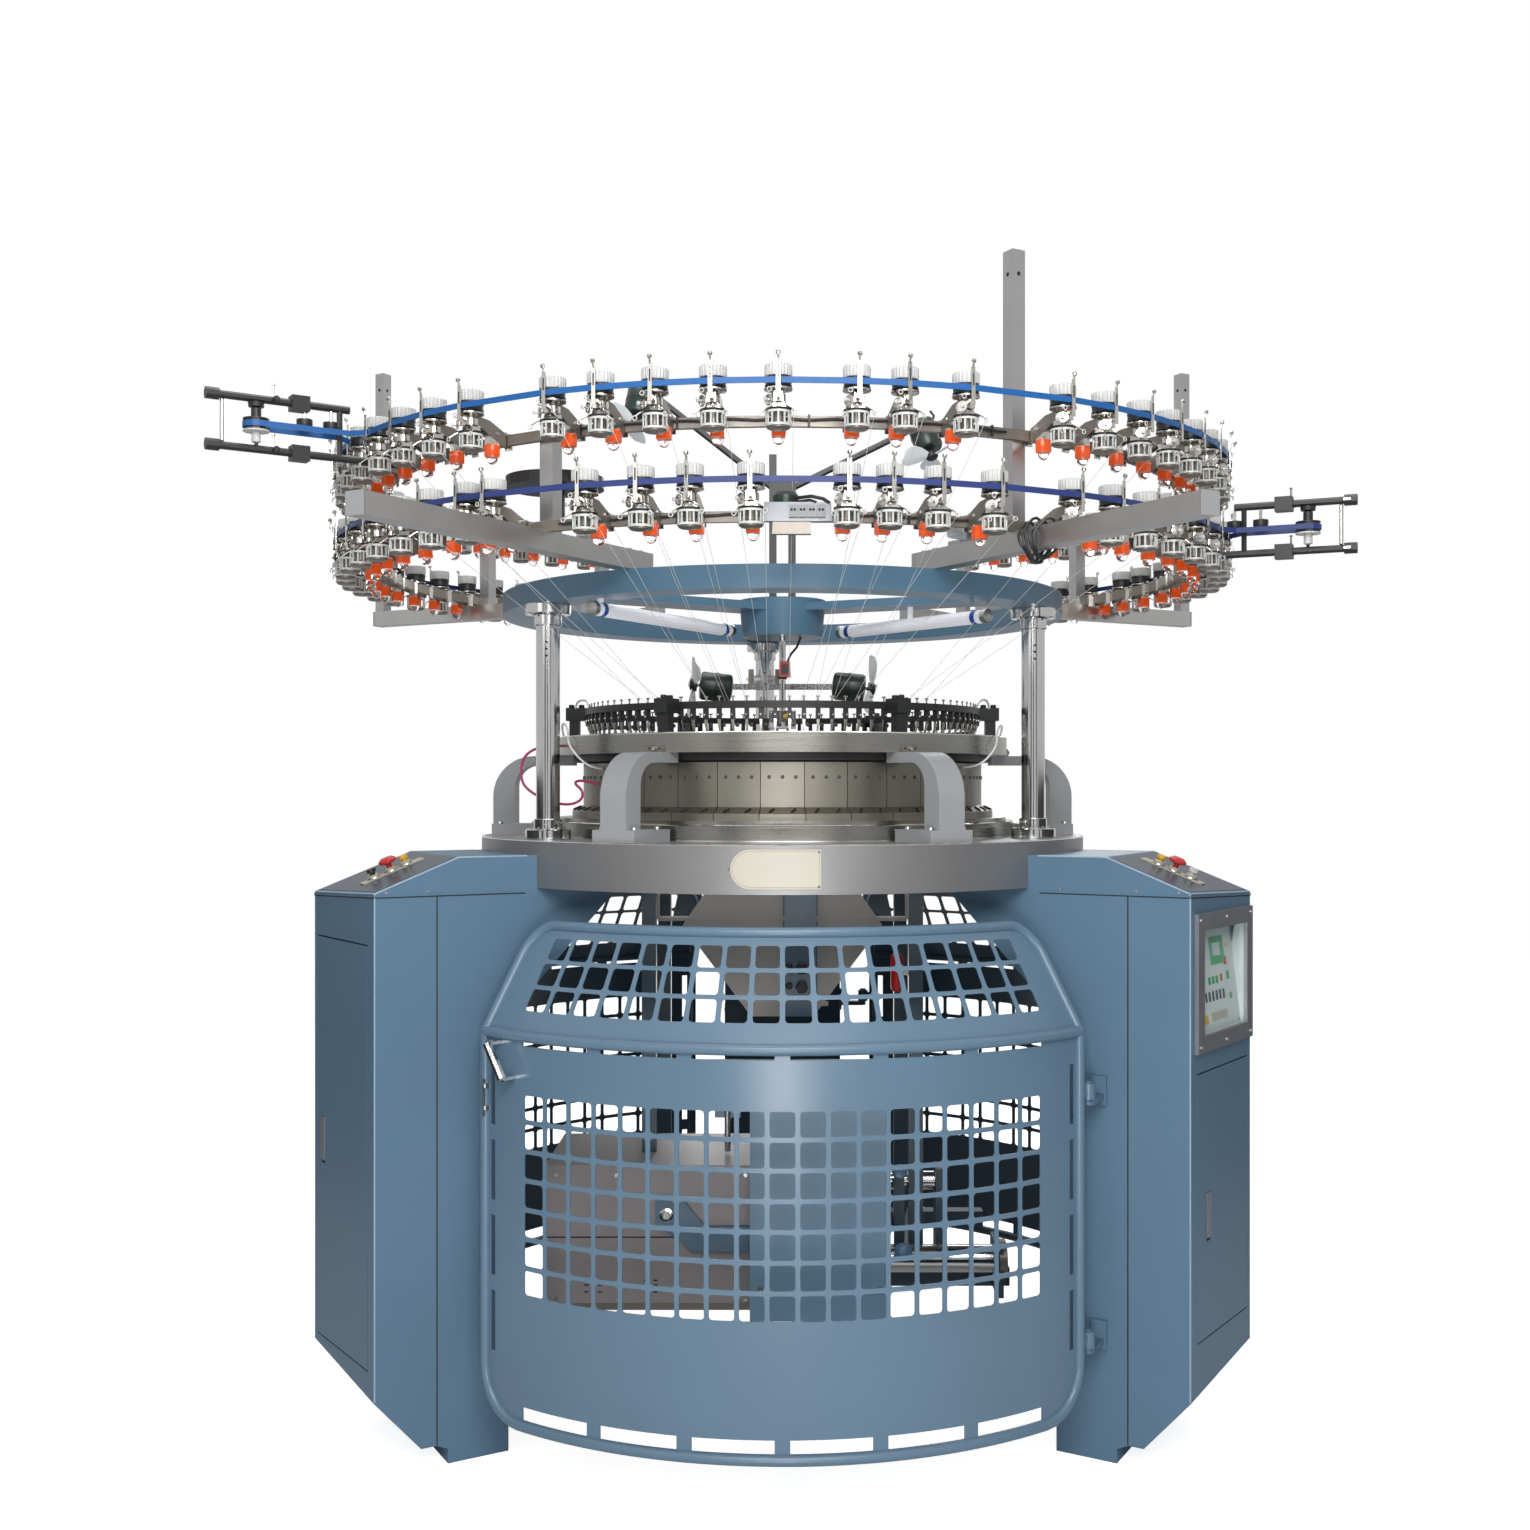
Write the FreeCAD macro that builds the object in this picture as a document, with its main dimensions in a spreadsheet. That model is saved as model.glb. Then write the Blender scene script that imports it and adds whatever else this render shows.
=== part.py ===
import FreeCAD, Part
import math
import os
from types import SimpleNamespace

import Sketcher
from FreeCAD import Placement, Rotation, Vector

# A circular knitting machine of 32 inch cylinder diameter, in millimetres.
# +Z is up, the floor is z = 0 and the machine's axis is the Z axis. The front looks along -Y.
# An azimuth is a turn about +Z counted from the front, so azimuth 90 points along +X.

doc = FreeCAD.newDocument("knitting_machine")
sheet = doc.addObject("Spreadsheet::Sheet", "sizes")

SIZES = (
    # frame
    ("leg_half_width", 165.0),
    ("leg_inner_top", 526.0),
    ("leg_inner_foot", 754.0),
    ("leg_knee_height", 880.0),
    ("leg_past_guard", 27.0),
    ("leg_foot_outer", 884.0),
    ("foot_notch", 41.0),
    ("anchor_circle", 819.0),
    ("anchor_radius", 10.0),
    ("anchor_depth", 45.0),
    ("cover_slope_start", 861.0),
    ("cover_slope_drop", 70.0),
    ("cabinet_depth", 129.0),
    ("cabinet_skew", 33.0),
    ("cabinet_flare", 12.0),
    ("cabinet_chamfer", 96.0),
    ("cabinet_chamfer_rise", 109.0),
    ("sheet_wall", 3.0),
    ("bed_radius", 711.0),
    ("bed_bore", 430.0),
    ("bed_bottom", 1239.0),
    ("bed_thickness", 29.0),
    ("apron_bottom", 1170.0),
    ("apron_wall", 14.0),
    # knitting head
    ("cylinder_radius", 406.4),
    ("cylinder_wall", 16.0),
    ("cylinder_bottom", 1205.0),
    ("gear_cover_radius", 548.0),
    ("gear_cover_height", 33.0),
    ("cam_base_lift", 10.0),
    ("cam_sections", 32.0),
    ("cam_base_radius", 501.0),
    ("cam_radius", 475.0),
    ("cam_base_height", 16.0),
    ("cam_bevel_height", 10.0),
    ("cam_height", 102.0),
    ("seam", 1.2),
    ("sinker_ring_radius", 492.0),
    ("sinker_ring_height", 16.0),
    ("cap_ring_radius", 534.0),
    ("cap_ring_bore", 440.0),
    ("cap_ring_height", 42.0),
    ("guide_ring_radius", 473.0),
    ("guide_ring_width", 20.0),
    ("guide_ring_lift", 53.0),
    ("guide_ring_height", 15.0),
    ("yarn_guides", 96.0),
    ("guide_drop", 44.0),
    ("bracket_foot_radius", 690.0),
    ("bracket_width", 64.0),
    ("bracket_foot_width", 104.0),
    ("bracket_foot_height", 26.0),
    ("bracket_bar", 52.0),
    # columns and top ring
    ("column_radius", 26.0),
    ("column_circle", 622.0),
    ("upper_turn", 4.5),
    ("flange_radius", 50.0),
    ("flange_height", 22.0),
    ("collar_radius", 31.0),
    ("collar_height", 22.0),
    ("top_ring_bottom", 1780.0),
    ("top_ring_height", 48.0),
    ("top_ring_radius", 663.0),
    ("top_ring_bore", 570.0),
    ("hub_radius", 104.0),
    ("hub_drop", 40.0),
    ("spoke_width", 110.0),
    ("lamp_radius", 15.0),
    # creel
    ("arm_side", 40.0),
    ("front_arm_reach", 1420.0),
    ("rear_arm_reach", 1288.0),
    ("front_arm_azimuth", 29.5),
    ("rear_arm_azimuth", 119.0),
    ("back_arm_azimuth", 145.0),
    ("post_side", 30.0),
    ("mast_top", 2409.0),
    ("outer_post_top", 2530.0),
    ("tier_radius", 930.0),
    ("beam_height", 20.0),
    ("beam_width", 12.0),
    ("tier_spacing", 174.0),
    ("tier_pitch", 6.1),
    ("tier_half_span", 147.0),
    ("feeder_circle", 1015.0),
    ("feeder_radius", 25.0),
    ("belt_height", 11.0),
    ("belt_thickness", 2.0),
    ("belt_lift", 42.0),
    # guards
    ("guard_radius", 880.0),
    ("guard_half_angle", 42.5),
    ("guard_tube_radius", 11.0),
    ("guard_bottom", 130.0),
    ("guard_middle", 893.0),
    ("hood_radius", 748.0),
    ("hood_top", 1099.0),
    ("guard_sheet", 3.0),
    ("guard_corner", 100.0),
    ("grid_pitch", 57.2),
    ("grid_bar", 9.0),
    ("grid_bottom", 387.0),
    ("hinge_pin_radius", 8.0),
    ("running_gap", 0.3),
    ("pin_clearance", 0.05),
    # take-down
    ("base_bar_bottom", 262.0),
    ("base_bar_side", 40.0),
    ("panel_front", 500.0),
    ("roller_radius", 21.0),
    ("cloth_roller_radius", 30.5),
)

for row, (name, number) in enumerate(SIZES, start=1):
    sheet.set(f"A{row}", name)
    sheet.set(f"B{row}", str(number))
    sheet.setAlias(f"B{row}", name)
doc.recompute()


class Size:
    """A length or angle: its number, and the formula over the sheet's cells that gives it."""

    def __init__(self, number, formula):
        self.number = number
        self.formula = formula

    def __float__(self):
        return float(self.number)

    def __add__(self, other):
        return join(self, "+", other)

    def __radd__(self, other):
        return join(other, "+", self)

    def __sub__(self, other):
        return join(self, "-", other)

    def __rsub__(self, other):
        return join(other, "-", self)

    def __mul__(self, other):
        return join(self, "*", other)

    def __rmul__(self, other):
        return join(other, "*", self)

    def __truediv__(self, other):
        return join(self, "/", other)

    def __neg__(self):
        return join(0, "-", self)


def as_size(value):
    return value if isinstance(value, Size) else Size(float(value), f"({float(value)})")


def join(left, sign, right):
    left, right = as_size(left), as_size(right)
    results = {
        "+": left.number + right.number,
        "-": left.number - right.number,
        "*": left.number * right.number,
    }
    number = left.number / right.number if sign == "/" else results[sign]
    return Size(number, f"({left.formula} {sign} {right.formula})")


s = SimpleNamespace(**{name: Size(number, f"sizes.{name}") for name, number in SIZES})

# the legs reach past the guards' circle, and the cabinets past the legs
s.leg_outer = s.guard_radius + s.leg_past_guard
s.cabinet_outer = s.leg_outer + s.cabinet_depth

# heights that follow from the sizes above
bed_top = s.bed_bottom + s.bed_thickness
gear_cover_top = bed_top + s.gear_cover_height
cam_bottom = gear_cover_top + s.cam_base_lift
cam_top = cam_bottom + s.cam_base_height + s.cam_bevel_height + s.cam_height
cap_bottom = cam_top + s.sinker_ring_height
cap_top = cap_bottom + s.cap_ring_height
guide_ring_bottom = cap_top + s.guide_ring_lift
top_ring_top = s.top_ring_bottom + s.top_ring_height
lower_tier = top_ring_top + s.arm_side + s.beam_height / 2
upper_tier = lower_tier + s.tier_spacing
LEG_AZIMUTHS = {"right": 60.0, "rear": 180.0, "left": -60.0}
BRACKET_AZIMUTHS = (-90.0, -30.0, 30.0, 90.0, 150.0, -150.0)
COLUMN_AZIMUTHS = {"left": -60.0, "right": 60.0, "rear": 180.0}

nodes = []


def keep(thing, label):
    thing.Label = label
    nodes.append(thing)
    return thing


def bind(thing, prop, value):
    value = as_size(value)
    thing.setExpression(prop, value.formula)


def set_place(thing, x=0.0, y=0.0, z=0.0, turn=0.0):
    x, y, z, turn = (as_size(v) for v in (x, y, z, turn))
    thing.Placement = Placement(
        Vector(x.number, y.number, z.number), Rotation(Vector(0, 0, 1), turn.number)
    )
    for axis, value in (("x", x), ("y", y), ("z", z)):
        if "sizes" in value.formula:
            bind(thing, f"Placement.Base.{axis}", value)
    return thing


def polar(radius, azimuth, height=0.0):
    angle = math.radians(float(azimuth))
    return Vector(float(radius) * math.sin(angle), -float(radius) * math.cos(angle), float(height))


# ---- parametric bodies -------------------------------------------------------------------------


def new_body(name):
    return doc.addObject("PartDesign::Body", name)


def origin_plane(body, role):
    return next(f for f in body.Origin.OriginFeatures if f.Role == role)


def add_sketch(body, name, role, points, holes=()):
    """A closed outline of straight edges, each corner held by the sheet, and any round holes."""
    sketch = body.newObject("Sketcher::SketchObject", name)
    sketch.AttachmentSupport = (origin_plane(body, role), [""])
    sketch.MapMode = "FlatFace"
    corners = [(as_size(x), as_size(y)) for x, y in points]
    count = len(corners)
    for i, (x, y) in enumerate(corners):
        x2, y2 = corners[(i + 1) % count]
        start = Vector(x.number, y.number, 0)
        sketch.addGeometry(Part.LineSegment(start, Vector(x2.number, y2.number, 0)))
    for i in range(count):
        sketch.addConstraint(Sketcher.Constraint("Coincident", i, 2, (i + 1) % count, 1))
    for i, (x, y) in enumerate(corners):
        hold_point(sketch, i, 1, x, y)
    for x, y, radius in holes:
        x, y, radius = as_size(x), as_size(y), as_size(radius)
        circle = Part.Circle(Vector(x.number, y.number, 0), Vector(0, 0, 1), radius.number)
        index = sketch.addGeometry(circle)
        hold_point(sketch, index, 3, x, y)
        limit = sketch.addConstraint(Sketcher.Constraint("Radius", index, radius.number))
        bind(sketch, f"Constraints[{limit}]", radius)
    return sketch


def hold_point(sketch, index, end, x, y):
    for kind, value in (("DistanceX", x), ("DistanceY", y)):
        limit = sketch.addConstraint(Sketcher.Constraint(kind, -1, 1, index, end, value.number))
        if "sizes" in value.formula:
            bind(sketch, f"Constraints[{limit}]", value)


def revolve(body, name, points):
    """Turn an outline of (radius, height) corners round the body's Z axis."""
    sketch = add_sketch(body, name + "_profile", "XZ_Plane", points)
    feature = body.newObject("PartDesign::Revolution", name)
    feature.Profile = sketch
    feature.ReferenceAxis = (sketch, ["V_Axis"])
    feature.Angle = 360
    return feature


def pad(body, name, role, points, length, both=True, holes=()):
    sketch = add_sketch(body, name + "_profile", role, points, holes)
    feature = body.newObject("PartDesign::Pad", name)
    feature.Profile = sketch
    feature.SideType = "Symmetric" if both else "One side"
    bind(feature, "Length", length)
    return feature


def pocket(body, name, role, points, length, both=True, reverse=False, holes=()):
    sketch = add_sketch(body, name + "_profile", role, points, holes)
    feature = body.newObject("PartDesign::Pocket", name)
    feature.Profile = sketch
    feature.SideType = "Symmetric" if both else "One side"
    feature.Reversed = reverse
    bind(feature, "Length", length)
    return feature


def rectangle(x1, y1, x2, y2):
    return ((x1, y1), (x2, y1), (x2, y2), (x1, y2))


# ---- coded shapes, for rows of copies and tubes along a path ---------------------------------------


def shape_node(shape, label):
    feature = doc.addObject("Part::Feature", label)
    feature.Shape = shape
    return keep(feature, label)


def copies(shape, azimuths):
    """Separate copies of one shape, turned about the machine's axis."""
    turned = []
    for azimuth in azimuths:
        copy = shape.copy()
        copy.rotate(Vector(0, 0, 0), Vector(0, 0, 1), azimuth)
        turned.append(copy)
    return Part.makeCompound(turned)


def block(x1, x2, y1, y2, z1, z2):
    x1, x2, y1, y2, z1, z2 = (float(v) for v in (x1, x2, y1, y2, z1, z2))
    return Part.makeBox(x2 - x1, y2 - y1, z2 - z1, Vector(x1, y1, z1))


def rod(start, end, radius):
    return Part.makeCylinder(float(radius), (end - start).Length, start, end - start)


def prism(sides, radius, low, high, centre):
    """A many-sided drum standing at centre, with corners on the radius."""
    corners = []
    for i in range(sides + 1):
        angle = 2 * math.pi * i / sides
        corners.append(Vector(centre.x + radius * math.cos(angle), centre.y + radius * math.sin(angle), low))
    return Part.Face(Part.makePolygon(corners)).extrude(Vector(0, 0, high - low))


def bar(start, end, radius, sides=6):
    """A straight bar of many-sided section."""
    return bent_tube([start, end], radius, sides)


def loose_bore(radius):
    """Corner radius of a twelve-sided hole in which a twelve-sided pin of this radius turns freely."""
    return (radius + float(s.pin_clearance)) / math.cos(math.pi / 12)


def flat(points):
    return Part.Face(Part.makePolygon(list(points) + list(points)[:1]))


def through(sections, closed=False):
    """A solid with flat faces through a row of matching outlines; a closed row has no end faces."""
    count = len(sections[0])
    rows = list(zip(sections, sections[1:]))
    if closed:
        rows.append((sections[-1], sections[0]))
    faces = [] if closed else [flat(sections[0]), flat(sections[-1])]
    for one, two in rows:
        for i in range(count):
            j = (i + 1) % count
            faces.append(flat((one[i], one[j], two[j], two[i])))
    solid = Part.Solid(Part.Shell(faces))
    if solid.Volume < 0:
        solid.reverse()
    return solid


def bent_tube(points, radius, sides=8):
    """A many-sided tube along straight runs, mitred where it bends."""
    runs = [(b - a).normalize() for a, b in zip(points, points[1:])]
    side = runs[0].cross(Vector(0, 0, 1))
    if side.Length < 0.1:
        side = Vector(1, 0, 0)
    side.normalize()
    corners = [points[0] + Rotation(runs[0], 360.0 * (i + 0.5) / sides).multVec(side) * radius for i in range(sides)]
    sections = [corners]
    for i, point in enumerate(points[1:], start=1):
        along = runs[i - 1]
        normal = along if i == len(runs) else (along + runs[i]).normalize()
        corners = [c + along * (normal.dot(point - c) / normal.dot(along)) for c in corners]
        sections.append(corners)
    return through(sections)


def flat_ring(inner, outer, low, high, sides):
    """A ring of flat-sided segments."""
    corners = ((inner, low), (outer, low), (outer, high), (inner, high))
    turns = [360.0 * i / sides for i in range(sides)]
    return through([[polar(r, turn, z) for r, z in corners] for turn in turns], closed=True)


def outline_plate(points, thickness, role):
    """A plate cut to an outline of (across, up) corners, centred on its plane."""
    half = thickness / 2
    if role == "XZ":
        corners = [Vector(x, -half, z) for x, z in points]
        push = Vector(0, thickness, 0)
    else:
        corners = [Vector(-half, y, z) for y, z in points]
        push = Vector(thickness, 0, 0)
    return Part.Face(Part.makePolygon(corners + corners[:1])).extrude(push)


# ---- legs and cabinets -------------------------------------------------------------------------


def slope_height(reach):
    """Height of the sloping cover at a distance from the axis."""
    run = s.cabinet_outer - s.cover_slope_start
    return s.bed_bottom - s.cover_slope_drop * (reach - s.cover_slope_start) / run


def add_leg(side):
    """A leg: its arm reaches in under the bed, and its foot stands on the floor."""
    body = new_body(f"leg_{side}")
    outline = (
        (s.leg_inner_top, s.bed_bottom),
        (s.cover_slope_start, s.bed_bottom),
        (s.leg_outer, slope_height(s.leg_outer)),
        (s.leg_outer, s.foot_notch),
        (s.leg_foot_outer, s.foot_notch - 11),
        (s.leg_foot_outer, 0),
        (s.leg_inner_foot, 0),
        (s.leg_inner_foot, s.leg_knee_height),
        (s.leg_inner_foot - 54, s.leg_knee_height + 80),
        (s.leg_inner_top, s.bed_bottom - 95),
    )
    if side == "rear":
        outline = outline[:2] + (
            (s.cabinet_outer, s.bed_bottom - s.cover_slope_drop),
            (s.cabinet_outer, s.foot_notch + s.cabinet_chamfer_rise),
            (s.cabinet_outer - s.cabinet_chamfer, s.foot_notch),
        ) + outline[3:]
    pad(body, f"leg_{side}_casting", "XZ_Plane", outline, s.leg_half_width * 2)
    pocket(
        body, f"leg_{side}_anchor", "XY_Plane", (), s.anchor_depth, both=False, reverse=True,
        holes=((s.anchor_circle, 0, s.anchor_radius),),
    )
    keep(set_place(body, turn=LEG_AZIMUTHS[side] - 90.0), f"leg_{side}")


def cabinet_frame(side):
    """The cabinet's corners in plan: along the leg and across it, the front wall on the side hand."""
    hand = -1.0 if side == "right" else 1.0
    half = s.leg_half_width
    return hand, (
        (s.leg_outer, half * hand),
        (s.cabinet_outer, half * hand),
        (s.cabinet_outer + s.cabinet_skew, (half + s.cabinet_flare) * -hand),
        (s.leg_outer, half * -hand),
    )


DOORS = {
    # side: bottom, top, share of the end wall at the near and far edge
    "right": (258.0, 804.0, 0.10, 0.95),
    "left": (204.0, 1064.0, 0.10, 0.95),
}


WINDOW = (866.0, 1104.0, 0.13, 0.92)


def end_wall_place(side):
    """The end wall's own frame: X runs along the wall from the near corner, Y into the cabinet."""
    hand, plan = cabinet_frame(side)
    near = Vector(float(plan[1][0]), float(plan[1][1]), 0)
    far = Vector(float(plan[2][0]), float(plan[2][1]), 0)
    along = far - near
    turn = math.degrees(math.atan2(along.y, along.x))
    leg = Placement(Vector(0, 0, 0), Rotation(Vector(0, 0, 1), LEG_AZIMUTHS[side] - 90.0))
    return leg.multiply(Placement(near, Rotation(Vector(0, 0, 1), turn))), along.Length, hand


def add_cabinet(side):
    """A sheet cabinet on the leg's outer side, hollow, with a doorway in its end wall."""
    hand, plan = cabinet_frame(side)
    wall = float(s.sheet_wall)
    low = float(s.foot_notch)
    corners = [Vector(float(x), float(y), low) for x, y in plan]
    high = float(s.bed_bottom)
    outer = Part.Face(Part.makePolygon(corners + corners[:1])).extrude(Vector(0, 0, high - low))
    reach = float(s.cabinet_outer + s.cabinet_skew) + 60
    start = float(s.leg_outer)
    top_cut = outline_plate(
        (
            (start - 60, float(slope_height(s.leg_outer - 60))),
            (reach, float(slope_height(as_size(reach)))),
            (reach, high + 200),
            (start - 60, high + 200),
        ),
        900.0, "XZ",
    )
    chamfer_cut = outline_plate(
        (
            (float(s.cabinet_outer - s.cabinet_chamfer), low),
            (reach, low + (reach - float(s.cabinet_outer - s.cabinet_chamfer))
                * float(s.cabinet_chamfer_rise) / float(s.cabinet_chamfer)),
            (reach, low - 60),
            (float(s.cabinet_outer - s.cabinet_chamfer), low - 60),
        ),
        900.0, "XZ",
    )
    solid = outer.cut(top_cut).cut(chamfer_cut)
    inside = solid.makeOffsetShape(-wall, 0.01, fill=False, join=2)
    if inside.ShapeType != "Solid":
        inside = Part.Solid(Part.Shell(inside.Faces))
    shell = solid.cut(inside)
    frame, length, hand = end_wall_place(side)
    bottom, top, near, far = DOORS[side]
    leg = Placement(Vector(0, 0, 0), Rotation(Vector(0, 0, 1), LEG_AZIMUTHS[side] - 90.0))
    shell.Placement = leg
    doorway = block(near * length, far * length, -25, 25, bottom, top)
    doorway.Placement = frame
    shell = shell.cut(doorway)
    if side == "right":
        bottom, top, near, far = WINDOW
        window = block(near * length, far * length, -25, 25, bottom, top)
        window.Placement = frame
        shell = shell.cut(window)
    shape_node(shell.fuse(pivot_brackets(side)), f"cabinet_{side}")


def outward(side):
    """Which way the end wall's Y axis points out of the cabinet."""
    return -1.0 if side == "right" else 1.0


def wall_block(side, x1, x2, depth1, depth2, z1, z2):
    """A block on the end wall: along it, then from depth1 to depth2 outward from its face."""
    frame, length, hand = end_wall_place(side)
    out = outward(side)
    low, high = sorted((depth1 * out, depth2 * out))
    piece = block(x1, x2, low, high, z1, z2)
    piece.Placement = frame
    return piece


def wall_point(side, x, depth, z):
    frame, length, hand = end_wall_place(side)
    return frame.multVec(Vector(x, depth * outward(side), z))


DOOR_GAP = 3.0
DOOR_DEPTH = 18.0
DOOR_HINGE_FAR = {"right": True, "left": False}
PIVOT_INSET, PIVOT_DEPTH, PIVOT_RADIUS, PIVOT_REACH = 8.0, -9.0, 4.0, 14.0
LATCH_SHARE = {"right": 0.284, "left": 0.85}
LATCH_HEIGHT = {"right": 508.0, "left": 630.0}
LATCH_WIDTH, LATCH_TALL, LATCH_PIN = 22.0, 92.0, 3.0
LATCH_AXIS_RISE, LATCH_AXIS_DEPTH = 3.5, -8.0


def door_span(side):
    frame, length, hand = end_wall_place(side)
    bottom, top, near, far = DOORS[side]
    return near * length + DOOR_GAP, far * length - DOOR_GAP, bottom + DOOR_GAP, top - DOOR_GAP


def pivot_x(side):
    x1, x2, z1, z2 = door_span(side)
    return x2 - PIVOT_INSET if DOOR_HINGE_FAR[side] else x1 + PIVOT_INSET


def pivot_brackets(side):
    """Two lugs behind the end wall, above and below the doorway, with a square hole for the door's pivots."""
    x = pivot_x(side)
    bottom, top = DOORS[side][:2]
    size = PIVOT_RADIUS + float(s.pin_clearance)
    lugs = []
    for low, high in ((bottom - 12, bottom - 2), (top + 2, top + 12)):
        lug = wall_block(side, x - 9, x + 9, -2.0, PIVOT_DEPTH - 9, low, high)
        hole = wall_block(side, x - size, x + size, PIVOT_DEPTH + size, PIVOT_DEPTH - size, low - 5, high + 5)
        lugs.append(lug.cut(hole))
    return lugs


def latch_span(side):
    frame, length, hand = end_wall_place(side)
    low = LATCH_HEIGHT[side] - LATCH_TALL / 2
    return LATCH_SHARE[side] * length, low, low + LATCH_TALL


def add_cabinet_door(side):
    """A folded sheet door, flush in the doorway, with two pivots and a slot for its latch."""
    x1, x2, z1, z2 = door_span(side)
    wall = float(s.sheet_wall)
    door = wall_block(side, x1, x2, 0, -DOOR_DEPTH, z1, z2)
    door = door.cut(wall_block(side, x1 + wall, x2 - wall, -wall, -DOOR_DEPTH - 5, z1 + wall, z2 - wall))
    centre, low, high = latch_span(side)
    half = LATCH_WIDTH / 2
    door = door.cut(wall_block(side, centre - half - 1, centre + half + 1, 5, -wall - 5, low - 7, high + 1))
    size = LATCH_PIN + float(s.pin_clearance)
    axis = low + LATCH_AXIS_RISE
    for sign in (-1, 1):
        start, end = sorted((centre + sign * (half + 1), centre + sign * (half + 7)))
        cheek = wall_block(side, start, end, -wall / 2, -14, low - 6, low + 12)
        hole = wall_block(
            side, start - 1, end + 1, LATCH_AXIS_DEPTH + size, LATCH_AXIS_DEPTH - size, axis - size, axis + size
        )
        door = door.fuse(cheek).cut(hole)
    pivot = pivot_x(side)
    for low, high in ((z1 - PIVOT_REACH, z1 + wall / 2), (z2 - wall / 2, z2 + PIVOT_REACH)):
        pin = bar(wall_point(side, pivot, PIVOT_DEPTH, low), wall_point(side, pivot, PIVOT_DEPTH, high), PIVOT_RADIUS, 12)
        door = door.fuse(pin)
    shape_node(door, f"cabinet_door_{side}")


def add_door_latch(side):
    """A paddle handle in the door's slot, which lifts out about a pin at its foot."""
    centre, low, high = latch_span(side)
    half, wall = LATCH_WIDTH / 2, float(s.sheet_wall)
    plate = wall_block(side, centre - half, centre + half, 2, -wall, low, high)
    foot = wall_block(side, centre - half, centre + half, -wall / 2, LATCH_AXIS_DEPTH - 4, low, low + 7)
    axis = low + LATCH_AXIS_RISE
    pin = bar(
        wall_point(side, centre - half - 6, LATCH_AXIS_DEPTH, axis),
        wall_point(side, centre + half + 6, LATCH_AXIS_DEPTH, axis), LATCH_PIN, 12,
    )
    shape_node(plate.fuse(foot).fuse(pin), f"door_latch_{side}")


# ---- consoles on the sloping covers ------------------------------------------------------------

CONSOLE_START, CONSOLE_END, CONSOLE_WIDTH, CONSOLE_PLATE = 882.0, 1020.0, 34.0, 3.0
BUTTONS = {"jog_button": 920.0, "stop_button": 952.0, "run_button": 988.0}
BUTTON_SIDES = ("right", "left")
BUTTON_HOLE = 6.0
BUTTON_CLEARANCE = 0.05


def slope_place(side, reach):
    """A frame on the sloping cover: X down the slope, Z square out of it."""
    fall = math.degrees(math.atan2(float(s.cover_slope_drop), float(s.cabinet_outer - s.cover_slope_start)))
    leg = Placement(Vector(0, 0, 0), Rotation(Vector(0, 0, 1), LEG_AZIMUTHS[side] - 90.0))
    point = Vector(reach, 0, float(slope_height(as_size(reach))))
    return leg.multiply(Placement(point, Rotation(Vector(0, 1, 0), fall)))


def console(side):
    """A switch strip: a plate with three collars, each bored for its button."""
    middle = (CONSOLE_START + CONSOLE_END) / 2
    half = (CONSOLE_END - CONSOLE_START) / 2
    place = slope_place(side, middle)
    strip = block(-half, half, -CONSOLE_WIDTH / 2, CONSOLE_WIDTH / 2, 0, CONSOLE_PLATE)
    strip.Placement = place
    for reach in BUTTONS.values():
        collar = prism(12, 12, 0, 11, Vector(0, 0, 0))
        collar.Placement = slope_place(side, reach)
        strip = strip.fuse(collar)
    for reach in BUTTONS.values():
        bore = prism(8, BUTTON_HOLE + BUTTON_CLEARANCE, 0, 40, Vector(0, 0, 0))
        bore.Placement = slope_place(side, reach)
        strip = strip.cut(bore)
    return strip


def add_consoles():
    shape_node(Part.makeCompound([console(side) for side in BUTTON_SIDES]), "consoles")


def add_button(side, name, reach):
    """A round push button in its collar; the stop button has a wide mushroom head."""
    stem = prism(8, BUTTON_HOLE, 6, 20, Vector(0, 0, 0))
    if name == "stop_button":
        rims = ((13, 20), (19, 24), (19, 28), (12, 33))
        turns = [2 * math.pi * i / 16 for i in range(16)]
        cap = through([[Vector(r * math.cos(t), r * math.sin(t), z) for t in turns] for r, z in rims])
    else:
        cap = prism(12, 10, 17, 24, Vector(0, 0, 0))
    solid = stem.fuse(cap)
    solid.Placement = slope_place(side, reach)
    shape_node(solid, f"{name}_{side}")


def add_control_window():
    """A bolted frame round the doorway above the right door, and the sloping key panel behind it."""
    frame, length, hand = end_wall_place("right")
    bottom, top, near, far = WINDOW
    x1, x2 = near * length, far * length
    outer = wall_block("right", x1 - 22, x2 + 22, 0, 8, bottom - 22, top + 22)
    hole = wall_block("right", x1 + 12, x2 - 12, -20, 20, bottom + 12, top - 12)
    shape_node(outer.cut(hole), "control_window_frame")
    pane = wall_block("right", x1 + 2, x2 - 2, 0, -4, bottom + 2, top - 2)
    shape_node(pane, "control_window_pane")
    back = [
        wall_point("right", x1 + 2, -62, bottom + 6), wall_point("right", x2 - 2, -62, bottom + 6),
        wall_point("right", x2 - 2, -24, top - 6), wall_point("right", x1 + 2, -24, top - 6),
    ]
    normal = (back[1] - back[0]).cross(back[3] - back[0])
    normal.normalize()
    panel = Part.Face(Part.makePolygon(back + back[:1])).extrude(normal * 6)
    tabs = []
    for x in (x1 + 30, x2 - 30):
        tabs.append(wall_block("right", x - 8, x + 8, -3.0, -66, bottom - 12, bottom + 1))
        tabs.append(wall_block("right", x - 8, x + 8, -10.0, -66, bottom, bottom + 10))
    shape_node(panel.fuse(tabs), "key_panel")


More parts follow.
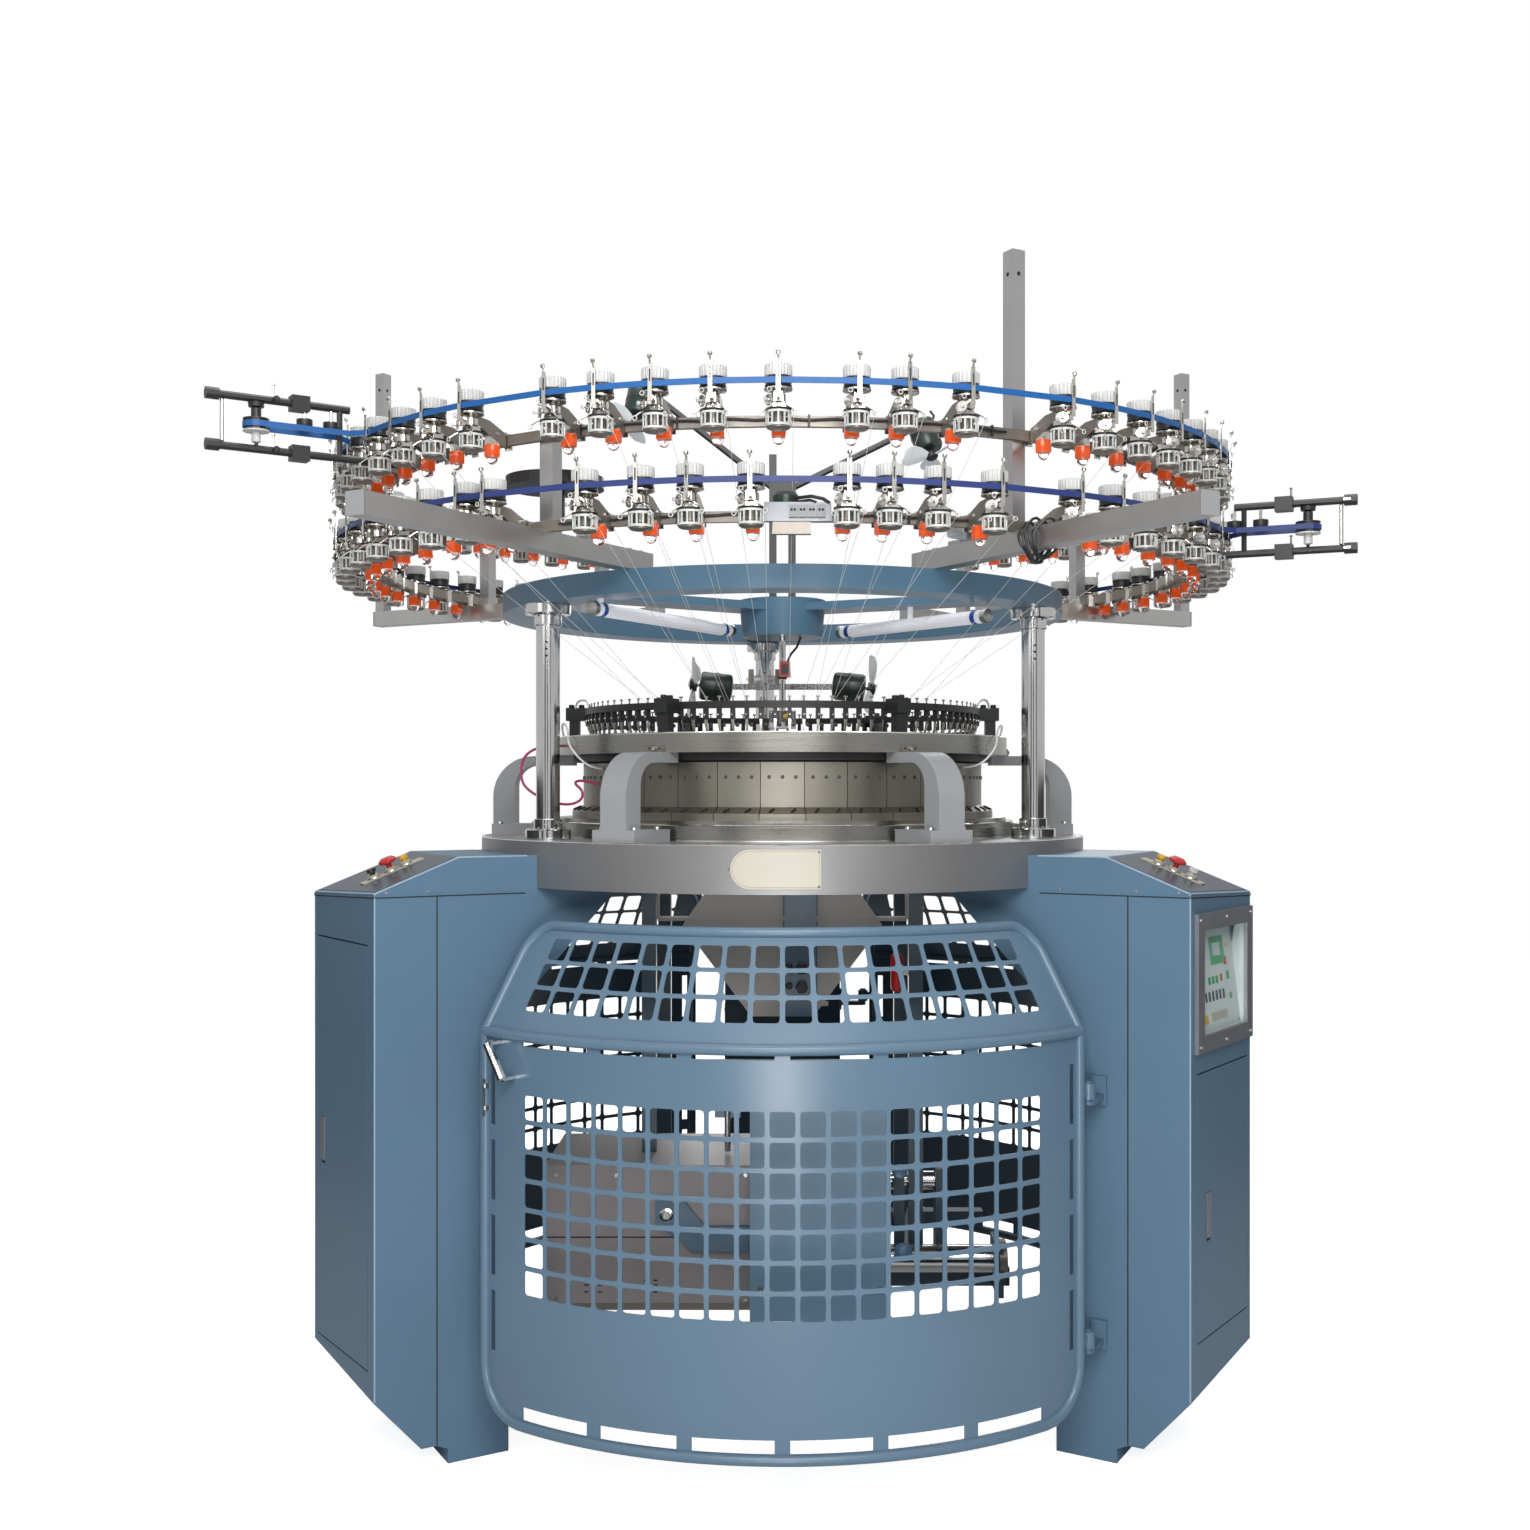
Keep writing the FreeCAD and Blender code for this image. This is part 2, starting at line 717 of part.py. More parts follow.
# ---- bed and knitting head ---------------------------------------------------------------------


def add_bed_plate():
    """The round bed with a skirt under its rim, cut away where the legs come in."""
    body = new_body("bed_plate")
    revolve(body, "bed_disc", rectangle(s.bed_bore, s.bed_bottom, s.bed_radius, bed_top))
    skirt = rectangle(s.bed_radius - s.apron_wall, s.apron_bottom, s.bed_radius, s.bed_bottom + 5)
    revolve(body, "bed_skirt", skirt)
    half = s.leg_half_width + s.running_gap
    cut = pocket(
        body, "leg_gap", "XZ_Plane",
        rectangle(s.bed_radius - 120, s.apron_bottom - 20, s.bed_radius + 20, s.bed_bottom),
        half * 2,
    )
    pattern = body.newObject("PartDesign::PolarPattern", "leg_gaps")
    pattern.Originals = [cut]
    pattern.Axis = (origin_axis(body, "Z_Axis"), [""])
    pattern.Angle = 360
    pattern.Occurrences = len(LEG_AZIMUTHS)
    body.Tip = pattern
    keep(set_place(body, turn=LEG_AZIMUTHS["right"] - 90.0), "bed_plate")


def origin_axis(body, role):
    return next(f for f in body.Origin.OriginFeatures if f.Role == role)


def add_ring(label, points):
    body = new_body(label)
    revolve(body, f"{label}_ring", points)
    return keep(body, label)


def add_gear_cover():
    """A stepped round cover over the cylinder's drive; the cylinder runs in its bore."""
    bore = s.cylinder_radius + s.running_gap
    add_ring("gear_cover", (
        (bore, bed_top), (s.gear_cover_radius, bed_top), (s.gear_cover_radius, gear_cover_top),
        (s.gear_cover_radius - 16, gear_cover_top), (s.gear_cover_radius - 16, cam_bottom), (bore, cam_bottom),
    ))


def add_cylinder():
    """The needle cylinder, which turns in the gear cover's bore."""
    inner = s.cylinder_radius - s.cylinder_wall
    add_ring("needle_cylinder", rectangle(inner, s.cylinder_bottom, s.cylinder_radius, cap_bottom + 2))


def add_cam_ring():
    """The ring of cam boxes: a bevelled foot and an upright face, each box a wedge of the circle."""
    inner = s.cylinder_radius + 2.5
    foot_top = cam_bottom + s.cam_base_height
    bevel_top = foot_top + s.cam_bevel_height
    profile = (
        (inner, cam_bottom), (s.cam_base_radius, cam_bottom), (s.cam_base_radius, foot_top),
        (s.cam_radius, bevel_top), (s.cam_radius, cam_top), (inner, cam_top),
    )
    count = round(float(s.cam_sections))
    half = math.pi / count
    sections = []
    for sign in (-1, 1):
        angle = math.degrees(half - float(s.seam) / 2 / float(s.cam_radius)) * sign
        sections.append([polar(r, angle, z) for r, z in profile])
    box = through(sections)
    shape_node(copies(box, [(i + 0.5) * 360.0 / count for i in range(count)]), "cam_ring")


def add_head_rings():
    """The dark sinker ring on the cam boxes, and the bright cap ring above it."""
    add_ring("sinker_ring", rectangle(s.cylinder_radius + 4, cam_top, s.sinker_ring_radius, cap_bottom))
    add_ring("cap_ring", (
        (s.cap_ring_bore, cap_bottom), (s.cap_ring_radius, cap_bottom),
        (s.cap_ring_radius, cap_top), (s.cap_ring_bore, cap_top),
    ))


def add_arch_brackets():
    """Six cast arches: a foot on the bed, an upright, and a quarter turn in under the cap ring."""
    outer = float(s.bracket_foot_radius)
    bar = float(s.bracket_bar)
    foot_top = float(bed_top + s.bracket_foot_height)
    nose_top = float(cap_bottom)
    nose_low = nose_top - 22
    nose = float(s.sinker_ring_radius) + 6
    bend_outer = 96.0
    bend_inner = bend_outer - bar + 6
    base = float(bed_top)
    half = bar / 2
    start = Vector(outer, 0, foot_top)
    top_centre = Vector(outer - bend_outer, 0, nose_top - bend_outer)
    low_centre = Vector(outer - bar - bend_inner, 0, nose_low - bend_inner)
    diagonal = math.sqrt(0.5)
    points = [
        start, Vector(outer, 0, top_centre.z), Vector(top_centre.x, 0, nose_top), Vector(nose, 0, nose_top),
        Vector(nose, 0, nose_low), Vector(low_centre.x, 0, nose_low), Vector(outer - bar, 0, low_centre.z),
        Vector(outer - bar, 0, foot_top),
    ]
    outer_mid = top_centre + Vector(bend_outer * diagonal, 0, bend_outer * diagonal)
    inner_mid = low_centre + Vector(bend_inner * diagonal, 0, bend_inner * diagonal)
    edges = [
        Part.makeLine(points[0], points[1]),
        Part.Arc(points[1], outer_mid, points[2]).toShape(),
        Part.makeLine(points[2], points[3]),
        Part.makeLine(points[3], points[4]),
        Part.makeLine(points[4], points[5]),
        Part.Arc(points[5], inner_mid, points[6]).toShape(),
        Part.makeLine(points[6], points[7]),
        Part.makeLine(points[7], points[0]),
    ]
    width = float(s.bracket_width)
    arch = Part.Face(Part.Wire(edges)).extrude(Vector(0, width, 0))
    arch.translate(Vector(0, -width / 2, 0))
    foot_half = float(s.bracket_foot_width) / 2
    foot = block(outer - bar - half - 52, outer, -foot_half, foot_half, base, foot_top)
    shape = arch.fuse(foot).removeSplitter()
    shape_node(copies(shape, [azimuth - 90.0 for azimuth in BRACKET_AZIMUTHS]), "arch_brackets")


def add_guide_ring():
    """The black yarn guide ring, held over the cap ring by six clamp posts."""
    inner = s.guide_ring_radius - s.guide_ring_width
    top = guide_ring_bottom + s.guide_ring_height
    ring = Part.makeCylinder(float(s.guide_ring_radius), float(s.guide_ring_height), Vector(0, 0, float(guide_ring_bottom)))
    ring = ring.cut(Part.makeCylinder(float(inner), 80, Vector(0, 0, float(guide_ring_bottom) - 20)))
    low = float(cap_top)
    reach = float(s.guide_ring_radius)
    post = block(reach + 14, reach + 38, -13, 13, low, float(top) + 6)
    clamp = block(reach - 2, reach + 46, -17, 17, float(guide_ring_bottom) - 10, float(top) + 6)
    holder = post.fuse(clamp)
    holders = copies(holder, [azimuth - 90.0 for azimuth in BRACKET_AZIMUTHS])
    shape_node(ring.fuse(holders.Solids).removeSplitter(), "guide_ring")
    drop = float(s.guide_drop)
    seat = float(guide_ring_bottom)
    middle = reach - float(s.guide_ring_width) / 2
    guide = flat((
        Vector(middle, -6, seat), Vector(middle, 6, seat), Vector(middle, 0, seat - drop)
    )).extrude(Vector(6, 0, 0))
    count = round(float(s.yarn_guides))
    shape_node(copies(guide, [(i + 0.5) * 360.0 / count for i in range(count)]), "yarn_guides")


# ---- columns and top ring ----------------------------------------------------------------------


def add_columns():
    """Three chrome columns, each with a flange at both ends and a collar on the lower one."""
    body = new_body("column")
    low, high = bed_top, s.top_ring_bottom
    flange, collar, shaft = s.flange_radius, s.collar_radius, s.column_radius
    collar_low, shaft_low = low + s.flange_height, low + s.flange_height + s.collar_height
    shaft_high = high - s.flange_height
    revolve(body, "column_turning", (
        (0, low), (flange, low), (flange, collar_low), (collar, collar_low), (collar, shaft_low),
        (shaft, shaft_low), (shaft, shaft_high), (flange, shaft_high), (flange, high), (0, high),
    ))
    doc.recompute()
    column = body.Shape.copy()
    column.translate(Vector(float(s.column_circle), 0, 0))
    turns = [azimuth + float(s.upper_turn) - 90.0 for azimuth in COLUMN_AZIMUTHS.values()]
    shape_node(copies(column, turns), "columns")


SPOKE_RISE, SPOKE_THICKNESS = 18.0, 18.0


def add_top_ring():
    """The blue top ring: a flat ring, three spokes and a cup hub cast in one piece."""
    body = new_body("top_ring")
    low, high = s.top_ring_bottom, top_ring_top
    revolve(body, "top_rim", rectangle(s.top_ring_bore, low, s.top_ring_radius, high))
    revolve(body, "hub", ((0, low - s.hub_drop), (s.hub_radius - 8, low - s.hub_drop), (s.hub_radius, high), (0, high)))
    half = s.spoke_width / 2
    spoke = pad(
        body, "spoke", "XY_Plane",
        rectangle(s.hub_radius - 30, -half, s.top_ring_bore + 20, half), SPOKE_THICKNESS, both=False,
    )
    spoke.Profile[0].AttachmentOffset = Placement(Vector(0, 0, float(low) + SPOKE_RISE), Rotation())
    bind(spoke.Profile[0], "AttachmentOffset.Base.z", low + SPOKE_RISE)
    pattern = body.newObject("PartDesign::PolarPattern", "spokes")
    pattern.Originals = [spoke]
    pattern.Axis = (origin_axis(body, "Z_Axis"), [""])
    pattern.Angle = 360
    pattern.Occurrences = len(COLUMN_AZIMUTHS)
    body.Tip = pattern
    keep(set_place(body, turn=COLUMN_AZIMUTHS["right"] + float(s.upper_turn) - 90.0), "top_ring")


LAMPS = (
    # outer and inner end in plan, and how far along it the hanger stands: under the rim, or under a spoke
    (Vector(-401, -500, 0), Vector(-124, -3, 0), 0.06, 0.0),
    (Vector(451, -342, 0), Vector(140, 47, 0), 0.5, SPOKE_RISE),
)


def add_lamps():
    """Two tube lamps hung under the top ring on end blocks."""
    pieces = []
    radius = float(s.lamp_radius)
    seat = float(s.top_ring_bottom)
    for outer, inner, share, rise in LAMPS:
        lift = Vector(0, 0, seat - radius - 8)
        tube = bar(outer + lift, inner + lift, radius, 12)
        foot = outer + (inner - outer) * share
        hanger = bar(foot + lift, foot + Vector(0, 0, seat + rise), 7)
        pieces.append(tube.fuse(hanger))
    shape_node(Part.makeCompound(pieces), "lamps")


def add_centre_pole():
    """A slim pole under the hub with a sensor box, and the bar that carries the two lower fans."""
    low = float(s.top_ring_bottom - s.hub_drop)
    sensor_top = LOWER_FAN_HEIGHT - SENSOR_DROP
    pole = bar(Vector(0, 0, sensor_top - 30), Vector(0, 0, low), POLE_RADIUS, 12)
    box = block(-32, 32, -22, 22, sensor_top - SENSOR_HEIGHT, sensor_top)
    end = LOWER_FAN_REACH - MOTOR_LENGTH / 2 - 2.0
    cross = block(-end, end, -7, 7, LOWER_FAN_HEIGHT - 7, LOWER_FAN_HEIGHT + 7)
    shape_node(pole.fuse(box).fuse(cross).removeSplitter(), "centre_pole")


POLE_RADIUS = 8.5
LOWER_FAN_DROP = 118.0
SENSOR_DROP, SENSOR_HEIGHT = 58.0, 42.0
LOWER_FAN_HEIGHT = float(s.top_ring_bottom - s.hub_drop) - LOWER_FAN_DROP
LOWER_FAN_REACH = 160.0
UPPER_FAN_REACH = 343.0
FAN_MAST_TOP = 2120.0
FANS = {
    # motor centre, direction that the shaft points
    "upper_left": (Vector(-UPPER_FAN_REACH, 0, 2305), Vector(-0.15, -0.35, -1.0)),
    "upper_right": (Vector(UPPER_FAN_REACH, 0, 2225), Vector(0.3, -0.3, -1.0)),
    "lower_left": (Vector(-LOWER_FAN_REACH, 0, LOWER_FAN_HEIGHT), Vector(-1.0, -0.1, 0.1)),
    "lower_right": (Vector(LOWER_FAN_REACH, 0, LOWER_FAN_HEIGHT), Vector(1.0, -0.1, -0.1)),
}
MOTOR_RADIUS, MOTOR_LENGTH, SHAFT_RADIUS, STRUT_RADIUS = 34.0, 78.0, 4.0, 8.0
BLADE_LENGTH, BLADE_WIDTH = 80.0, 56.0
STRUT_SETBACK = 26.0


def fan_axis(name):
    centre, direction = FANS[name]
    return centre, Vector(direction).normalize()


def add_fans():
    """Four small fans: black motors on struts, each with a hub and three blades on its shaft."""
    motors = []
    for name in FANS:
        centre, along = fan_axis(name)
        front = centre + along * (MOTOR_LENGTH / 2)
        motor = bar(centre - along * (MOTOR_LENGTH / 2), front, MOTOR_RADIUS, 16)
        motor = motor.cut(bar(front - along * 24, front + along * 5, loose_bore(SHAFT_RADIUS), 12))
        motors.append(motor)
    shape_node(Part.makeCompound(motors), "fan_motors")
    for name in FANS:
        centre, along = fan_axis(name)
        front = centre + along * (MOTOR_LENGTH / 2)
        hub = bar(front + along * 6, front + along * 24, 15, 12)
        shaft = bar(front - along * 20, front + along * 10, SHAFT_RADIUS, 12)
        side = along.cross(Vector(0.2, 0.9, 0.1)).normalize()
        rotor = hub.fuse(shaft)
        for i in range(3):
            spin = Rotation(along, i * 120.0 + 15)
            reach = spin.multVec(side)
            across = along.cross(reach)
            tilt = Rotation(reach, 24)
            across = tilt.multVec(across)
            skin = tilt.multVec(along)
            root = front + along * 15
            corners = [
                root + reach * 10 - across * 10, root + reach * BLADE_LENGTH - across * (BLADE_WIDTH / 2),
                root + reach * BLADE_LENGTH + across * (BLADE_WIDTH / 2), root + reach * 10 + across * 10,
            ]
            blade = Part.Face(Part.makePolygon(corners + corners[:1])).extrude(skin * 2)
            rotor = rotor.fuse(blade)
        shape_node(rotor, f"fan_{name}")


def add_fan_mast():
    """The black mast over the hub and the struts that reach out to the two upper fans."""
    top = float(top_ring_top)
    mast = block(-32, -14, -9, 9, top, FAN_MAST_TOP + 60)
    twin = block(14, 32, -9, 9, top, FAN_MAST_TOP)
    tie = block(-32, 32, -9, 9, FAN_MAST_TOP - 40, FAN_MAST_TOP)
    shape = mast.fuse(twin).fuse(tie)
    for name, foot in (("upper_left", -23), ("upper_right", 23)):
        centre, along = fan_axis(name)
        start = Vector(foot, 0, FAN_MAST_TOP - 20)
        side = (start - centre) - along * along.dot(start - centre)
        side.normalize()
        slant = (centre - start).normalize().cross(side).Length
        end = centre + side * (MOTOR_RADIUS + STRUT_RADIUS * slant) - along * STRUT_SETBACK
        shape = shape.fuse(bar(start, end, STRUT_RADIUS, 8))
    return shape


# ---- creel: arms, posts, tier rings, feeders and belts -----------------------------------------

def arm_azimuths():
    front, rear, back = float(s.front_arm_azimuth), float(s.rear_arm_azimuth), float(s.back_arm_azimuth)
    arms = ((front, s.front_arm_reach), (rear, s.rear_arm_reach), (back, s.tier_radius + 15))
    return arms + tuple((-azimuth, reach) for azimuth, reach in arms)


def add_creel_arms():
    """Six square tubes bolted on the top ring, which carry the tiers of feeders."""
    side = float(s.arm_side)
    low = float(top_ring_top)
    start = float(s.top_ring_bore) + 12
    arms = []
    for azimuth, reach in arm_azimuths():
        arm = block(start, float(reach), -side / 2, side / 2, low, low + side)
        arm.rotate(Vector(0, 0, 0), Vector(0, 0, 1), azimuth - 90.0)
        arms.append(arm)
    shape_node(Part.makeCompound(arms), "creel_arms")


POST_GAP = 1.25
INNER_POST = s.tier_radius - s.beam_width - s.post_side / 2 - POST_GAP
OUTER_POST = s.rear_arm_reach - 15
UPPER_BEAM_TOP = upper_tier + s.beam_height / 2
POSTS = {
    # azimuth, distance from the axis, top
    "mast": (s.front_arm_azimuth, INNER_POST, s.mast_top),
    "short": (-s.front_arm_azimuth, INNER_POST, UPPER_BEAM_TOP),
    "outer_left": (-s.rear_arm_azimuth, OUTER_POST, s.outer_post_top),
    "outer_right": (s.rear_arm_azimuth, OUTER_POST, s.outer_post_top),
    "rear_left": (-s.rear_arm_azimuth, INNER_POST, UPPER_BEAM_TOP),
    "rear_right": (s.rear_arm_azimuth, INNER_POST, UPPER_BEAM_TOP),
    "back_left": (-s.back_arm_azimuth, INNER_POST, UPPER_BEAM_TOP),
    "back_right": (s.back_arm_azimuth, INNER_POST, UPPER_BEAM_TOP),
}


def add_creel_posts():
    """Square posts that stand on the arms: the tall mast, and the posts that hold the upper tier."""
    half = float(s.post_side) / 2
    low = float(top_ring_top + s.arm_side)
    posts = []
    for azimuth, reach, top in POSTS.values():
        post = block(float(reach) - half, float(reach) + half, -half, half, low, top)
        post.rotate(Vector(0, 0, 0), Vector(0, 0, 1), float(azimuth) - 90.0)
        posts.append(post)
    shape_node(Part.makeCompound(posts), "creel_posts")


TIERS = {"lower": lower_tier, "upper": upper_tier}
FRONT_FEEDERS = {
    # azimuths of the feeders between the two front arms
    "upper": (-24.5, -18.9, -13.0, -7.0, -0.4, 7.5, 12.5, 19.1),
    "lower": (-20.7, -14.5, -9.35, -3.15, 6.5, 10.9, 16.0, 22.4),
}


def feeder_azimuths(tier):
    """The front feeders as placed by hand, then steady steps round each side from the arms."""
    pitch, span = float(s.tier_pitch), float(s.tier_half_span)
    first = float(s.front_arm_azimuth) + (6.0 if tier == "upper" else 2.7)
    right = []
    azimuth = first - (4.5 if tier == "upper" else 0.0)
    while azimuth <= span:
        right.append(azimuth)
        azimuth += pitch
    left = []
    azimuth = -first + (0.0 if tier == "upper" else 2.2)
    while azimuth >= -span:
        left.append(azimuth)
        azimuth -= pitch
    azimuths = left[::-1] + list(FRONT_FEEDERS[tier]) + right
    return azimuths if tier == "upper" else [clear_of_arms(azimuth) for azimuth in azimuths]


ARM_CLEARANCE = 2.75


def clear_of_arms(azimuth):
    """A lower feeder's azimuth, stepped aside where an arm passes under it."""
    for arm, reach in arm_azimuths():
        if abs(azimuth - arm) < ARM_CLEARANCE:
            return arm + math.copysign(ARM_CLEARANCE, azimuth - arm)
    return azimuth


def beam_azimuths(azimuths):
    """Where the beam bends: at each feeder and each post, and just past its last feeders."""
    posts = {float(azimuth) for azimuth, reach, top in POSTS.values()}
    bends = [azimuth for azimuth in azimuths if all(abs(azimuth - post) > 1.2 for post in posts)]
    return [azimuths[0] - 1.5] + sorted(bends + list(posts)) + [azimuths[-1] + 1.5]


beams = []


def add_tier(tier):
    """A beam ring, open at the back, with its feeders and the belt that drives them."""
    level = float(TIERS[tier])
    radius, width = float(s.tier_radius), float(s.beam_width)
    half_beam = float(s.beam_height) / 2
    azimuths = feeder_azimuths(tier)
    corners = ((radius - width, -half_beam), (radius, -half_beam), (radius, half_beam), (radius - width, half_beam))
    beams.append(through([[polar(r, azimuth, level + z) for r, z in corners] for azimuth in beam_azimuths(azimuths)]))
    reach, size = float(s.feeder_circle), float(s.feeder_radius)
    belt_low = level + float(s.belt_lift)
    belt_high = belt_low + float(s.belt_height)
    centre = Vector(reach, 0, 0)
    plate = block(radius, reach + 9, -8, 8, level - 20, belt_low - 4)
    cap = prism(6, size, belt_low - 4, belt_high + 26, centre)
    wheel = prism(6, size - 2, level - 50, level - 20, centre)
    feeder = Part.makeCompound([plate, cap, wheel])
    shape_node(copies(feeder, [azimuth - 90.0 for azimuth in azimuths]), f"{tier}_feeders")
    thick = float(s.belt_thickness)
    path = belt_path(tier, azimuths, reach + size + float(s.running_gap) + thick / 2)
    shape_node(ribbon(path, thick, belt_low, belt_high), f"{tier}_belt")


def belt_path(tier, azimuths, radius):
    """The belt's centre line in plan: from feeder to feeder, and out round the tensioner's wheel."""
    azimuth, tip = TENSIONERS[tier]
    turn = Rotation(Vector(0, 0, 1), azimuth - 90.0)
    wheel, size = tip - WHEEL_INSET, WHEEL_RADIUS + float(s.running_gap) + float(s.belt_thickness) / 2
    size /= math.cos(math.pi / 12)
    loop = [Vector(radius + 25, -size, 0), Vector(wheel, -size, 0)]
    loop += [Vector(wheel + size * math.cos(math.radians(a)), size * math.sin(math.radians(a)), 0) for a in LOOP_TURNS]
    loop += [Vector(wheel, size, 0), Vector(radius + 25, size, 0)]
    path = [polar(radius, a) for a in azimuths if a < azimuth]
    path += [turn.multVec(point) for point in loop]
    return path + [polar(radius, a) for a in azimuths if a > azimuth]


def ribbon(path, thick, low, high):
    """A flat upright band along a path of straight runs in plan."""
    runs = [(b - a).normalize() for a, b in zip(path, path[1:])]
    runs = runs[:1] + runs + runs[-1:]
    sections = []
    for point, before, after in zip(path, runs, runs[1:]):
        along = (before + after).normalize()
        out = Vector(along.y, -along.x, 0) * (thick / 2 / along.dot(before))
        left, right = point - out, point + out
        sections.append([Vector(p.x, p.y, z) for p, z in ((left, low), (right, low), (right, high), (left, high))])
    return through(sections)


WHEEL_INSET, WHEEL_RADIUS = 96.0, 24.0
LOOP_TURNS = (-60.0, -30.0, 0.0, 30.0, 60.0)
TENSIONERS = {
    # azimuth between two feeders, tip's distance from the axis
    "upper": (-56.85, 1342.0),
    "lower": (65.75, 1305.0),
}
TENSIONER_RISE = 100.0


def add_tensioner(tier):
    """Two black tubes that reach out from the tier beam, tied at the tips, with the belt's idler wheel."""
    azimuth, tip = TENSIONERS[tier]
    low = float(TIERS[tier])
    high = low + TENSIONER_RISE
    start = float(s.tier_radius) * math.cos(math.radians(float(s.tier_pitch) / 2))
    link, clamp, wheel = start + 150, start + 214, tip - WHEEL_INSET
    pieces = [
        bar(Vector(start, 0, low), Vector(tip, 0, low), 8, 8),
        bar(Vector(link - 20, 0, high), Vector(tip, 0, high), 8, 8),
        bar(Vector(tip - 30, 0, low), Vector(tip - 30, 0, high), 3.5),
        bar(Vector(link, 0, low), Vector(link, 0, high), 6),
        bar(Vector(wheel, 0, low), Vector(wheel, 0, high), 4),
        prism(12, WHEEL_RADIUS, low + 36, low + 58, Vector(wheel, 0, 0)),
    ]
    for level in (low, high):
        pieces.append(bar(Vector(tip - 24, 0, level), Vector(tip + 2, 0, level), 12, 8))
        pieces.append(block(clamp, clamp + 36, -15, 15, level - 15, level + 15))
    shape = pieces[0].fuse(pieces[1:])
    shape.rotate(Vector(0, 0, 0), Vector(0, 0, 1), azimuth - 90.0)
    shape_node(shape, f"{tier}_tensioner")


DRIVES = {
    # wheel's place in plan, height of its top, radius, length of its hub; the arm that carries it
    "left": (Vector(-455, -650, 0), 2000.0, 98.0, 60.0, -1.0),
    "right": (Vector(392, -620, 0), 1912.0, 60.0, 12.0, 1.0),
}
DRIVE_SHAFT, DRIVE_THICKNESS = 8.0, 22.0


def add_belt_drives():
    """The belts' drive wheels: each turns on an upright pin on a plate clamped to a front arm."""
    low = float(top_ring_top + s.arm_side)
    plates = []
    for side, (place, height, radius, hub_length, sign) in DRIVES.items():
        turn = Rotation(Vector(0, 0, 1), float(s.front_arm_azimuth) * sign - 90.0)
        local = turn.inverted().multVec(place)
        far = math.copysign(float(s.arm_side) / 2, -local.y)
        start, end = sorted((far, local.y + math.copysign(14.0, local.y)))
        plate = block(local.x - 20, local.x + 20, start, end, low, low + 8)
        plate = plate.fuse(bar(Vector(local.x, local.y, low), Vector(local.x, local.y, height + 6), DRIVE_SHAFT, 12))
        plate.rotate(Vector(0, 0, 0), Vector(0, 0, 1), float(s.front_arm_azimuth) * sign - 90.0)
        plates.append(plate)
        disc = prism(32, radius, height - DRIVE_THICKNESS, height, place)
        hub = prism(16, 20, height - DRIVE_THICKNESS - hub_length, height - DRIVE_THICKNESS, place)
        bore = prism(12, loose_bore(DRIVE_SHAFT), height - DRIVE_THICKNESS - hub_length - 5, height + 20, place)
        shape_node(disc.fuse(hub).cut(bore), f"drive_wheel_{side}")
    shape_node(Part.makeCompound(plates), "drive_brackets")


# ---- guards ------------------------------------------------------------------------------------

GUARDS = {
    # azimuth, columns and rows of the lower grid, columns and rows of the hood's grid, slots by the uprights
    "front_guard": (0.0, 19, 7, 18, 3, (260.0, 410.0, 560.0, 710.0)),
    "rear_guard_right": (120.0, 7, 2, 7, 1, ()),
    "rear_guard_left": (-120.0, 7, 2, 7, 1, ()),
}
GRID_COLUMNS, GRID_ROWS, HOOD_GRID_ROWS = 19, 7, 3
TOP_SLOT = 8.0
SIDE_SLOT_HALF, SIDE_SLOT_HEIGHT = 0.5, 120.0
SLOTS = 6
SLOT_HALF_ANGLE, SLOT_PITCH = 5.1, 12.1
SLOT_HEIGHT = 26.0
HOOD_GRID_HALF_ANGLE = 37.4


def wedge(radius, half_angle, low, high, azimuth, reach=60.0):
    """A cutter through a round wall, its sides in planes through the machine's axis."""
    inner, outer = radius - reach, radius + reach
    half = math.radians(half_angle)
    corners = [
        Vector(inner * math.cos(half), -inner * math.sin(half), low),
        Vector(outer * math.cos(half), -outer * math.sin(half), low),
        Vector(outer * math.cos(half), outer * math.sin(half), low),
        Vector(inner * math.cos(half), inner * math.sin(half), low),
    ]
    cutter = Part.Face(Part.makePolygon(corners + corners[:1])).extrude(Vector(0, 0, high - low))
    cutter.rotate(Vector(0, 0, 0), Vector(0, 0, 1), azimuth - 90.0)
    return cutter


def bent_sheet(radius, top_radius, low, high, breaks):
    """A sheet bent in narrow flats: its edge at each height follows a circle round the axis."""
    thick = float(s.guard_sheet)
    corners = ((radius - thick, low), (radius, low), (top_radius, high), (top_radius - thick, high))
    return through([[polar(r, angle, z) for r, z in corners] for angle in breaks])


def column_breaks(columns, turn, edge):
    """The angles where the sheet bends: between the grid's columns, and out to its edges."""
    inner = [(i - columns / 2) * turn for i in range(columns + 1)]
    return [-edge] + inner + [edge]


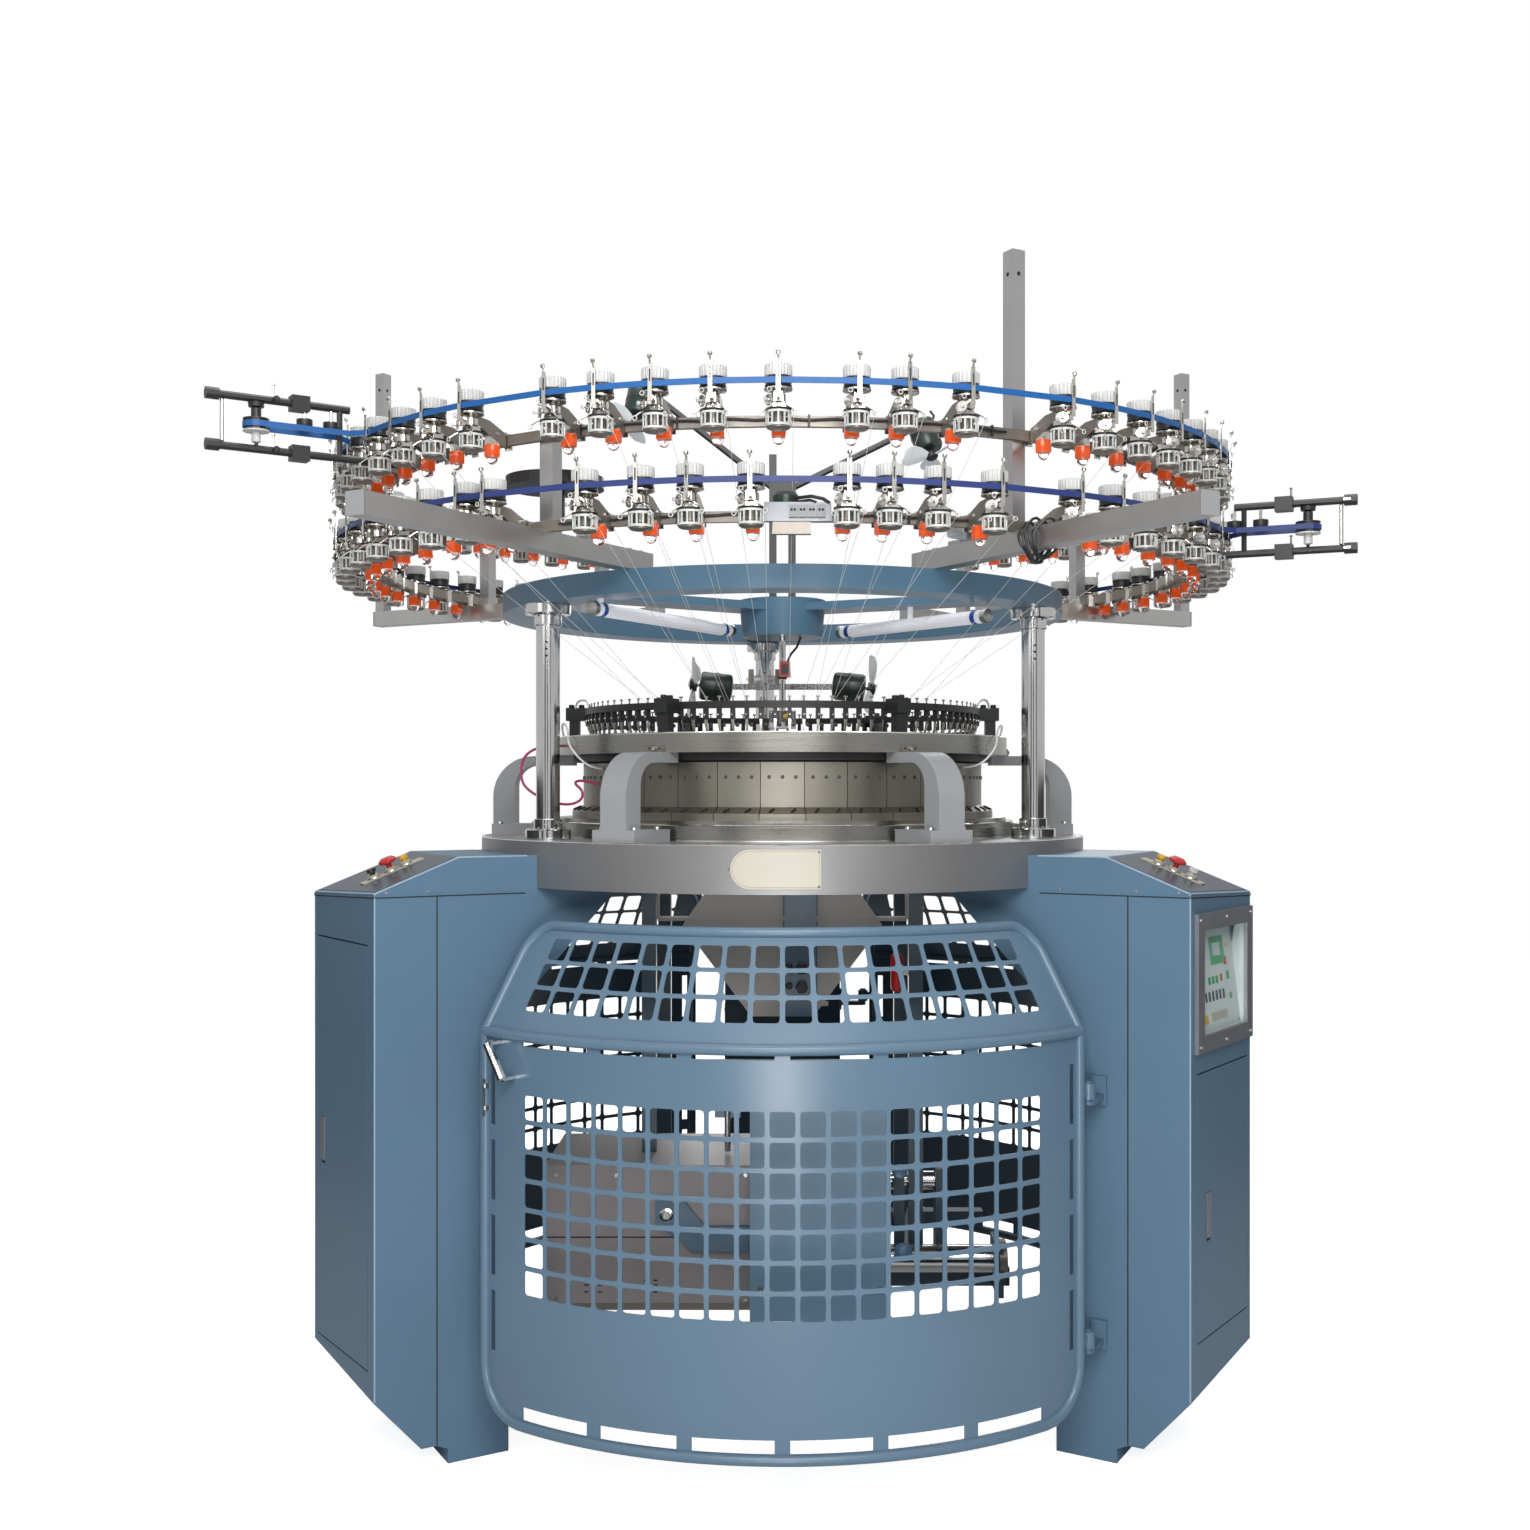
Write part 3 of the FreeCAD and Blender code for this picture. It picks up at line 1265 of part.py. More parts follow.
def guard_frame(turn):
    """The tube frame: one loop with rounded corners, and a cross tube where the hood begins."""
    radius, hood = float(s.guard_radius), float(s.hood_radius)
    half, low, middle, top = (float(v) for v in (s.guard_half_angle, s.guard_bottom, s.guard_middle, s.hood_top))
    tube, corner = float(s.guard_tube_radius), float(s.guard_corner)
    corner_turn = math.degrees(corner / radius)
    count = int((half - corner_turn) / turn)
    arc = [i * turn for i in range(count + 1)]
    points = [polar(radius, angle, low) for angle in arc]
    for part_turn in (0, 30, 60, 90):
        angle = math.radians(part_turn)
        back = corner_turn * (1 - math.sin(angle))
        points.append(polar(radius, half - back, low + corner * (1 - math.cos(angle))))
    points.append(polar(radius, half, middle))
    rise, run = top - middle, hood - radius
    hood_corner = 0.3
    points.append(polar(radius + run * (1 - hood_corner), half, middle + rise * (1 - hood_corner)))
    points.append(polar(hood - run * hood_corner * 0.25, half - 1.2, top - rise * hood_corner * 0.25))
    points += [polar(hood, angle, top) for angle in [half - 4.5] + arc[::-1] if angle <= half - 4.5]
    left = [Vector(-p.x, p.y, p.z) for p in points[:0:-1]]
    loop = left + points
    closed = loop[:-1]
    across = [-half] + [-angle for angle in arc[:0:-1]] + arc + [half]
    return bent_loop(closed, tube).fuse(bent_tube([polar(radius, angle, middle) for angle in across], tube))


def bent_loop(points, radius, sides=8):
    """A many-sided tube round a closed row of points, mitred at each."""
    count = len(points)
    runs = [(points[(i + 1) % count] - points[i]).normalize() for i in range(count)]
    sections = []
    for i, point in enumerate(points):
        before, after = runs[i - 1], runs[i]
        normal = (before + after).normalize()
        out = Vector(point.x, point.y, 0).normalize()
        side = before.cross(out).normalize()
        out = side.cross(before)
        ring = []
        for j in range(sides):
            angle = 2 * math.pi * (j + 0.5) / sides
            corner = point + out * (radius * math.cos(angle)) + side * (radius * math.sin(angle))
            ring.append(corner + before * (normal.dot(point - corner) / normal.dot(before)))
        sections.append(ring)
    faces = []
    for i in range(count):
        one, two = sections[i], sections[(i + 1) % count]
        for j in range(sides):
            k = (j + 1) % sides
            faces.append(flat((one[j], one[k], two[k])))
            faces.append(flat((one[j], two[k], two[j])))
    solid = Part.Solid(Part.Shell(faces))
    if solid.Volume < 0:
        solid.reverse()
    return solid


def grid_cutters(turn, columns, rows, first, step, bar_angle, bar_height, radius, reach):
    cutters = []
    for column in range(columns):
        angle = (column - (columns - 1) / 2) * turn
        for row in range(rows):
            low = first + row * step
            cutters.append(wedge(radius, turn / 2 - bar_angle, low, low + step - bar_height, angle, reach))
    return cutters


def add_guard(label):
    """A guard door: a bent tube frame, a perforated curved panel and a perforated sloping hood."""
    azimuth, columns, rows, hood_columns, hood_rows, side_slots = GUARDS[label]
    radius, half, hood = float(s.guard_radius), float(s.guard_half_angle), float(s.hood_radius)
    middle, low, top = float(s.guard_middle), float(s.guard_bottom), float(s.hood_top)
    tube, pitch, grid_bar = float(s.guard_tube_radius), float(s.grid_pitch), float(s.grid_bar)
    turn = math.degrees(GRID_COLUMNS * pitch / columns / radius)
    step = GRID_ROWS * pitch / rows
    bar_angle = math.degrees(grid_bar / 2 / radius)
    cutters = grid_cutters(turn, columns, rows, float(s.grid_bottom), step, bar_angle, grid_bar, radius, 60.0)
    for slot in range(SLOTS):
        angle = (slot - (SLOTS - 1) / 2) * SLOT_PITCH
        cutters.append(wedge(radius, SLOT_HALF_ANGLE, low + tube, low + tube + SLOT_HEIGHT, angle))
        cutters.append(wedge(radius, SLOT_HALF_ANGLE, middle - tube - TOP_SLOT, middle - tube, angle))
    corner_turn = math.degrees(float(s.guard_corner) / radius)
    for side in (-1, 1):
        cutters.append(wedge(radius, corner_turn * 0.45, low - 30, low + float(s.guard_corner) * 0.4, side * half))
        for level in side_slots:
            cutters.append(wedge(radius, SIDE_SLOT_HALF, level, level + SIDE_SLOT_HEIGHT, side * (half - 1.5)))
    panel = bent_sheet(radius, radius, low, middle, column_breaks(columns, turn, half))
    panel = panel.cut(Part.makeCompound(cutters))
    run = math.hypot(top - middle, radius - hood)
    rise = (top - middle) / run
    hood_turn = 2 * HOOD_GRID_HALF_ANGLE / hood_columns
    first = middle + HOOD_FIRST_ROW * run * rise
    hood_step = HOOD_GRID_ROWS * pitch / hood_rows * rise
    hood_bar = math.degrees(grid_bar / 2 / hood)
    cutters = grid_cutters(
        hood_turn, hood_columns, hood_rows, first, hood_step, hood_bar, grid_bar * rise, (radius + hood) / 2, 150.0
    )
    sheet = bent_sheet(radius, hood, middle, top, column_breaks(hood_columns, hood_turn, half - 0.2))
    sheet = sheet.cut(Part.makeCompound(cutters + hood_corner_cutters()))
    guard = guard_frame(turn).fuse([panel, sheet] + [hinge_eye(level) for level in HINGE_LEVELS])
    axis = hinge_axis()
    pin_hole = prism(12, loose_bore(float(s.hinge_pin_radius)), low, middle, axis)
    guard = guard.cut(pin_hole).removeSplitter()
    guard.rotate(Vector(0, 0, 0), Vector(0, 0, 1), azimuth)
    shape_node(guard, label)


def hood_corner_cutters():
    """The hood sheet's top corners, cut away outside the rounded tube."""
    half, hood, top = float(s.guard_half_angle), float(s.hood_radius), float(s.hood_top)
    return [wedge(hood, 2.2, top - 14, top + 20, side * half, 40.0) for side in (-1, 1)]


def hinge_eye(level):
    """An eye on the guard's right upright that turns on the hinge pin."""
    axis = hinge_axis()
    eye = bar(axis + Vector(0, 0, level - 16), axis + Vector(0, 0, level + 16), 14, 8)
    return eye.fuse(block_between(polar(s.guard_radius, s.guard_half_angle, level), axis + Vector(0, 0, level), 8, 10))


def block_between(start, end, half_width, half_height):
    """A flat bar between two points at one height."""
    along = (end - start).normalize()
    side = along.cross(Vector(0, 0, 1)) * half_width
    down = Vector(0, 0, -half_height)
    corners = [start - side + down, end - side + down, end + side + down, start + side + down]
    return Part.Face(Part.makePolygon(corners + corners[:1])).extrude(Vector(0, 0, 2 * half_height))


HOOD_FIRST_ROW = 0.22
HINGE_LEVELS = (770.0, 270.0)
HINGE_REACH = 30.0


def hinge_axis():
    """Where the guard's hinge pins stand in plan, just past the guard's right upright."""
    past = math.degrees(HINGE_REACH / float(s.guard_radius))
    return polar(s.guard_radius, s.guard_half_angle + past)


def add_guard_hinges():
    """Hinge lugs bolted on the legs: a foot, an arm below each eye, and the pin it holds."""
    axis = hinge_axis()
    lugs = []
    for azimuth, leg in ((0.0, 60.0), (120.0, 180.0), (-120.0, -60.0)):
        for level in HINGE_LEVELS:
            leg_turn = Rotation(Vector(0, 0, 1), -(60.0 - 90.0))
            local = leg_turn.multVec(Vector(axis.x, axis.y, 0))
            wall = -float(s.leg_half_width)
            arm = block(local.x - 12, local.x + 12, local.y, wall, level - 28, level - 16 - float(s.running_gap))
            foot = block(local.x - 16, local.x + 16, wall - 8, wall, level - 40, level + 20)
            pin = prism(12, float(s.hinge_pin_radius), level - 28, level + 20, local)
            lug = arm.fuse(foot).fuse(pin)
            lug.rotate(Vector(0, 0, 0), Vector(0, 0, 1), leg - 90.0)
            lugs.append(lug)
    shape_node(Part.makeCompound(lugs), "guard_hinges")


HANDLE_ENDS = ((-39.5, 877.0), (-36.8, 812.0))
HANDLE_GAP, HANDLE_RADIUS, STAND_OFF_RADIUS = 34.0, 9.0, 6.0


def add_guard_handle():
    """The bar handle that slants across the front guard's upper left corner, on two stand-offs."""
    radius = float(s.guard_radius)
    ends = [polar(radius + HANDLE_GAP, azimuth, level) for azimuth, level in HANDLE_ENDS]
    handle = bar(*ends, HANDLE_RADIUS, 8)
    for end, (azimuth, level) in zip(ends, HANDLE_ENDS):
        handle = handle.fuse(bar(polar(radius, azimuth, level), end, STAND_OFF_RADIUS))
    shape_node(handle, "guard_handle")


# ---- take-down ---------------------------------------------------------------------------------

PANEL_LEFT, PANEL_RIGHT, PANEL_TOP = -68.0, 225.0, 800.0
BAR_DEPTH = 240.0
BAR_LEFT, BAR_RIGHT = -520.0, 510.0
POST_REACH, POST_HALF = 300.0, 16.0
DRAW_DEPTH, DRAW_HEIGHT, DRAW_END = -200.0, 485.0, 361.0
CLOTH_DEPTH, CLOTH_HEIGHT, CLOTH_END = -310.0, 339.0, 485.0
BOX_LEFT, BOX_RIGHT, BOX_BACK, BOX_FRONT, BOX_LOW, BOX_TOP = -515.0, -52.0, -60.0, -380.0, 247.0, 561.0
JOURNAL = 9.0
ARM_THICKNESS = 14.0


def journal_bore(x1, x2, y, z):
    return bar(Vector(x1, y, z), Vector(x2, y, z), loose_bore(JOURNAL), 12)


def add_take_down_frame():
    """The turning take-down frame, hung from the cylinder: ring, posts, base bars, front panel and end arms."""
    hang = float(s.cylinder_bottom)
    side = float(s.base_bar_side)
    base = float(s.base_bar_bottom)
    front = -float(s.panel_front)
    inner = float(s.cylinder_radius - s.cylinder_wall)
    pieces = [flat_ring(inner - 40, float(s.bed_bore) - 6, hang - RING_THICKNESS, hang, 24)]
    depth = BAR_DEPTH
    for x in (-POST_REACH, POST_REACH):
        pieces.append(block(x - side / 2, x + side / 2, -depth, depth, base, base + side))
        for y in (-depth, depth):
            pieces.append(block(x - POST_HALF, x + POST_HALF, y - POST_HALF, y + POST_HALF, base, hang - RING_THICKNESS))
    for y in (-depth, depth):
        pieces.append(block(BAR_LEFT, BAR_RIGHT, y - side / 2, y + side / 2, base, base + side))
    pieces.append(block(PANEL_LEFT, PANEL_RIGHT, front, front + 14, base, PANEL_TOP))
    for x in (PANEL_LEFT + 40, PANEL_RIGHT - 30):
        for low, high in ((base, base + side), (PANEL_TOP - 70, PANEL_TOP - 40)):
            pieces.append(block(x - 12, x + 12, front + 5, -depth + POST_HALF, low, high))
    pieces.append(block(
        -POST_REACH, POST_REACH, -depth - POST_HALF, -depth + POST_HALF, PANEL_TOP - 75, PANEL_TOP - 35
    ))
    for end, y, z in ((DRAW_END, DRAW_DEPTH, DRAW_HEIGHT), (CLOTH_END, CLOTH_DEPTH, CLOTH_HEIGHT)):
        back = max(y + 34, -depth + side / 2)
        pieces.append(block(end - ARM_THICKNESS, end, y - 38, back, base, z + 34))
    shape = pieces[0].fuse(pieces[1:])
    for end, y, z in ((DRAW_END, DRAW_DEPTH, DRAW_HEIGHT), (CLOTH_END, CLOTH_DEPTH, CLOTH_HEIGHT)):
        shape = shape.cut(journal_bore(end - 30, end + 20, y, z))
    shape_node(shape.removeSplitter(), "take_down_frame")


RING_THICKNESS = 16.0


def add_take_down_box():
    """The sheet box with the roller drive: its back stands on the base bars, its front hangs before them."""
    bar_top = float(s.base_bar_bottom + s.base_bar_side)
    bar_front = -BAR_DEPTH - float(s.base_bar_side) / 2 - float(s.running_gap)
    outline = (
        (BOX_FRONT, BOX_LOW), (bar_front, BOX_LOW), (bar_front, bar_top),
        (BOX_BACK, bar_top), (BOX_BACK, BOX_TOP), (BOX_FRONT, BOX_TOP),
    )
    box = outline_plate(outline, BOX_RIGHT - BOX_LEFT, "YZ")
    box.translate(Vector((BOX_LEFT + BOX_RIGHT) / 2, 0, 0))
    for y, z in ((DRAW_DEPTH, DRAW_HEIGHT), (CLOTH_DEPTH, CLOTH_HEIGHT)):
        box = box.cut(journal_bore(BOX_RIGHT - 30, BOX_RIGHT + 20, y, z))
    half = POST_HALF + float(s.running_gap)
    well = block(
        -POST_REACH - half, -POST_REACH + half, -BAR_DEPTH - half, -BAR_DEPTH + half, bar_top - 5, BOX_TOP + 5
    )
    shape_node(box.cut(well), "take_down_box")


def add_roller(label, end, y, z, radius):
    """A bright roller across the take-down, on a journal at each end."""
    gap = 1.0
    barrel = rod(Vector(BOX_RIGHT + gap, y, z), Vector(end - ARM_THICKNESS - gap, y, z), float(radius))
    journal = bar(Vector(BOX_RIGHT - 25, y, z), Vector(end + 8, y, z), JOURNAL, 12)
    shape_node(barrel.fuse(journal), label)


SPREADER = ((-170, 1150), (170, 1150), (240, 1050), (75, 830), (-75, 830), (-240, 1050))
SPREADER_SLOT = (2.0, 84.0)
# height, left end and right end of each rod across the wings
SPREADER_RODS = ((1130.0, -230.0, 150.0), (1065.0, -300.0, 300.0), (860.0, -90.0, 110.0))
# reach and lower end of each rod that hangs the wings
SPREADER_HANGERS = ((-120.0, 1140.0), (130.0, 1140.0), (-300.0, 1065.0), (300.0, 1065.0))
SPREADER_ROD_RADIUS, SPREADER_BAR = 6.0, (400.0, 12.0, 24.0)


def add_fabric_spreader():
    """The spreader that flattens the fabric tube: two sheet wings on rods, hung from the frame ring."""
    plate = outline_plate(SPREADER, 8.0, "XZ")
    wings = plate.cut(block(*SPREADER_SLOT, -20, 20, SPREADER[3][1] - 30, SPREADER[0][1] + 20))
    for height, left, right in SPREADER_RODS:
        wings = wings.fuse(bar(Vector(left, 0, height), Vector(right, 0, height), SPREADER_ROD_RADIUS))
    top = float(s.cylinder_bottom) - RING_THICKNESS
    for x, low in SPREADER_HANGERS:
        wings = wings.fuse(bar(Vector(x, 0, low), Vector(x, 0, top - 5), SPREADER_ROD_RADIUS))
    reach, half, height = SPREADER_BAR
    wings = wings.fuse(block(-reach, reach, -half, half, top - height, top))
    shape_node(wings.removeSplitter(), "fabric_spreader")


# ---- build -------------------------------------------------------------------------------------

for side in ("right", "left", "rear"):
    add_leg(side)
for side in ("right", "left"):
    add_cabinet(side)
    add_cabinet_door(side)
    add_door_latch(side)
    for name, reach in BUTTONS.items():
        add_button(side, name, reach)
add_consoles()
add_control_window()
add_bed_plate()
add_gear_cover()
add_cylinder()
add_cam_ring()
add_head_rings()
add_arch_brackets()
add_guide_ring()
add_columns()
add_top_ring()
add_lamps()
add_centre_pole()
shape_node(add_fan_mast(), "fan_mast")
add_fans()
add_creel_arms()
add_creel_posts()
for tier in TIERS:
    add_tier(tier)
    add_tensioner(tier)
shape_node(Part.makeCompound(beams), "tier_beams")
add_belt_drives()
for label in GUARDS:
    add_guard(label)
add_guard_hinges()
add_guard_handle()
add_take_down_frame()
add_take_down_box()
add_roller("draw_roller", DRAW_END, DRAW_DEPTH, DRAW_HEIGHT, s.roller_radius)
add_roller("cloth_roller", CLOTH_END, CLOTH_DEPTH, CLOTH_HEIGHT, s.cloth_roller_radius)
add_fabric_spreader()

doc.recompute()
for thing in doc.Objects:
    if "Invalid" in thing.State or "Error" in thing.State:
        raise RuntimeError(f"{thing.Name} did not build: {thing.State}")
os.makedirs("parts", exist_ok=True)
for node in nodes:
    shape = node.Shape
    if shape.isNull() or not shape.isValid() or not shape.Solids:
        raise RuntimeError(f"{node.Label} has no valid shape")
    shape.exportStep(os.path.join("parts", f"{node.Label}.step"))
print(len(nodes), "nodes")
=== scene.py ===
import math

import bmesh
import bpy
from bpy.props import FloatProperty, FloatVectorProperty, IntProperty, PointerProperty
from mathutils import Matrix, Vector


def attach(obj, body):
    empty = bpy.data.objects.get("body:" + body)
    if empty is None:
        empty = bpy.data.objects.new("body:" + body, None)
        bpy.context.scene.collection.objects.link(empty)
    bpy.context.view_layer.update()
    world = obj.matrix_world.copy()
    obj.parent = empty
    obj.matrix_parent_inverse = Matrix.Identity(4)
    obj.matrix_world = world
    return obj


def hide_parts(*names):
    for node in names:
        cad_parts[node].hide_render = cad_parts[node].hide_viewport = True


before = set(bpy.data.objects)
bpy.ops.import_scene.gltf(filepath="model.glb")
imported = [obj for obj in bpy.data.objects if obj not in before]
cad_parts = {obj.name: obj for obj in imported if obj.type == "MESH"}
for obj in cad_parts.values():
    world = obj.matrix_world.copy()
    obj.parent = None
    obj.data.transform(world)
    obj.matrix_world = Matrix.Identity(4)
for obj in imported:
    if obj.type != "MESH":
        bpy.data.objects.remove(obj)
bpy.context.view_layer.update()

bl_info = {
    "name": "Circular Knitting Machine",
    "version": (1, 0, 0),
    "blender": (4, 5, 0),
    "location": "View3D > Sidebar > Knitting Machine",
    "description": "Finishes and fine pieces of a circular knitting machine over its packed model",
    "category": "Object",
}

MM = 0.001
FACE_STEP = 1.6  # degrees between the cut lines of a bent sheet
UP = Vector((0, 0, 1))
FRONT, UPWARD = (0, -1, 0), (0, 0, 1)  # the ways that most screws face


# ---- sizes and colours that a user would change ----------------------------------------------------


def length(label, description, metres):
    """A size that a user can set, in metres."""
    return FloatProperty(
        name=label, description=description, default=metres, unit="LENGTH", subtype="DISTANCE",
    )


def colour(label, description, value):
    """A colour that a user can set."""
    return FloatVectorProperty(
        name=label, description=description, default=value, subtype="COLOR", min=0, max=1,
    )


class MachineSizes(bpy.types.PropertyGroup):
    """Sizes of the fine pieces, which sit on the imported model."""

    guard_radius: length("Guard radius", "From the machine's axis to the guards' outer face", 0.880)
    grid_pitch: length("Grid pitch", "From one opening of the guard grid to the next", 0.0572)
    grid_bar: length("Grid bar", "Width of the bars between the guard's openings", 0.009)
    feeder_circle: length("Feeder circle", "From the machine's axis to the feeders' spindles", 1.015)
    yarn_diameter: length("Yarn diameter", "Thickness of a drawn yarn", 0.0009)
    guide_count: IntProperty(
        name="Yarn guides", description="Guides round the black guide ring", default=96, min=12,
    )


class MachineColours(bpy.types.PropertyGroup):
    """Colours of the painted and moulded finishes."""

    frame_paint: colour("Frame paint", "Blue-grey of the legs and cabinets", (0.102, 0.182, 0.266))
    guard_paint: colour("Guard paint", "Blue-grey of the guards", (0.112, 0.190, 0.268))
    ring_paint: colour("Ring paint", "Steel blue of the top ring", (0.095, 0.200, 0.300))
    cast_paint: colour("Arch paint", "Pale grey of the cast arches", (0.330, 0.340, 0.350))
    upper_belt: colour("Upper belt", "Blue of the upper feeder belt", (0.008, 0.105, 0.340))
    lower_belt: colour("Lower belt", "Navy of the lower feeder belt", (0.018, 0.036, 0.165))


def sizes():
    """The sizes as set in the scene."""
    return bpy.context.scene.machine_sizes


def colours():
    """The colours as set in the scene."""
    return bpy.context.scene.machine_colours


# ---- surface effects shared by the finishes --------------------------------------------------------


def effect(name, inputs, outputs):
    """A new node group with its sockets; returns its tree, input node and output node."""
    tree = bpy.data.node_groups.new(name, "ShaderNodeTree")
    for label, value in inputs:
        socket = tree.interface.new_socket(label, in_out="INPUT", socket_type="NodeSocketFloat")
        socket.default_value = value
    for label in outputs:
        tree.interface.new_socket(label, in_out="OUTPUT", socket_type="NodeSocketFloat")
    return tree, tree.nodes.new("NodeGroupInput"), tree.nodes.new("NodeGroupOutput")


def noise(tree, source, scale, detail=2.0):
    """A noise pattern; its scale is a number or a socket."""
    node = tree.nodes.new("ShaderNodeTexNoise")
    node.inputs["Detail"].default_value = detail
    tree.links.new(source, node.inputs["Vector"])
    if isinstance(scale, (int, float)):
        node.inputs["Scale"].default_value = scale
    else:
        tree.links.new(scale, node.inputs["Scale"])
    return node.outputs[0]


def maths(tree, operation, first, second):
    """A calculation on two sockets or numbers; returns its result."""
    node = tree.nodes.new("ShaderNodeMath")
    node.operation = operation
    for socket, value in zip(node.inputs, (first, second)):
        if isinstance(value, (int, float)):
            socket.default_value = value
        else:
            tree.links.new(value, socket)
    return node.outputs[0]


def vector_of(tree, operation, first, second=None):
    """A calculation on vectors; returns the node's outputs."""
    node = tree.nodes.new("ShaderNodeVectorMath")
    node.operation = operation
    tree.links.new(first, node.inputs[0])
    if isinstance(second, tuple):
        node.inputs[1].default_value = second
    elif second:
        tree.links.new(second, node.inputs[1])
    return node.outputs


def object_place(tree):
    """The point being shaded, in the object's own frame."""
    return tree.nodes.new("ShaderNodeTexCoord").outputs["Object"]


def surface_normal(tree):
    """The way the surface faces."""
    return tree.nodes.new("ShaderNodeNewGeometry").outputs["Normal"]


def split(tree, vector):
    """The three numbers of a vector."""
    node = tree.nodes.new("ShaderNodeSeparateXYZ")
    tree.links.new(vector, node.inputs[0])
    return node.outputs


def join(tree, numbers):
    """A vector of three numbers."""
    node = tree.nodes.new("ShaderNodeCombineXYZ")
    for number, socket in zip(numbers, node.inputs):
        tree.links.new(number, socket)
    return node.outputs[0]


def paint_texture():
    """Fine peel of a sprayed coat, and the slow change of shade over a large panel."""
    tree, given, result = effect("Paint texture", [("Peel scale", 300.0)], ["Peel", "Shade"])
    place = object_place(tree)
    tree.links.new(noise(tree, place, given.outputs["Peel scale"]), result.inputs["Peel"])
    tree.links.new(noise(tree, place, 3.0, 4.0), result.inputs["Shade"])
    return tree


def lathe_lines():
    """Fine turning marks round the machine's axis."""
    tree, given, result = effect("Lathe lines", [("Line scale", 900.0)], ["Lines", "Shade"])
    place = object_place(tree)
    x, y, z = split(tree, place)
    squares = maths(tree, "ADD", maths(tree, "POWER", x, 2.0), maths(tree, "POWER", y, 2.0))
    reach = maths(tree, "SQRT", squares, 0.0)
    turn = maths(tree, "MULTIPLY", maths(tree, "ARCTAN2", y, x), 0.004)
    lines = noise(tree, join(tree, (reach, z, turn)), given.outputs["Line scale"], 3.0)
    tree.links.new(lines, result.inputs["Lines"])
    tree.links.new(noise(tree, place, 6.0, 3.0), result.inputs["Shade"])
    return tree


def brushed_lines():
    """Long fine scratches, drawn out along each axis by its own stretch."""
    names = [("Across X", 400.0), ("Across Y", 400.0), ("Along Z", 8.0)]
    tree, given, result = effect("Brushed lines", names, ["Lines", "Shade"])
    place = object_place(tree)
    stretched = [maths(tree, "MULTIPLY", number, given.outputs[label])
                 for number, (label, _) in zip(split(tree, place), names)]
    tree.links.new(noise(tree, join(tree, stretched), 1.0, 3.0), result.inputs["Lines"])
    tree.links.new(noise(tree, place, 9.0, 3.0), result.inputs["Shade"])
    return tree


def lint_and_top_shade_effect():
    """A mask on faces that look up, in uneven patches: where yarn fluff settles, and with a dark colour a
    painted shade on the tops.
    """
    tree, given, result = effect("Settled lint", [("Amount", 0.3)], ["Mask"])
    upright = split(tree, surface_normal(tree))[2]
    upward = maths(tree, "MAXIMUM", maths(tree, "SUBTRACT", upright, 0.35), 0.0)
    patches = maths(tree, "MULTIPLY", upward, noise(tree, object_place(tree), 14.0, 4.0))
    tree.links.new(maths(tree, "MULTIPLY", patches, given.outputs["Amount"]), result.inputs["Mask"])
    return tree


def inner_shade():
    """A painted shade: a mask on faces that look in at the machine's axis, which darkens them where the inside
    is unlit.
    """
    tree, given, result = effect("Inner shade", [("Amount", 0.9)], ["Mask"])
    flat = vector_of(tree, "MULTIPLY", object_place(tree), (-1.0, -1.0, 0.0))[0]
    inward = vector_of(tree, "NORMALIZE", flat)[0]
    ramp = tree.nodes.new("ShaderNodeMapRange")
    ramp.interpolation_type = "SMOOTHSTEP"
    ramp.inputs["From Min"].default_value = 0.35
    ramp.inputs["From Max"].default_value = 0.75
    facing_in = vector_of(tree, "DOT_PRODUCT", inward, surface_normal(tree))["Value"]
    tree.links.new(facing_in, ramp.inputs["Value"])
    tree.links.new(maths(tree, "MULTIPLY", ramp.outputs[0], given.outputs["Amount"]), result.inputs["Mask"])
    return tree


EFFECTS = {}
FINISHES = {}


class Finish:
    """A material under way: its Principled shader and the effects that feed it."""

    def __init__(self, name):
        self.material = bpy.data.materials.new(name)
        self.material.use_nodes = True
        self.tree = self.material.node_tree
        self.shader = self.tree.nodes["Principled BSDF"]
        FINISHES[name] = self.material

    def effect(self, name, **values):
        """A shared effect with its own settings."""
        node = self.tree.nodes.new("ShaderNodeGroup")
        node.node_tree = EFFECTS[name]
        for label, value in values.items():
            node.inputs[label.replace("_", " ")].default_value = value
        return node

    def set(self, **values):
        """Sets inputs of the shader by name."""
        for label, value in values.items():
            self.shader.inputs[label.replace("_", " ")].default_value = value
        return self

    def mix(self, factor, first, second):
        """Two colours mixed by a mask; returns the colour socket."""
        node = self.tree.nodes.new("ShaderNodeMix")
        node.data_type = "RGBA"
        self.tree.links.new(factor, node.inputs[0])
        for socket, value in ((node.inputs[6], first), (node.inputs[7], second)):
            if isinstance(value, bpy.types.NodeSocket):
                self.tree.links.new(value, socket)
            else:
                socket.default_value = (*value, 1.0)
        return node.outputs[2]

    def spread(self, source, low, high):
        """A mask from 0 to 1 spread from low to high."""
        node = self.tree.nodes.new("ShaderNodeMapRange")
        node.inputs["To Min"].default_value = low
        node.inputs["To Max"].default_value = high
        self.tree.links.new(source, node.inputs[0])
        return node.outputs[0]

    def feed(self, source, name):
        """Links a socket to an input of the shader."""
        self.tree.links.new(source, self.shader.inputs[name])

    def bump(self, height, strength, distance):
        """Raises the surface by a pattern."""
        node = self.tree.nodes.new("ShaderNodeBump")
        node.inputs["Strength"].default_value = strength
        node.inputs["Distance"].default_value = distance
        self.tree.links.new(height, node.inputs["Height"])
        self.tree.links.new(node.outputs[0], self.shader.inputs["Normal"])


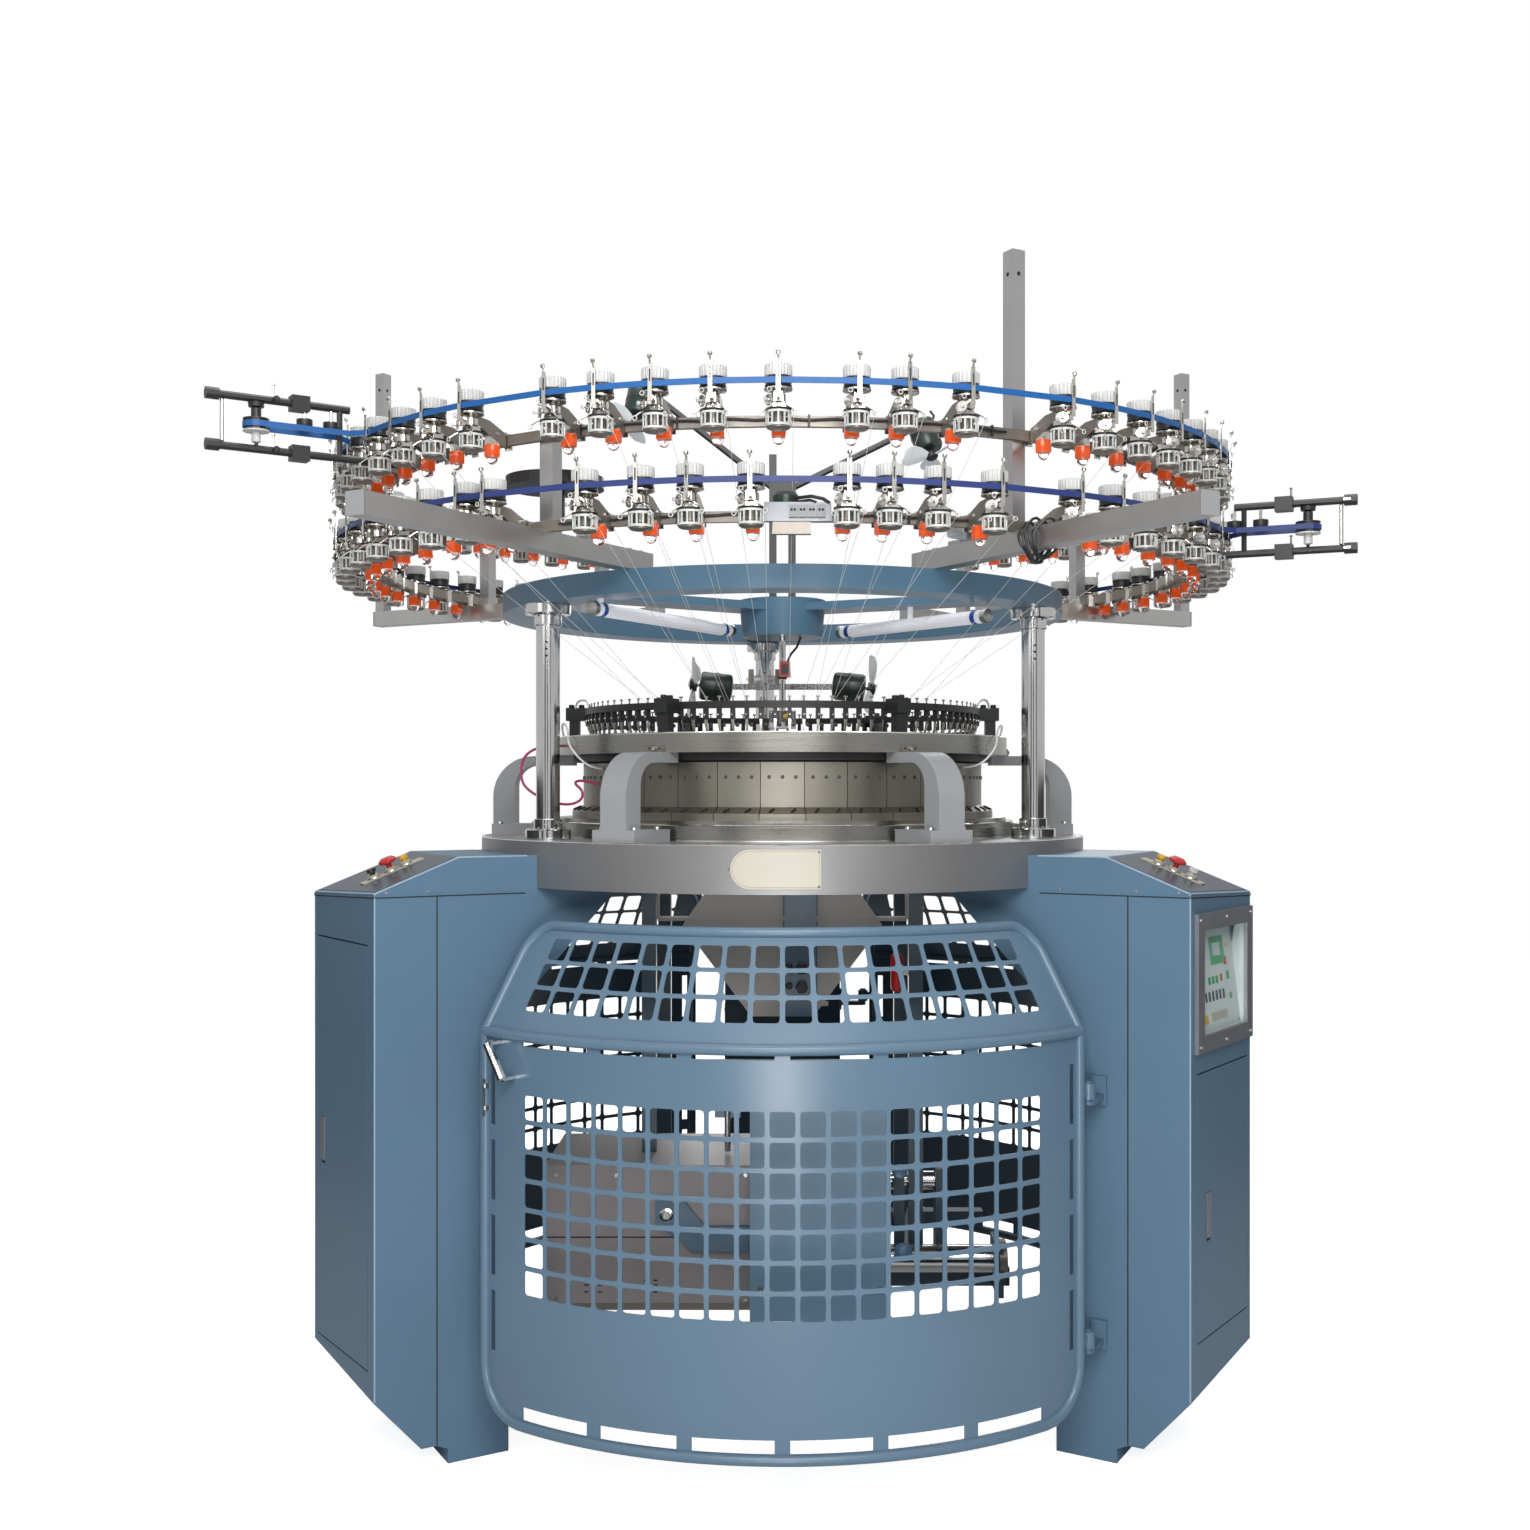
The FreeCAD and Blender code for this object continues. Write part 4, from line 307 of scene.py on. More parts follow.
def shades(colour, low, high):
    """A darker and a lighter shade of a colour."""
    return tuple(c * low for c in colour), tuple(min(c * high, 1.0) for c in colour)


def paint(name, colour, roughness, peel=300.0, strength=0.10, lint_and_top_shade=0.25, lint_and_shade_colour=(0.52, 0.52, 0.50),
          inside=None):
    """A sprayed coat: even colour with a slow drift, a fine peel, and a mask on what faces up: pale yarn fluff,
    and with a dark colour a painted shade on the tops; an inner colour, when given, is a painted shade on faces
    that look in at the axis.
    """
    finish = Finish(name)
    texture = finish.effect("Paint texture", Peel_scale=peel)
    lint_and_shade_mask = finish.effect("Settled lint", Amount=lint_and_top_shade)
    base = finish.mix(texture.outputs["Shade"], *shades(colour, 0.88, 1.10))
    # the up-facing mask: pale yarn fluff, and with a dark colour a painted shade on the tops
    base = finish.mix(lint_and_shade_mask.outputs["Mask"], base, lint_and_shade_colour)
    # painted shade on faces that look in at the axis, where the inside is unlit
    if inside:
        base = finish.mix(finish.effect("Inner shade", Amount=0.92).outputs["Mask"], base, inside)
    finish.feed(base, "Base Color")
    finish.feed(finish.spread(texture.outputs["Shade"], roughness - 0.06, roughness + 0.06), "Roughness")
    finish.bump(texture.outputs["Peel"], strength, 0.0006)
    return finish


def metal(name, colour, roughness, lines="Brushed lines", strength=0.08, metallic=1.0, **scales):
    """Bare or plated metal with the marks of how it was worked."""
    finish = Finish(name)
    marks = finish.effect(lines, **scales)
    finish.feed(finish.mix(marks.outputs["Shade"], *shades(colour, 0.86, 1.10)), "Base Color")
    finish.feed(finish.spread(marks.outputs["Lines"], roughness - 0.07, roughness + 0.09), "Roughness")
    finish.bump(marks.outputs["Lines"], strength, 0.0003)
    return finish.set(Metallic=metallic)


def moulded(name, colour, roughness, grain=700.0, strength=0.06, lint_and_top_shade=0.15):
    """Moulded plastic or rubber with a fine tool grain."""
    return paint(name, colour, roughness, grain, strength, lint_and_top_shade)


def make_finishes():
    """Every material of the machine, by name."""
    EFFECTS.update({
        "Paint texture": paint_texture(), "Lathe lines": lathe_lines(),
        "Brushed lines": brushed_lines(), "Settled lint": lint_and_top_shade_effect(), "Inner shade": inner_shade(),
    })
    tint = colours()
    # unlit and shaded are painted shades: unlit for faces that look in at the axis, shaded for the frame
    # paint's tops through its up-facing mask
    unlit, shaded = (0.010, 0.026, 0.040), (0.045, 0.085, 0.130)
    paint("frame_paint", tint.frame_paint, 0.42, 260.0, 0.10, 0.9, shaded, unlit).set(Specular_IOR_Level=0.28)
    # the guards' inward faces get the painted inner shade (unlit)
    paint("guard_paint", tint.guard_paint, 0.30, 240.0, 0.22, 0.1, inside=unlit)
    paint("ring_paint", tint.ring_paint, 0.32, 150.0, 0.30, 0.1)
    paint("cast_arm_paint", tint.guard_paint, 0.35, 130.0, 0.6, 0.1)
    paint("cast_grey", tint.cast_paint, 0.38, 200.0, 0.22, 0.1)
    paint("box_paint", (0.330, 0.300, 0.305), 0.45, 260.0, 0.10, 0.15)
    paint("sheet_grey", (0.640, 0.605, 0.560), 0.5, 260.0, 0.08, 0.1)
    paint("panel_blue", (0.165, 0.290, 0.410), 0.40, 260.0, 0.12, 0.1)
    # a dark sheet on the covers' sloping tops: a painted shade
    paint("console_top_shade", (0.026, 0.046, 0.072), 0.30, 260.0, 0.05, 0.0).set(Specular_IOR_Level=0.22)
    # lighter than the frame paint: a painted highlight on the covers' rounded edges
    paint("edge_highlight_paint", (0.290, 0.410, 0.510), 0.30, 260.0, 0.10, 0.1)
    paint("oiled_paint", (0.060, 0.062, 0.060), 0.35, 200.0, 0.15, 0.1)
    metal("apron_metal", (0.300, 0.298, 0.300), 0.40, "Lathe lines", 0.05, 0.7, Line_scale=500.0)
    metal("turned_steel", (0.345, 0.336, 0.305), 0.26, "Lathe lines", 0.06, Line_scale=700.0)
    metal("polished_rim", (0.80, 0.79, 0.76), 0.10, "Lathe lines", 0.02, Line_scale=700.0)
    metal("cam_steel", (0.275, 0.258, 0.218), 0.36, "Brushed lines", 0.06, 0.9,
          Across_X=90.0, Across_Y=90.0, Along_Z=500.0)
    metal("dark_metal", (0.034, 0.037, 0.036), 0.4, "Lathe lines", 0.08, 0.5, Line_scale=400.0)
    metal("hole_dark", (0.010, 0.010, 0.010), 0.7, "Lathe lines", 0.05, 0.0)
    metal("steel", (0.50, 0.50, 0.49), 0.30)
    metal("bright_steel", (0.64, 0.64, 0.635), 0.11, strength=0.03)
    metal("window_steel", (0.27, 0.28, 0.30), 0.42, strength=0.06, metallic=0.6)
    metal("nickel", (0.66, 0.64, 0.60), 0.20, strength=0.05, Along_Z=60.0)
    metal("bracket_steel", (0.26, 0.235, 0.205), 0.42, strength=0.08, metallic=0.8, Along_Z=120.0)
    metal("aluminium", (0.50, 0.495, 0.49), 0.36, strength=0.12)
    metal("arm_metal", (0.56, 0.555, 0.54), 0.38, strength=0.14, Across_X=10.0, Across_Y=420.0, Along_Z=420.0)
    moulded("beige_plastic", (0.50, 0.47, 0.38), 0.5)
    moulded("plate_cream", (0.60, 0.56, 0.47), 0.32, 500.0, 0.03, 0.0)
    moulded("plate_line", (0.36, 0.31, 0.20), 0.4, 500.0, 0.03, 0.0)
    moulded("yellow_button", (0.70, 0.42, 0.02), 0.3)
    moulded("red_button", (0.55, 0.015, 0.012), 0.28)
    moulded("green_key", (0.03, 0.32, 0.10), 0.4)
    moulded("black_plastic", (0.018, 0.018, 0.019), 0.42)
    moulded("white_plastic", (0.60, 0.60, 0.585), 0.42)
    moulded("wheel_plastic", (0.60, 0.615, 0.59), 0.34)
    moulded("key_panel_white", (0.66, 0.68, 0.68), 0.45)
    moulded("green_screen", (0.10, 0.42, 0.20), 0.2)
    moulded("blue_band", (0.02, 0.10, 0.42), 0.4)
    moulded("blue_belt", tint.upper_belt, 0.5, 900.0, 0.12)
    moulded("navy_belt", tint.lower_belt, 0.5, 900.0, 0.12)
    # the emission is a painted glow that lightens the fan blades where they lie in shade
    blade = moulded("blade_white_glow", (0.84, 0.87, 0.86), 0.30)
    blade.set(Emission_Color=(0.9, 0.95, 0.95, 1.0), Emission_Strength=0.10)
    moulded("oiled_green", (0.020, 0.036, 0.028), 0.30)
    moulded("arm_cap_grey", (0.30, 0.305, 0.31), 0.45)
    moulded("blue_knob", (0.10, 0.20, 0.32), 0.35)
    paint("take_down_paint", (0.030, 0.060, 0.085), 0.40, 220.0, 0.12, 0.1)
    moulded("pink_hose", (0.46, 0.050, 0.135), 0.3)
    moulded("oil_tube", (0.88, 0.89, 0.88), 0.35)
    moulded("yarn_white", (0.74, 0.73, 0.70), 0.8, 2000.0, 0.3)
    lens = moulded("lens_orange", (0.85, 0.10, 0.012), 0.16, 500.0, 0.03, 0.0)
    lens.set(Emission_Color=(0.85, 0.09, 0.01, 1.0), Emission_Strength=0.12)
    tube = moulded("lamp_tube", (0.82, 0.82, 0.86), 0.35, 500.0, 0.02, 0.0)
    tube.set(Emission_Color=(0.93, 0.93, 1.0, 1.0), Emission_Strength=0.25)
    for name, colour in (("window", (0.80, 0.86, 0.86)), ("clear_tip", (0.92, 0.92, 0.92))):
        glass = Finish(name)
        glass.set(Base_Color=(*colour, 1.0), Transmission_Weight=1.0, IOR=1.25)
        smear = glass.effect("Paint texture", Peel_scale=18.0)
        glass.feed(glass.spread(smear.outputs["Shade"], 0.02, 0.12), "Roughness")
        path = glass.tree.nodes.new("ShaderNodeLightPath")
        glass.feed(maths(glass.tree, "SUBTRACT", 1.0, path.outputs["Is Shadow Ray"]), "Alpha")


# ---- mesh making: every point is in millimetres until the piece is made ----------------------------


def turned_by(azimuth):
    """The machine turned so that its front faces the azimuth: local -Y then points out there."""
    return Matrix.Rotation(math.radians(azimuth), 4, "Z")


def around(radius, azimuth, height):
    """A point by its distance from the axis, its turn from the front and its height."""
    angle = math.radians(azimuth)
    return Vector((radius * math.sin(angle), -radius * math.cos(angle), height))


def facing(point, direction):
    """A place at a point whose Z looks along a direction."""
    aim = Vector(direction).normalized().to_track_quat("Z", "Y").to_matrix().to_4x4()
    return Matrix.Translation(Vector(point)) @ aim


def angles(sides):
    """The turns, in radians, of the corners of a round form."""
    return [2 * math.pi * j / sides for j in range(sides)]


class Piece:
    """One visible piece: points in millimetres, faces, and the finish of each face."""

    def __init__(self, name, place=None):
        self.name = name
        self.place = place or Matrix.Identity(4)
        self.points, self.faces, self.marks, self.finishes = [], [], [], []

    def add(self, points, faces, finish, place=None):
        """Adds a mesh in one finish."""
        if finish not in self.finishes:
            self.finishes.append(finish)
        mark, start = self.finishes.index(finish), len(self.points)
        frame_place = self.place @ place if place else self.place
        self.points.extend(frame_place @ Vector(point) for point in points)
        self.faces.extend(tuple(start + i for i in face) for face in faces)
        self.marks.extend([mark] * len(faces))

    def at(self, place=None):
        """Sets where what follows is added; with nothing given, in the machine's own frame."""
        self.place = place or Matrix.Identity(4)

    def loft(self, sections, finish, closed=False, place=None):
        """Skins a row of sections that have as many points each."""
        size, count = len(sections[0]), len(sections)
        points = [point for section in sections for point in section]
        faces = []
        for i in range(count if closed else count - 1):
            low, high = i * size, (i + 1) % count * size
            for j in range(size):
                k = (j + 1) % size
                faces.append((low + j, low + k, high + k, high + j))
        if not closed:
            faces.append(tuple(range(size))[::-1])
            faces.append(tuple(range((count - 1) * size, count * size)))
        self.add(points, faces, finish, place)

    def block(self, low, high, finish, taper=0.0, place=None):
        """A box between two corners; taper draws its far end in."""
        (x1, y1, z1), (x2, y2, z2) = low, high
        ends = [[(x1 + t, y1 + t, z), (x2 - t, y1 + t, z), (x2 - t, y2 - t, z), (x1 + t, y2 - t, z)]
                for t, z in ((0.0, z1), (taper, z2))]
        self.loft(ends, finish, place=place)

    def turn(self, profile, sides, finish, place=None):
        """A turned form: radius and height of each step along its own Z."""
        self.loft([[(r * math.cos(t), r * math.sin(t), z) for t in angles(sides)] for r, z in profile],
                  finish, place=place)

    def ring(self, profile, sides, finish, place=None):
        """A ring round its own Z with a closed profile of radius and height."""
        self.loft([[(r * math.cos(t), r * math.sin(t), z) for r, z in profile] for t in angles(sides)],
                  finish, closed=True, place=place)

    def hoop(self, profile, sides, finish):
        """A ring round the machine's axis, which starts at the front."""
        self.loft([[(r * math.sin(t), -r * math.cos(t), z) for r, z in profile] for t in angles(sides)],
                  finish, closed=True)

    def tube(self, line, radius, sides, finish, closed=False):
        """A round bar along a row of points."""
        line = [Vector(point) for point in line]
        count = len(line)
        sections, side = [], None
        for i, point in enumerate(line):
            before = line[i - 1] if i or closed else point
            after = line[(i + 1) % count] if i < count - 1 or closed else point
            along = (after - before).normalized()
            side = along.orthogonal() if side is None else side - along * side.dot(along)
            side.normalize()
            across = along.cross(side)
            sections.append([point + (side * math.cos(t) + across * math.sin(t)) * radius
                             for t in angles(sides)])
        self.loft(sections, finish, closed)

    def slab(self, outline, thickness, finish, place=None):
        """A flat plate with a given outline, drawn out along its own Z."""
        self.loft([[(x, y, z) for x, y in outline] for z in (0, thickness)], finish, place=place)

    def screw(self, point, direction, radius, finish, height=None):
        """A socket-head screw seen from outside: a crowned head with its recess."""
        high, recess = height or radius * 0.9, radius * 0.5
        self.turn(((radius, -0.5), (radius, high * 0.7), (radius * 0.85, high), (recess, high),
                   (recess * 0.9, high * 0.4)), 10, finish, facing(point, direction))

    def repeat(self, places):
        """What the piece holds so far, once at each place instead."""
        points, faces, marks = self.points, self.faces, self.marks
        self.points, self.faces, self.marks = [], [], []
        for place in places:
            start = len(self.points)
            self.points.extend(place @ point for point in points)
            self.faces.extend(tuple(start + i for i in face) for face in faces)
            self.marks.extend(marks)

    def make(self, body, *replaced, slot=None, bevel=0.0, sharp=32.0):
        """The finished object, riding on a body."""
        mesh = bpy.data.meshes.new(self.name)
        mesh.from_pydata([point * MM for point in self.points], [], self.faces)
        mesh.polygons.foreach_set("material_index", self.marks)
        for finish in self.finishes:
            mesh.materials.append(FINISHES[finish])
        shell = bmesh.new()
        shell.from_mesh(mesh)
        bmesh.ops.dissolve_degenerate(shell, dist=1e-6, edges=shell.edges)
        bmesh.ops.recalc_face_normals(shell, faces=shell.faces)
        shell.to_mesh(mesh)
        shell.free()
        mesh.polygons.foreach_set("use_smooth", [True] * len(mesh.polygons))
        mesh.set_sharp_from_angle(angle=math.radians(sharp))
        thing = bpy.data.objects.new(self.name, mesh)
        bpy.context.scene.collection.objects.link(thing)
        if bevel:
            edge = thing.modifiers.new("Eased edges", "BEVEL")
            edge.width = bevel * MM
            edge.segments = 2
            edge.limit_method = "ANGLE"
        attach(thing, body)
        if replaced:
            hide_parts(*replaced)
        return thing


def finish_node(node, finish):
    """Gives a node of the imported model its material."""
    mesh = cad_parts[node].data
    mesh.materials.clear()
    mesh.materials.append(FINISHES[finish])
    mesh.polygons.foreach_set("material_index", [0] * len(mesh.polygons))


NODE_FINISHES = {
    "frame_paint": ("leg_right", "leg_left", "leg_rear", "cabinet_right", "cabinet_left",
                    "cabinet_door_right", "cabinet_door_left", "guard_hinges"),
    "bright_steel": ("guard_handle", "draw_roller", "cloth_roller", "columns", "centre_pole"),
    "steel": ("drive_wheel_right",),
    "window_steel": ("control_window_frame", "door_latch_right", "door_latch_left"),
    "yellow_button": ("jog_button_right", "jog_button_left"),
    "red_button": ("stop_button_right", "stop_button_left"),
    "white_plastic": ("run_button_right",),
    "black_plastic": ("run_button_left", "fan_motors", "fan_mast", "lower_tensioner", "upper_tensioner",
                      "drive_wheel_left"),
    "beige_plastic": ("consoles",),
    "key_panel_white": ("key_panel",),
    "window": ("control_window_pane",),
    "apron_metal": ("bed_plate",),
    "turned_steel": ("cap_ring", "gear_cover", "needle_cylinder"),
    "cam_steel": ("cam_ring",),
    "dark_metal": ("sinker_ring", "guide_ring", "yarn_guides"),
    "cast_grey": ("arch_brackets",),
    "ring_paint": ("top_ring",),
    "lamp_tube": ("lamps",),
    "arm_metal": ("creel_arms",),
    "aluminium": ("creel_posts", "drive_brackets"),
    "bracket_steel": ("tier_beams",),
    "nickel": ("lower_feeders", "upper_feeders"),
    "blue_belt": ("upper_belt",),
    "navy_belt": ("lower_belt",),
    "guard_paint": ("front_guard", "rear_guard_right", "rear_guard_left"),
    "take_down_paint": ("take_down_frame",),
    "box_paint": ("take_down_box",),
    "sheet_grey": ("fabric_spreader",),
}


# ---- camera, cords and yarns -------------------------------------------------------------------------


def add_camera():
    """The photograph's view: level, with a small shift of the frame."""
    lens = bpy.data.cameras.new("camera")
    lens.sensor_width = 36.0
    lens.lens = 37.86
    lens.shift_x, lens.shift_y = -0.0114, 0.0131
    camera = bpy.data.objects.new("camera", lens)
    camera.location = (0.0, -3.871, 1.386)
    camera.rotation_euler = (math.radians(90), 0, 0)
    bpy.context.scene.collection.objects.link(camera)
    bpy.context.scene.camera = camera


def add_cord(name, route, diameter, finish):
    """A free hose, tube or yarn: a smooth curve with the route's points as its control points, in metres."""
    curve = bpy.data.curves.new(name, "CURVE")
    curve.dimensions = "3D"
    curve.bevel_depth = diameter / 2
    curve.bevel_resolution = 3 if diameter > 0.002 else 1
    curve.use_fill_caps = True
    spline = curve.splines.new("NURBS")
    spline.points.add(len(route) - 1)
    for point, place in zip(spline.points, route):
        point.co = (*place, 1.0)
    spline.order_u = 3
    spline.use_endpoint_u = True
    spline.resolution_u = 8
    curve.materials.append(FINISHES[finish])
    cord = bpy.data.objects.new(name, curve)
    bpy.context.scene.collection.objects.link(cord)
    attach(cord, "frame")
    line_length(cord)


def line_length(cord):
    """The real length along a curve, measured on its bare centre line."""
    bare = cord.data.copy()
    bare.bevel_depth = 0.0
    holder = bpy.data.objects.new("measure", bare)
    mesh = bpy.data.meshes.new_from_object(holder)
    points = [vertex.co.copy() for vertex in mesh.vertices]
    bpy.data.objects.remove(holder)
    bpy.data.curves.remove(bare)
    bpy.data.meshes.remove(mesh)
    return sum((b - a).length for a, b in zip(points, points[1:]))


CORDS = {
    # name: (diameter, finish, route in metres)
    "air_hose": (0.006, "pink_hose", (
        (-0.5079, -0.1650, 1.4760), (-0.5450, -0.1850, 1.4780), (-0.5900, -0.2150, 1.4550),
        (-0.5920, -0.2350, 1.4000), (-0.5750, -0.2450, 1.3750), (-0.5300, -0.2500, 1.3500),
        (-0.4800, -0.2620, 1.3400), (-0.4480, -0.2750, 1.3520), (-0.4450, -0.2800, 1.3740),
        (-0.4700, -0.2620, 1.3920), (-0.4500, -0.2420, 1.3980), (-0.4186, -0.2246, 1.3880),
    )),
    "oil_tube_top_left": (0.005, "oil_tube", (
        (-0.4950, -0.0170, 1.5690), (-0.4930, -0.0200, 1.5860), (-0.4700, -0.0600, 1.5880),
        (-0.4560, -0.0900, 1.5800), (-0.4530, -0.0960, 1.5620),
    )),
    "oil_tube_left": (0.005, "oil_tube", (
        (-0.5050, -0.1500, 1.4960), (-0.5100, -0.1600, 1.5200), (-0.5000, -0.1850, 1.5300),
        (-0.4850, -0.2250, 1.5100), (-0.4820, -0.2650, 1.4780), (-0.4500, -0.2700, 1.4400),
        (-0.4250, -0.2660, 1.4250), (-0.4060, -0.2465, 1.4230),
    )),
    "oil_tube_top_right": (0.005, "oil_tube", (
        (0.4950, -0.0150, 1.5690), (0.4930, -0.0200, 1.5850), (0.4750, -0.0650, 1.5900),
        (0.4580, -0.0980, 1.5780), (0.4530, -0.0960, 1.5620),
    )),
    "oil_tube_right": (0.005, "oil_tube", (
        (0.5000, -0.1700, 1.4960), (0.5050, -0.1790, 1.5170), (0.4980, -0.1980, 1.5240),
        (0.4850, -0.2280, 1.5060), (0.4800, -0.2690, 1.4720), (0.4520, -0.2720, 1.4380),
        (0.4260, -0.2620, 1.4270), (0.4080, -0.2435, 1.4250),
    )),
}

YARN_FEEDERS = {
    "lower": (-42.2, -36.1, -20.7, -14.5, -9.35, -3.15, 6.5, 10.9, 16.0, 22.4, 38.3, 44.4),
    "upper": (-47.7, -41.6, -24.5, -18.9, -13.0, -7.0, -0.4, 7.5, 12.5, 19.1, 37.1, 43.2),
}


def add_yarns():
    """Taut yarns from the front feeders down to the guide ring, a little short of straight below."""
    thread = sizes().yarn_diameter
    for tier, azimuths in YARN_FEEDERS.items():
        for azimuth in azimuths:
            start = turned_by(azimuth) @ Vector((27.0, -1043.0, TIER_LEVELS[tier] - 9.0))
            end = around(465.0, azimuth * 0.90 + (2.0 if tier == "upper" else -1.0), 1563.0)
            middle = start.lerp(end, 0.5) - UP * 3
            name = f"yarn_{tier}_{'l' if azimuth < 0 else 'r'}{abs(azimuth):.0f}"
            route = [tuple(point * MM) for point in (start, middle, end)]
            add_cord(name, route, thread, "yarn_white")


class MACHINE_OT_cords(bpy.types.Operator):
    """Add the camera, the air hose, the oil tubes and the drawn yarns"""

    bl_idname = "machine.cords"
    bl_label = "Cords and yarns"

    def execute(self, context):
        add_camera()
        for name, (diameter, finish, route) in CORDS.items():
            add_cord(name, route, diameter, finish)
        add_yarns()
        return {"FINISHED"}


class MACHINE_OT_finishes(bpy.types.Operator):
    """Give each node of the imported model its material"""

    bl_idname = "machine.finishes"
    bl_label = "Finishes"

    def execute(self, context):
        make_finishes()
        for finish, nodes in NODE_FINISHES.items():
            for node in nodes:
                finish_node(node, finish)
        return {"FINISHED"}


# ---- guards ------------------------------------------------------------------------------------------

GUARD_HALF, GUARD_LOW, GUARD_MIDDLE, GUARD_TOP, HOOD_RADIUS = 42.5, 130.0, 893.0, 1099.0, 748.0
GUARD_TUBE, GUARD_SHEET, GUARD_CORNER = 11.0, 3.0, 100.0
PACKED_RADIUS = 880.0  # the guards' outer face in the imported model
GRID_COLUMNS, GRID_ROWS, GRID_LOW = 19, 7, 387.0
HOOD_COLUMNS, HOOD_ROWS, HOOD_HALF, HOOD_FIRST = 18, 3, 37.4, 0.22
SLOTS, SLOT_PITCH, SLOT_HALF = 6, 12.1, 5.1
SIDE_SLOTS = (260.0, 410.0, 560.0, 710.0)
HINGE_LEVELS, HINGE_SHIFT = (770.0, 270.0), 30.0
HINGE_EYE = ((8.6, -16), (14, -16), (14, 16), (8.6, 16))
GUARD_TURNS = {"front_guard": 0.0, "rear_guard_right": 120.0, "rear_guard_left": -120.0}
OPENING_CORNER = 6.0
# heights cut in where the guard's lower corners round off
CORNER_BANDS = ((162, 174), (186, 198), (208, 220))


def spans(low, high, openings, step):
    """Cut lines from low to high: the openings' edges, and no more than a step between lines."""
    marks = sorted({low, high} | {edge for opening in openings for edge in opening if low < edge < high})
    lines = []
    for start, end in zip(marks, marks[1:]):
        parts = max(1, math.ceil((end - start) / step))
        lines += [start + (end - start) * i / parts for i in range(parts)]
    return lines + [high]


def holed_sheet(piece, turns, heights, holes, radius_at, shift):
    """A round sheet cut on a lattice: faces where there is metal, walls round each opening."""
    def spot(turn, height, inset):
        turn, height = shift(turn, height)
        return around(radius_at(height) - inset, turn, height)

    def is_open(i, j):
        if not (0 <= i < len(turns) - 1 and 0 <= j < len(heights) - 1):
            return True
        turn, height = (turns[i] + turns[i + 1]) / 2, (heights[j] + heights[j + 1]) / 2
        return any(a < turn < b and c < height < d for a, b, c, d in holes)

    rows = len(heights)
    points = [spot(turn, height, inset) for inset in (0.0, GUARD_SHEET) for turn in turns for height in heights]
    back = len(turns) * rows
    faces = []
    for i in range(len(turns) - 1):
        for j in range(rows - 1):
            if is_open(i, j):
                continue
            a, b, c, d = i * rows + j, (i + 1) * rows + j, (i + 1) * rows + j + 1, i * rows + j + 1
            faces += [(a, b, c, d), (d + back, c + back, b + back, a + back)]
            for beside, p, q in ((is_open(i - 1, j), d, a), (is_open(i + 1, j), b, c),
                                 (is_open(i, j - 1), a, b), (is_open(i, j + 1), c, d)):
                if beside:
                    faces.append((q, p, p + back, q + back))
    piece.add(points, faces, "guard_paint")
    for a, b, c, d in holes:
        if b - a < 2.0 or d - c < 30.0:
            continue
        reach = radius_at((c + d) / 2)
        x, z = math.degrees(OPENING_CORNER / reach), OPENING_CORNER
        for turn, height, u, v in ((a, c, x, z), (b, c, -x, z), (b, d, -x, -z), (a, d, x, -z)):
            corner = [(turn, height), (turn + u, height), (turn + u * 0.3, height + v * 0.3),
                      (turn, height + v)]
            ends = [spot(t, h, inset) for inset in (0.0, GUARD_SHEET) for t, h in corner]
            piece.add(ends, [(0, 1, 2, 3), (7, 6, 5, 4), (1, 2, 6, 5), (2, 3, 7, 6)], "guard_paint")


def round_corner(turn, height):
    """Draws the sheet's lower corners in to the rounded tube."""
    across = math.degrees(GUARD_CORNER / PACKED_RADIUS)
    u = (abs(turn) - (GUARD_HALF - across)) / across
    v = (GUARD_LOW + GUARD_CORNER - height) / GUARD_CORNER
    if u <= 0 or v <= 0 or u * u + v * v <= 1:
        return turn, height
    far = math.hypot(u, v)
    turned = math.copysign(GUARD_HALF - across + across * u / far, turn)
    return turned, GUARD_LOW + GUARD_CORNER * (1 - v / far)


HOOD_CORNER_TURN, HOOD_CORNER_RISE = 4.5, 62.0


def hood_corner(turn, height):
    """Draws the hood's upper corners in to the rounded tube."""
    u = (abs(turn) - (GUARD_HALF - HOOD_CORNER_TURN)) / HOOD_CORNER_TURN
    v = (height - (GUARD_TOP - HOOD_CORNER_RISE)) / HOOD_CORNER_RISE
    if u <= 0 or v <= 0 or u * u + v * v <= 1:
        return turn, height
    far = math.hypot(u, v)
    return (math.copysign(GUARD_HALF - HOOD_CORNER_TURN * (1 - u / far), turn),
            GUARD_TOP - HOOD_CORNER_RISE * (1 - v / far))


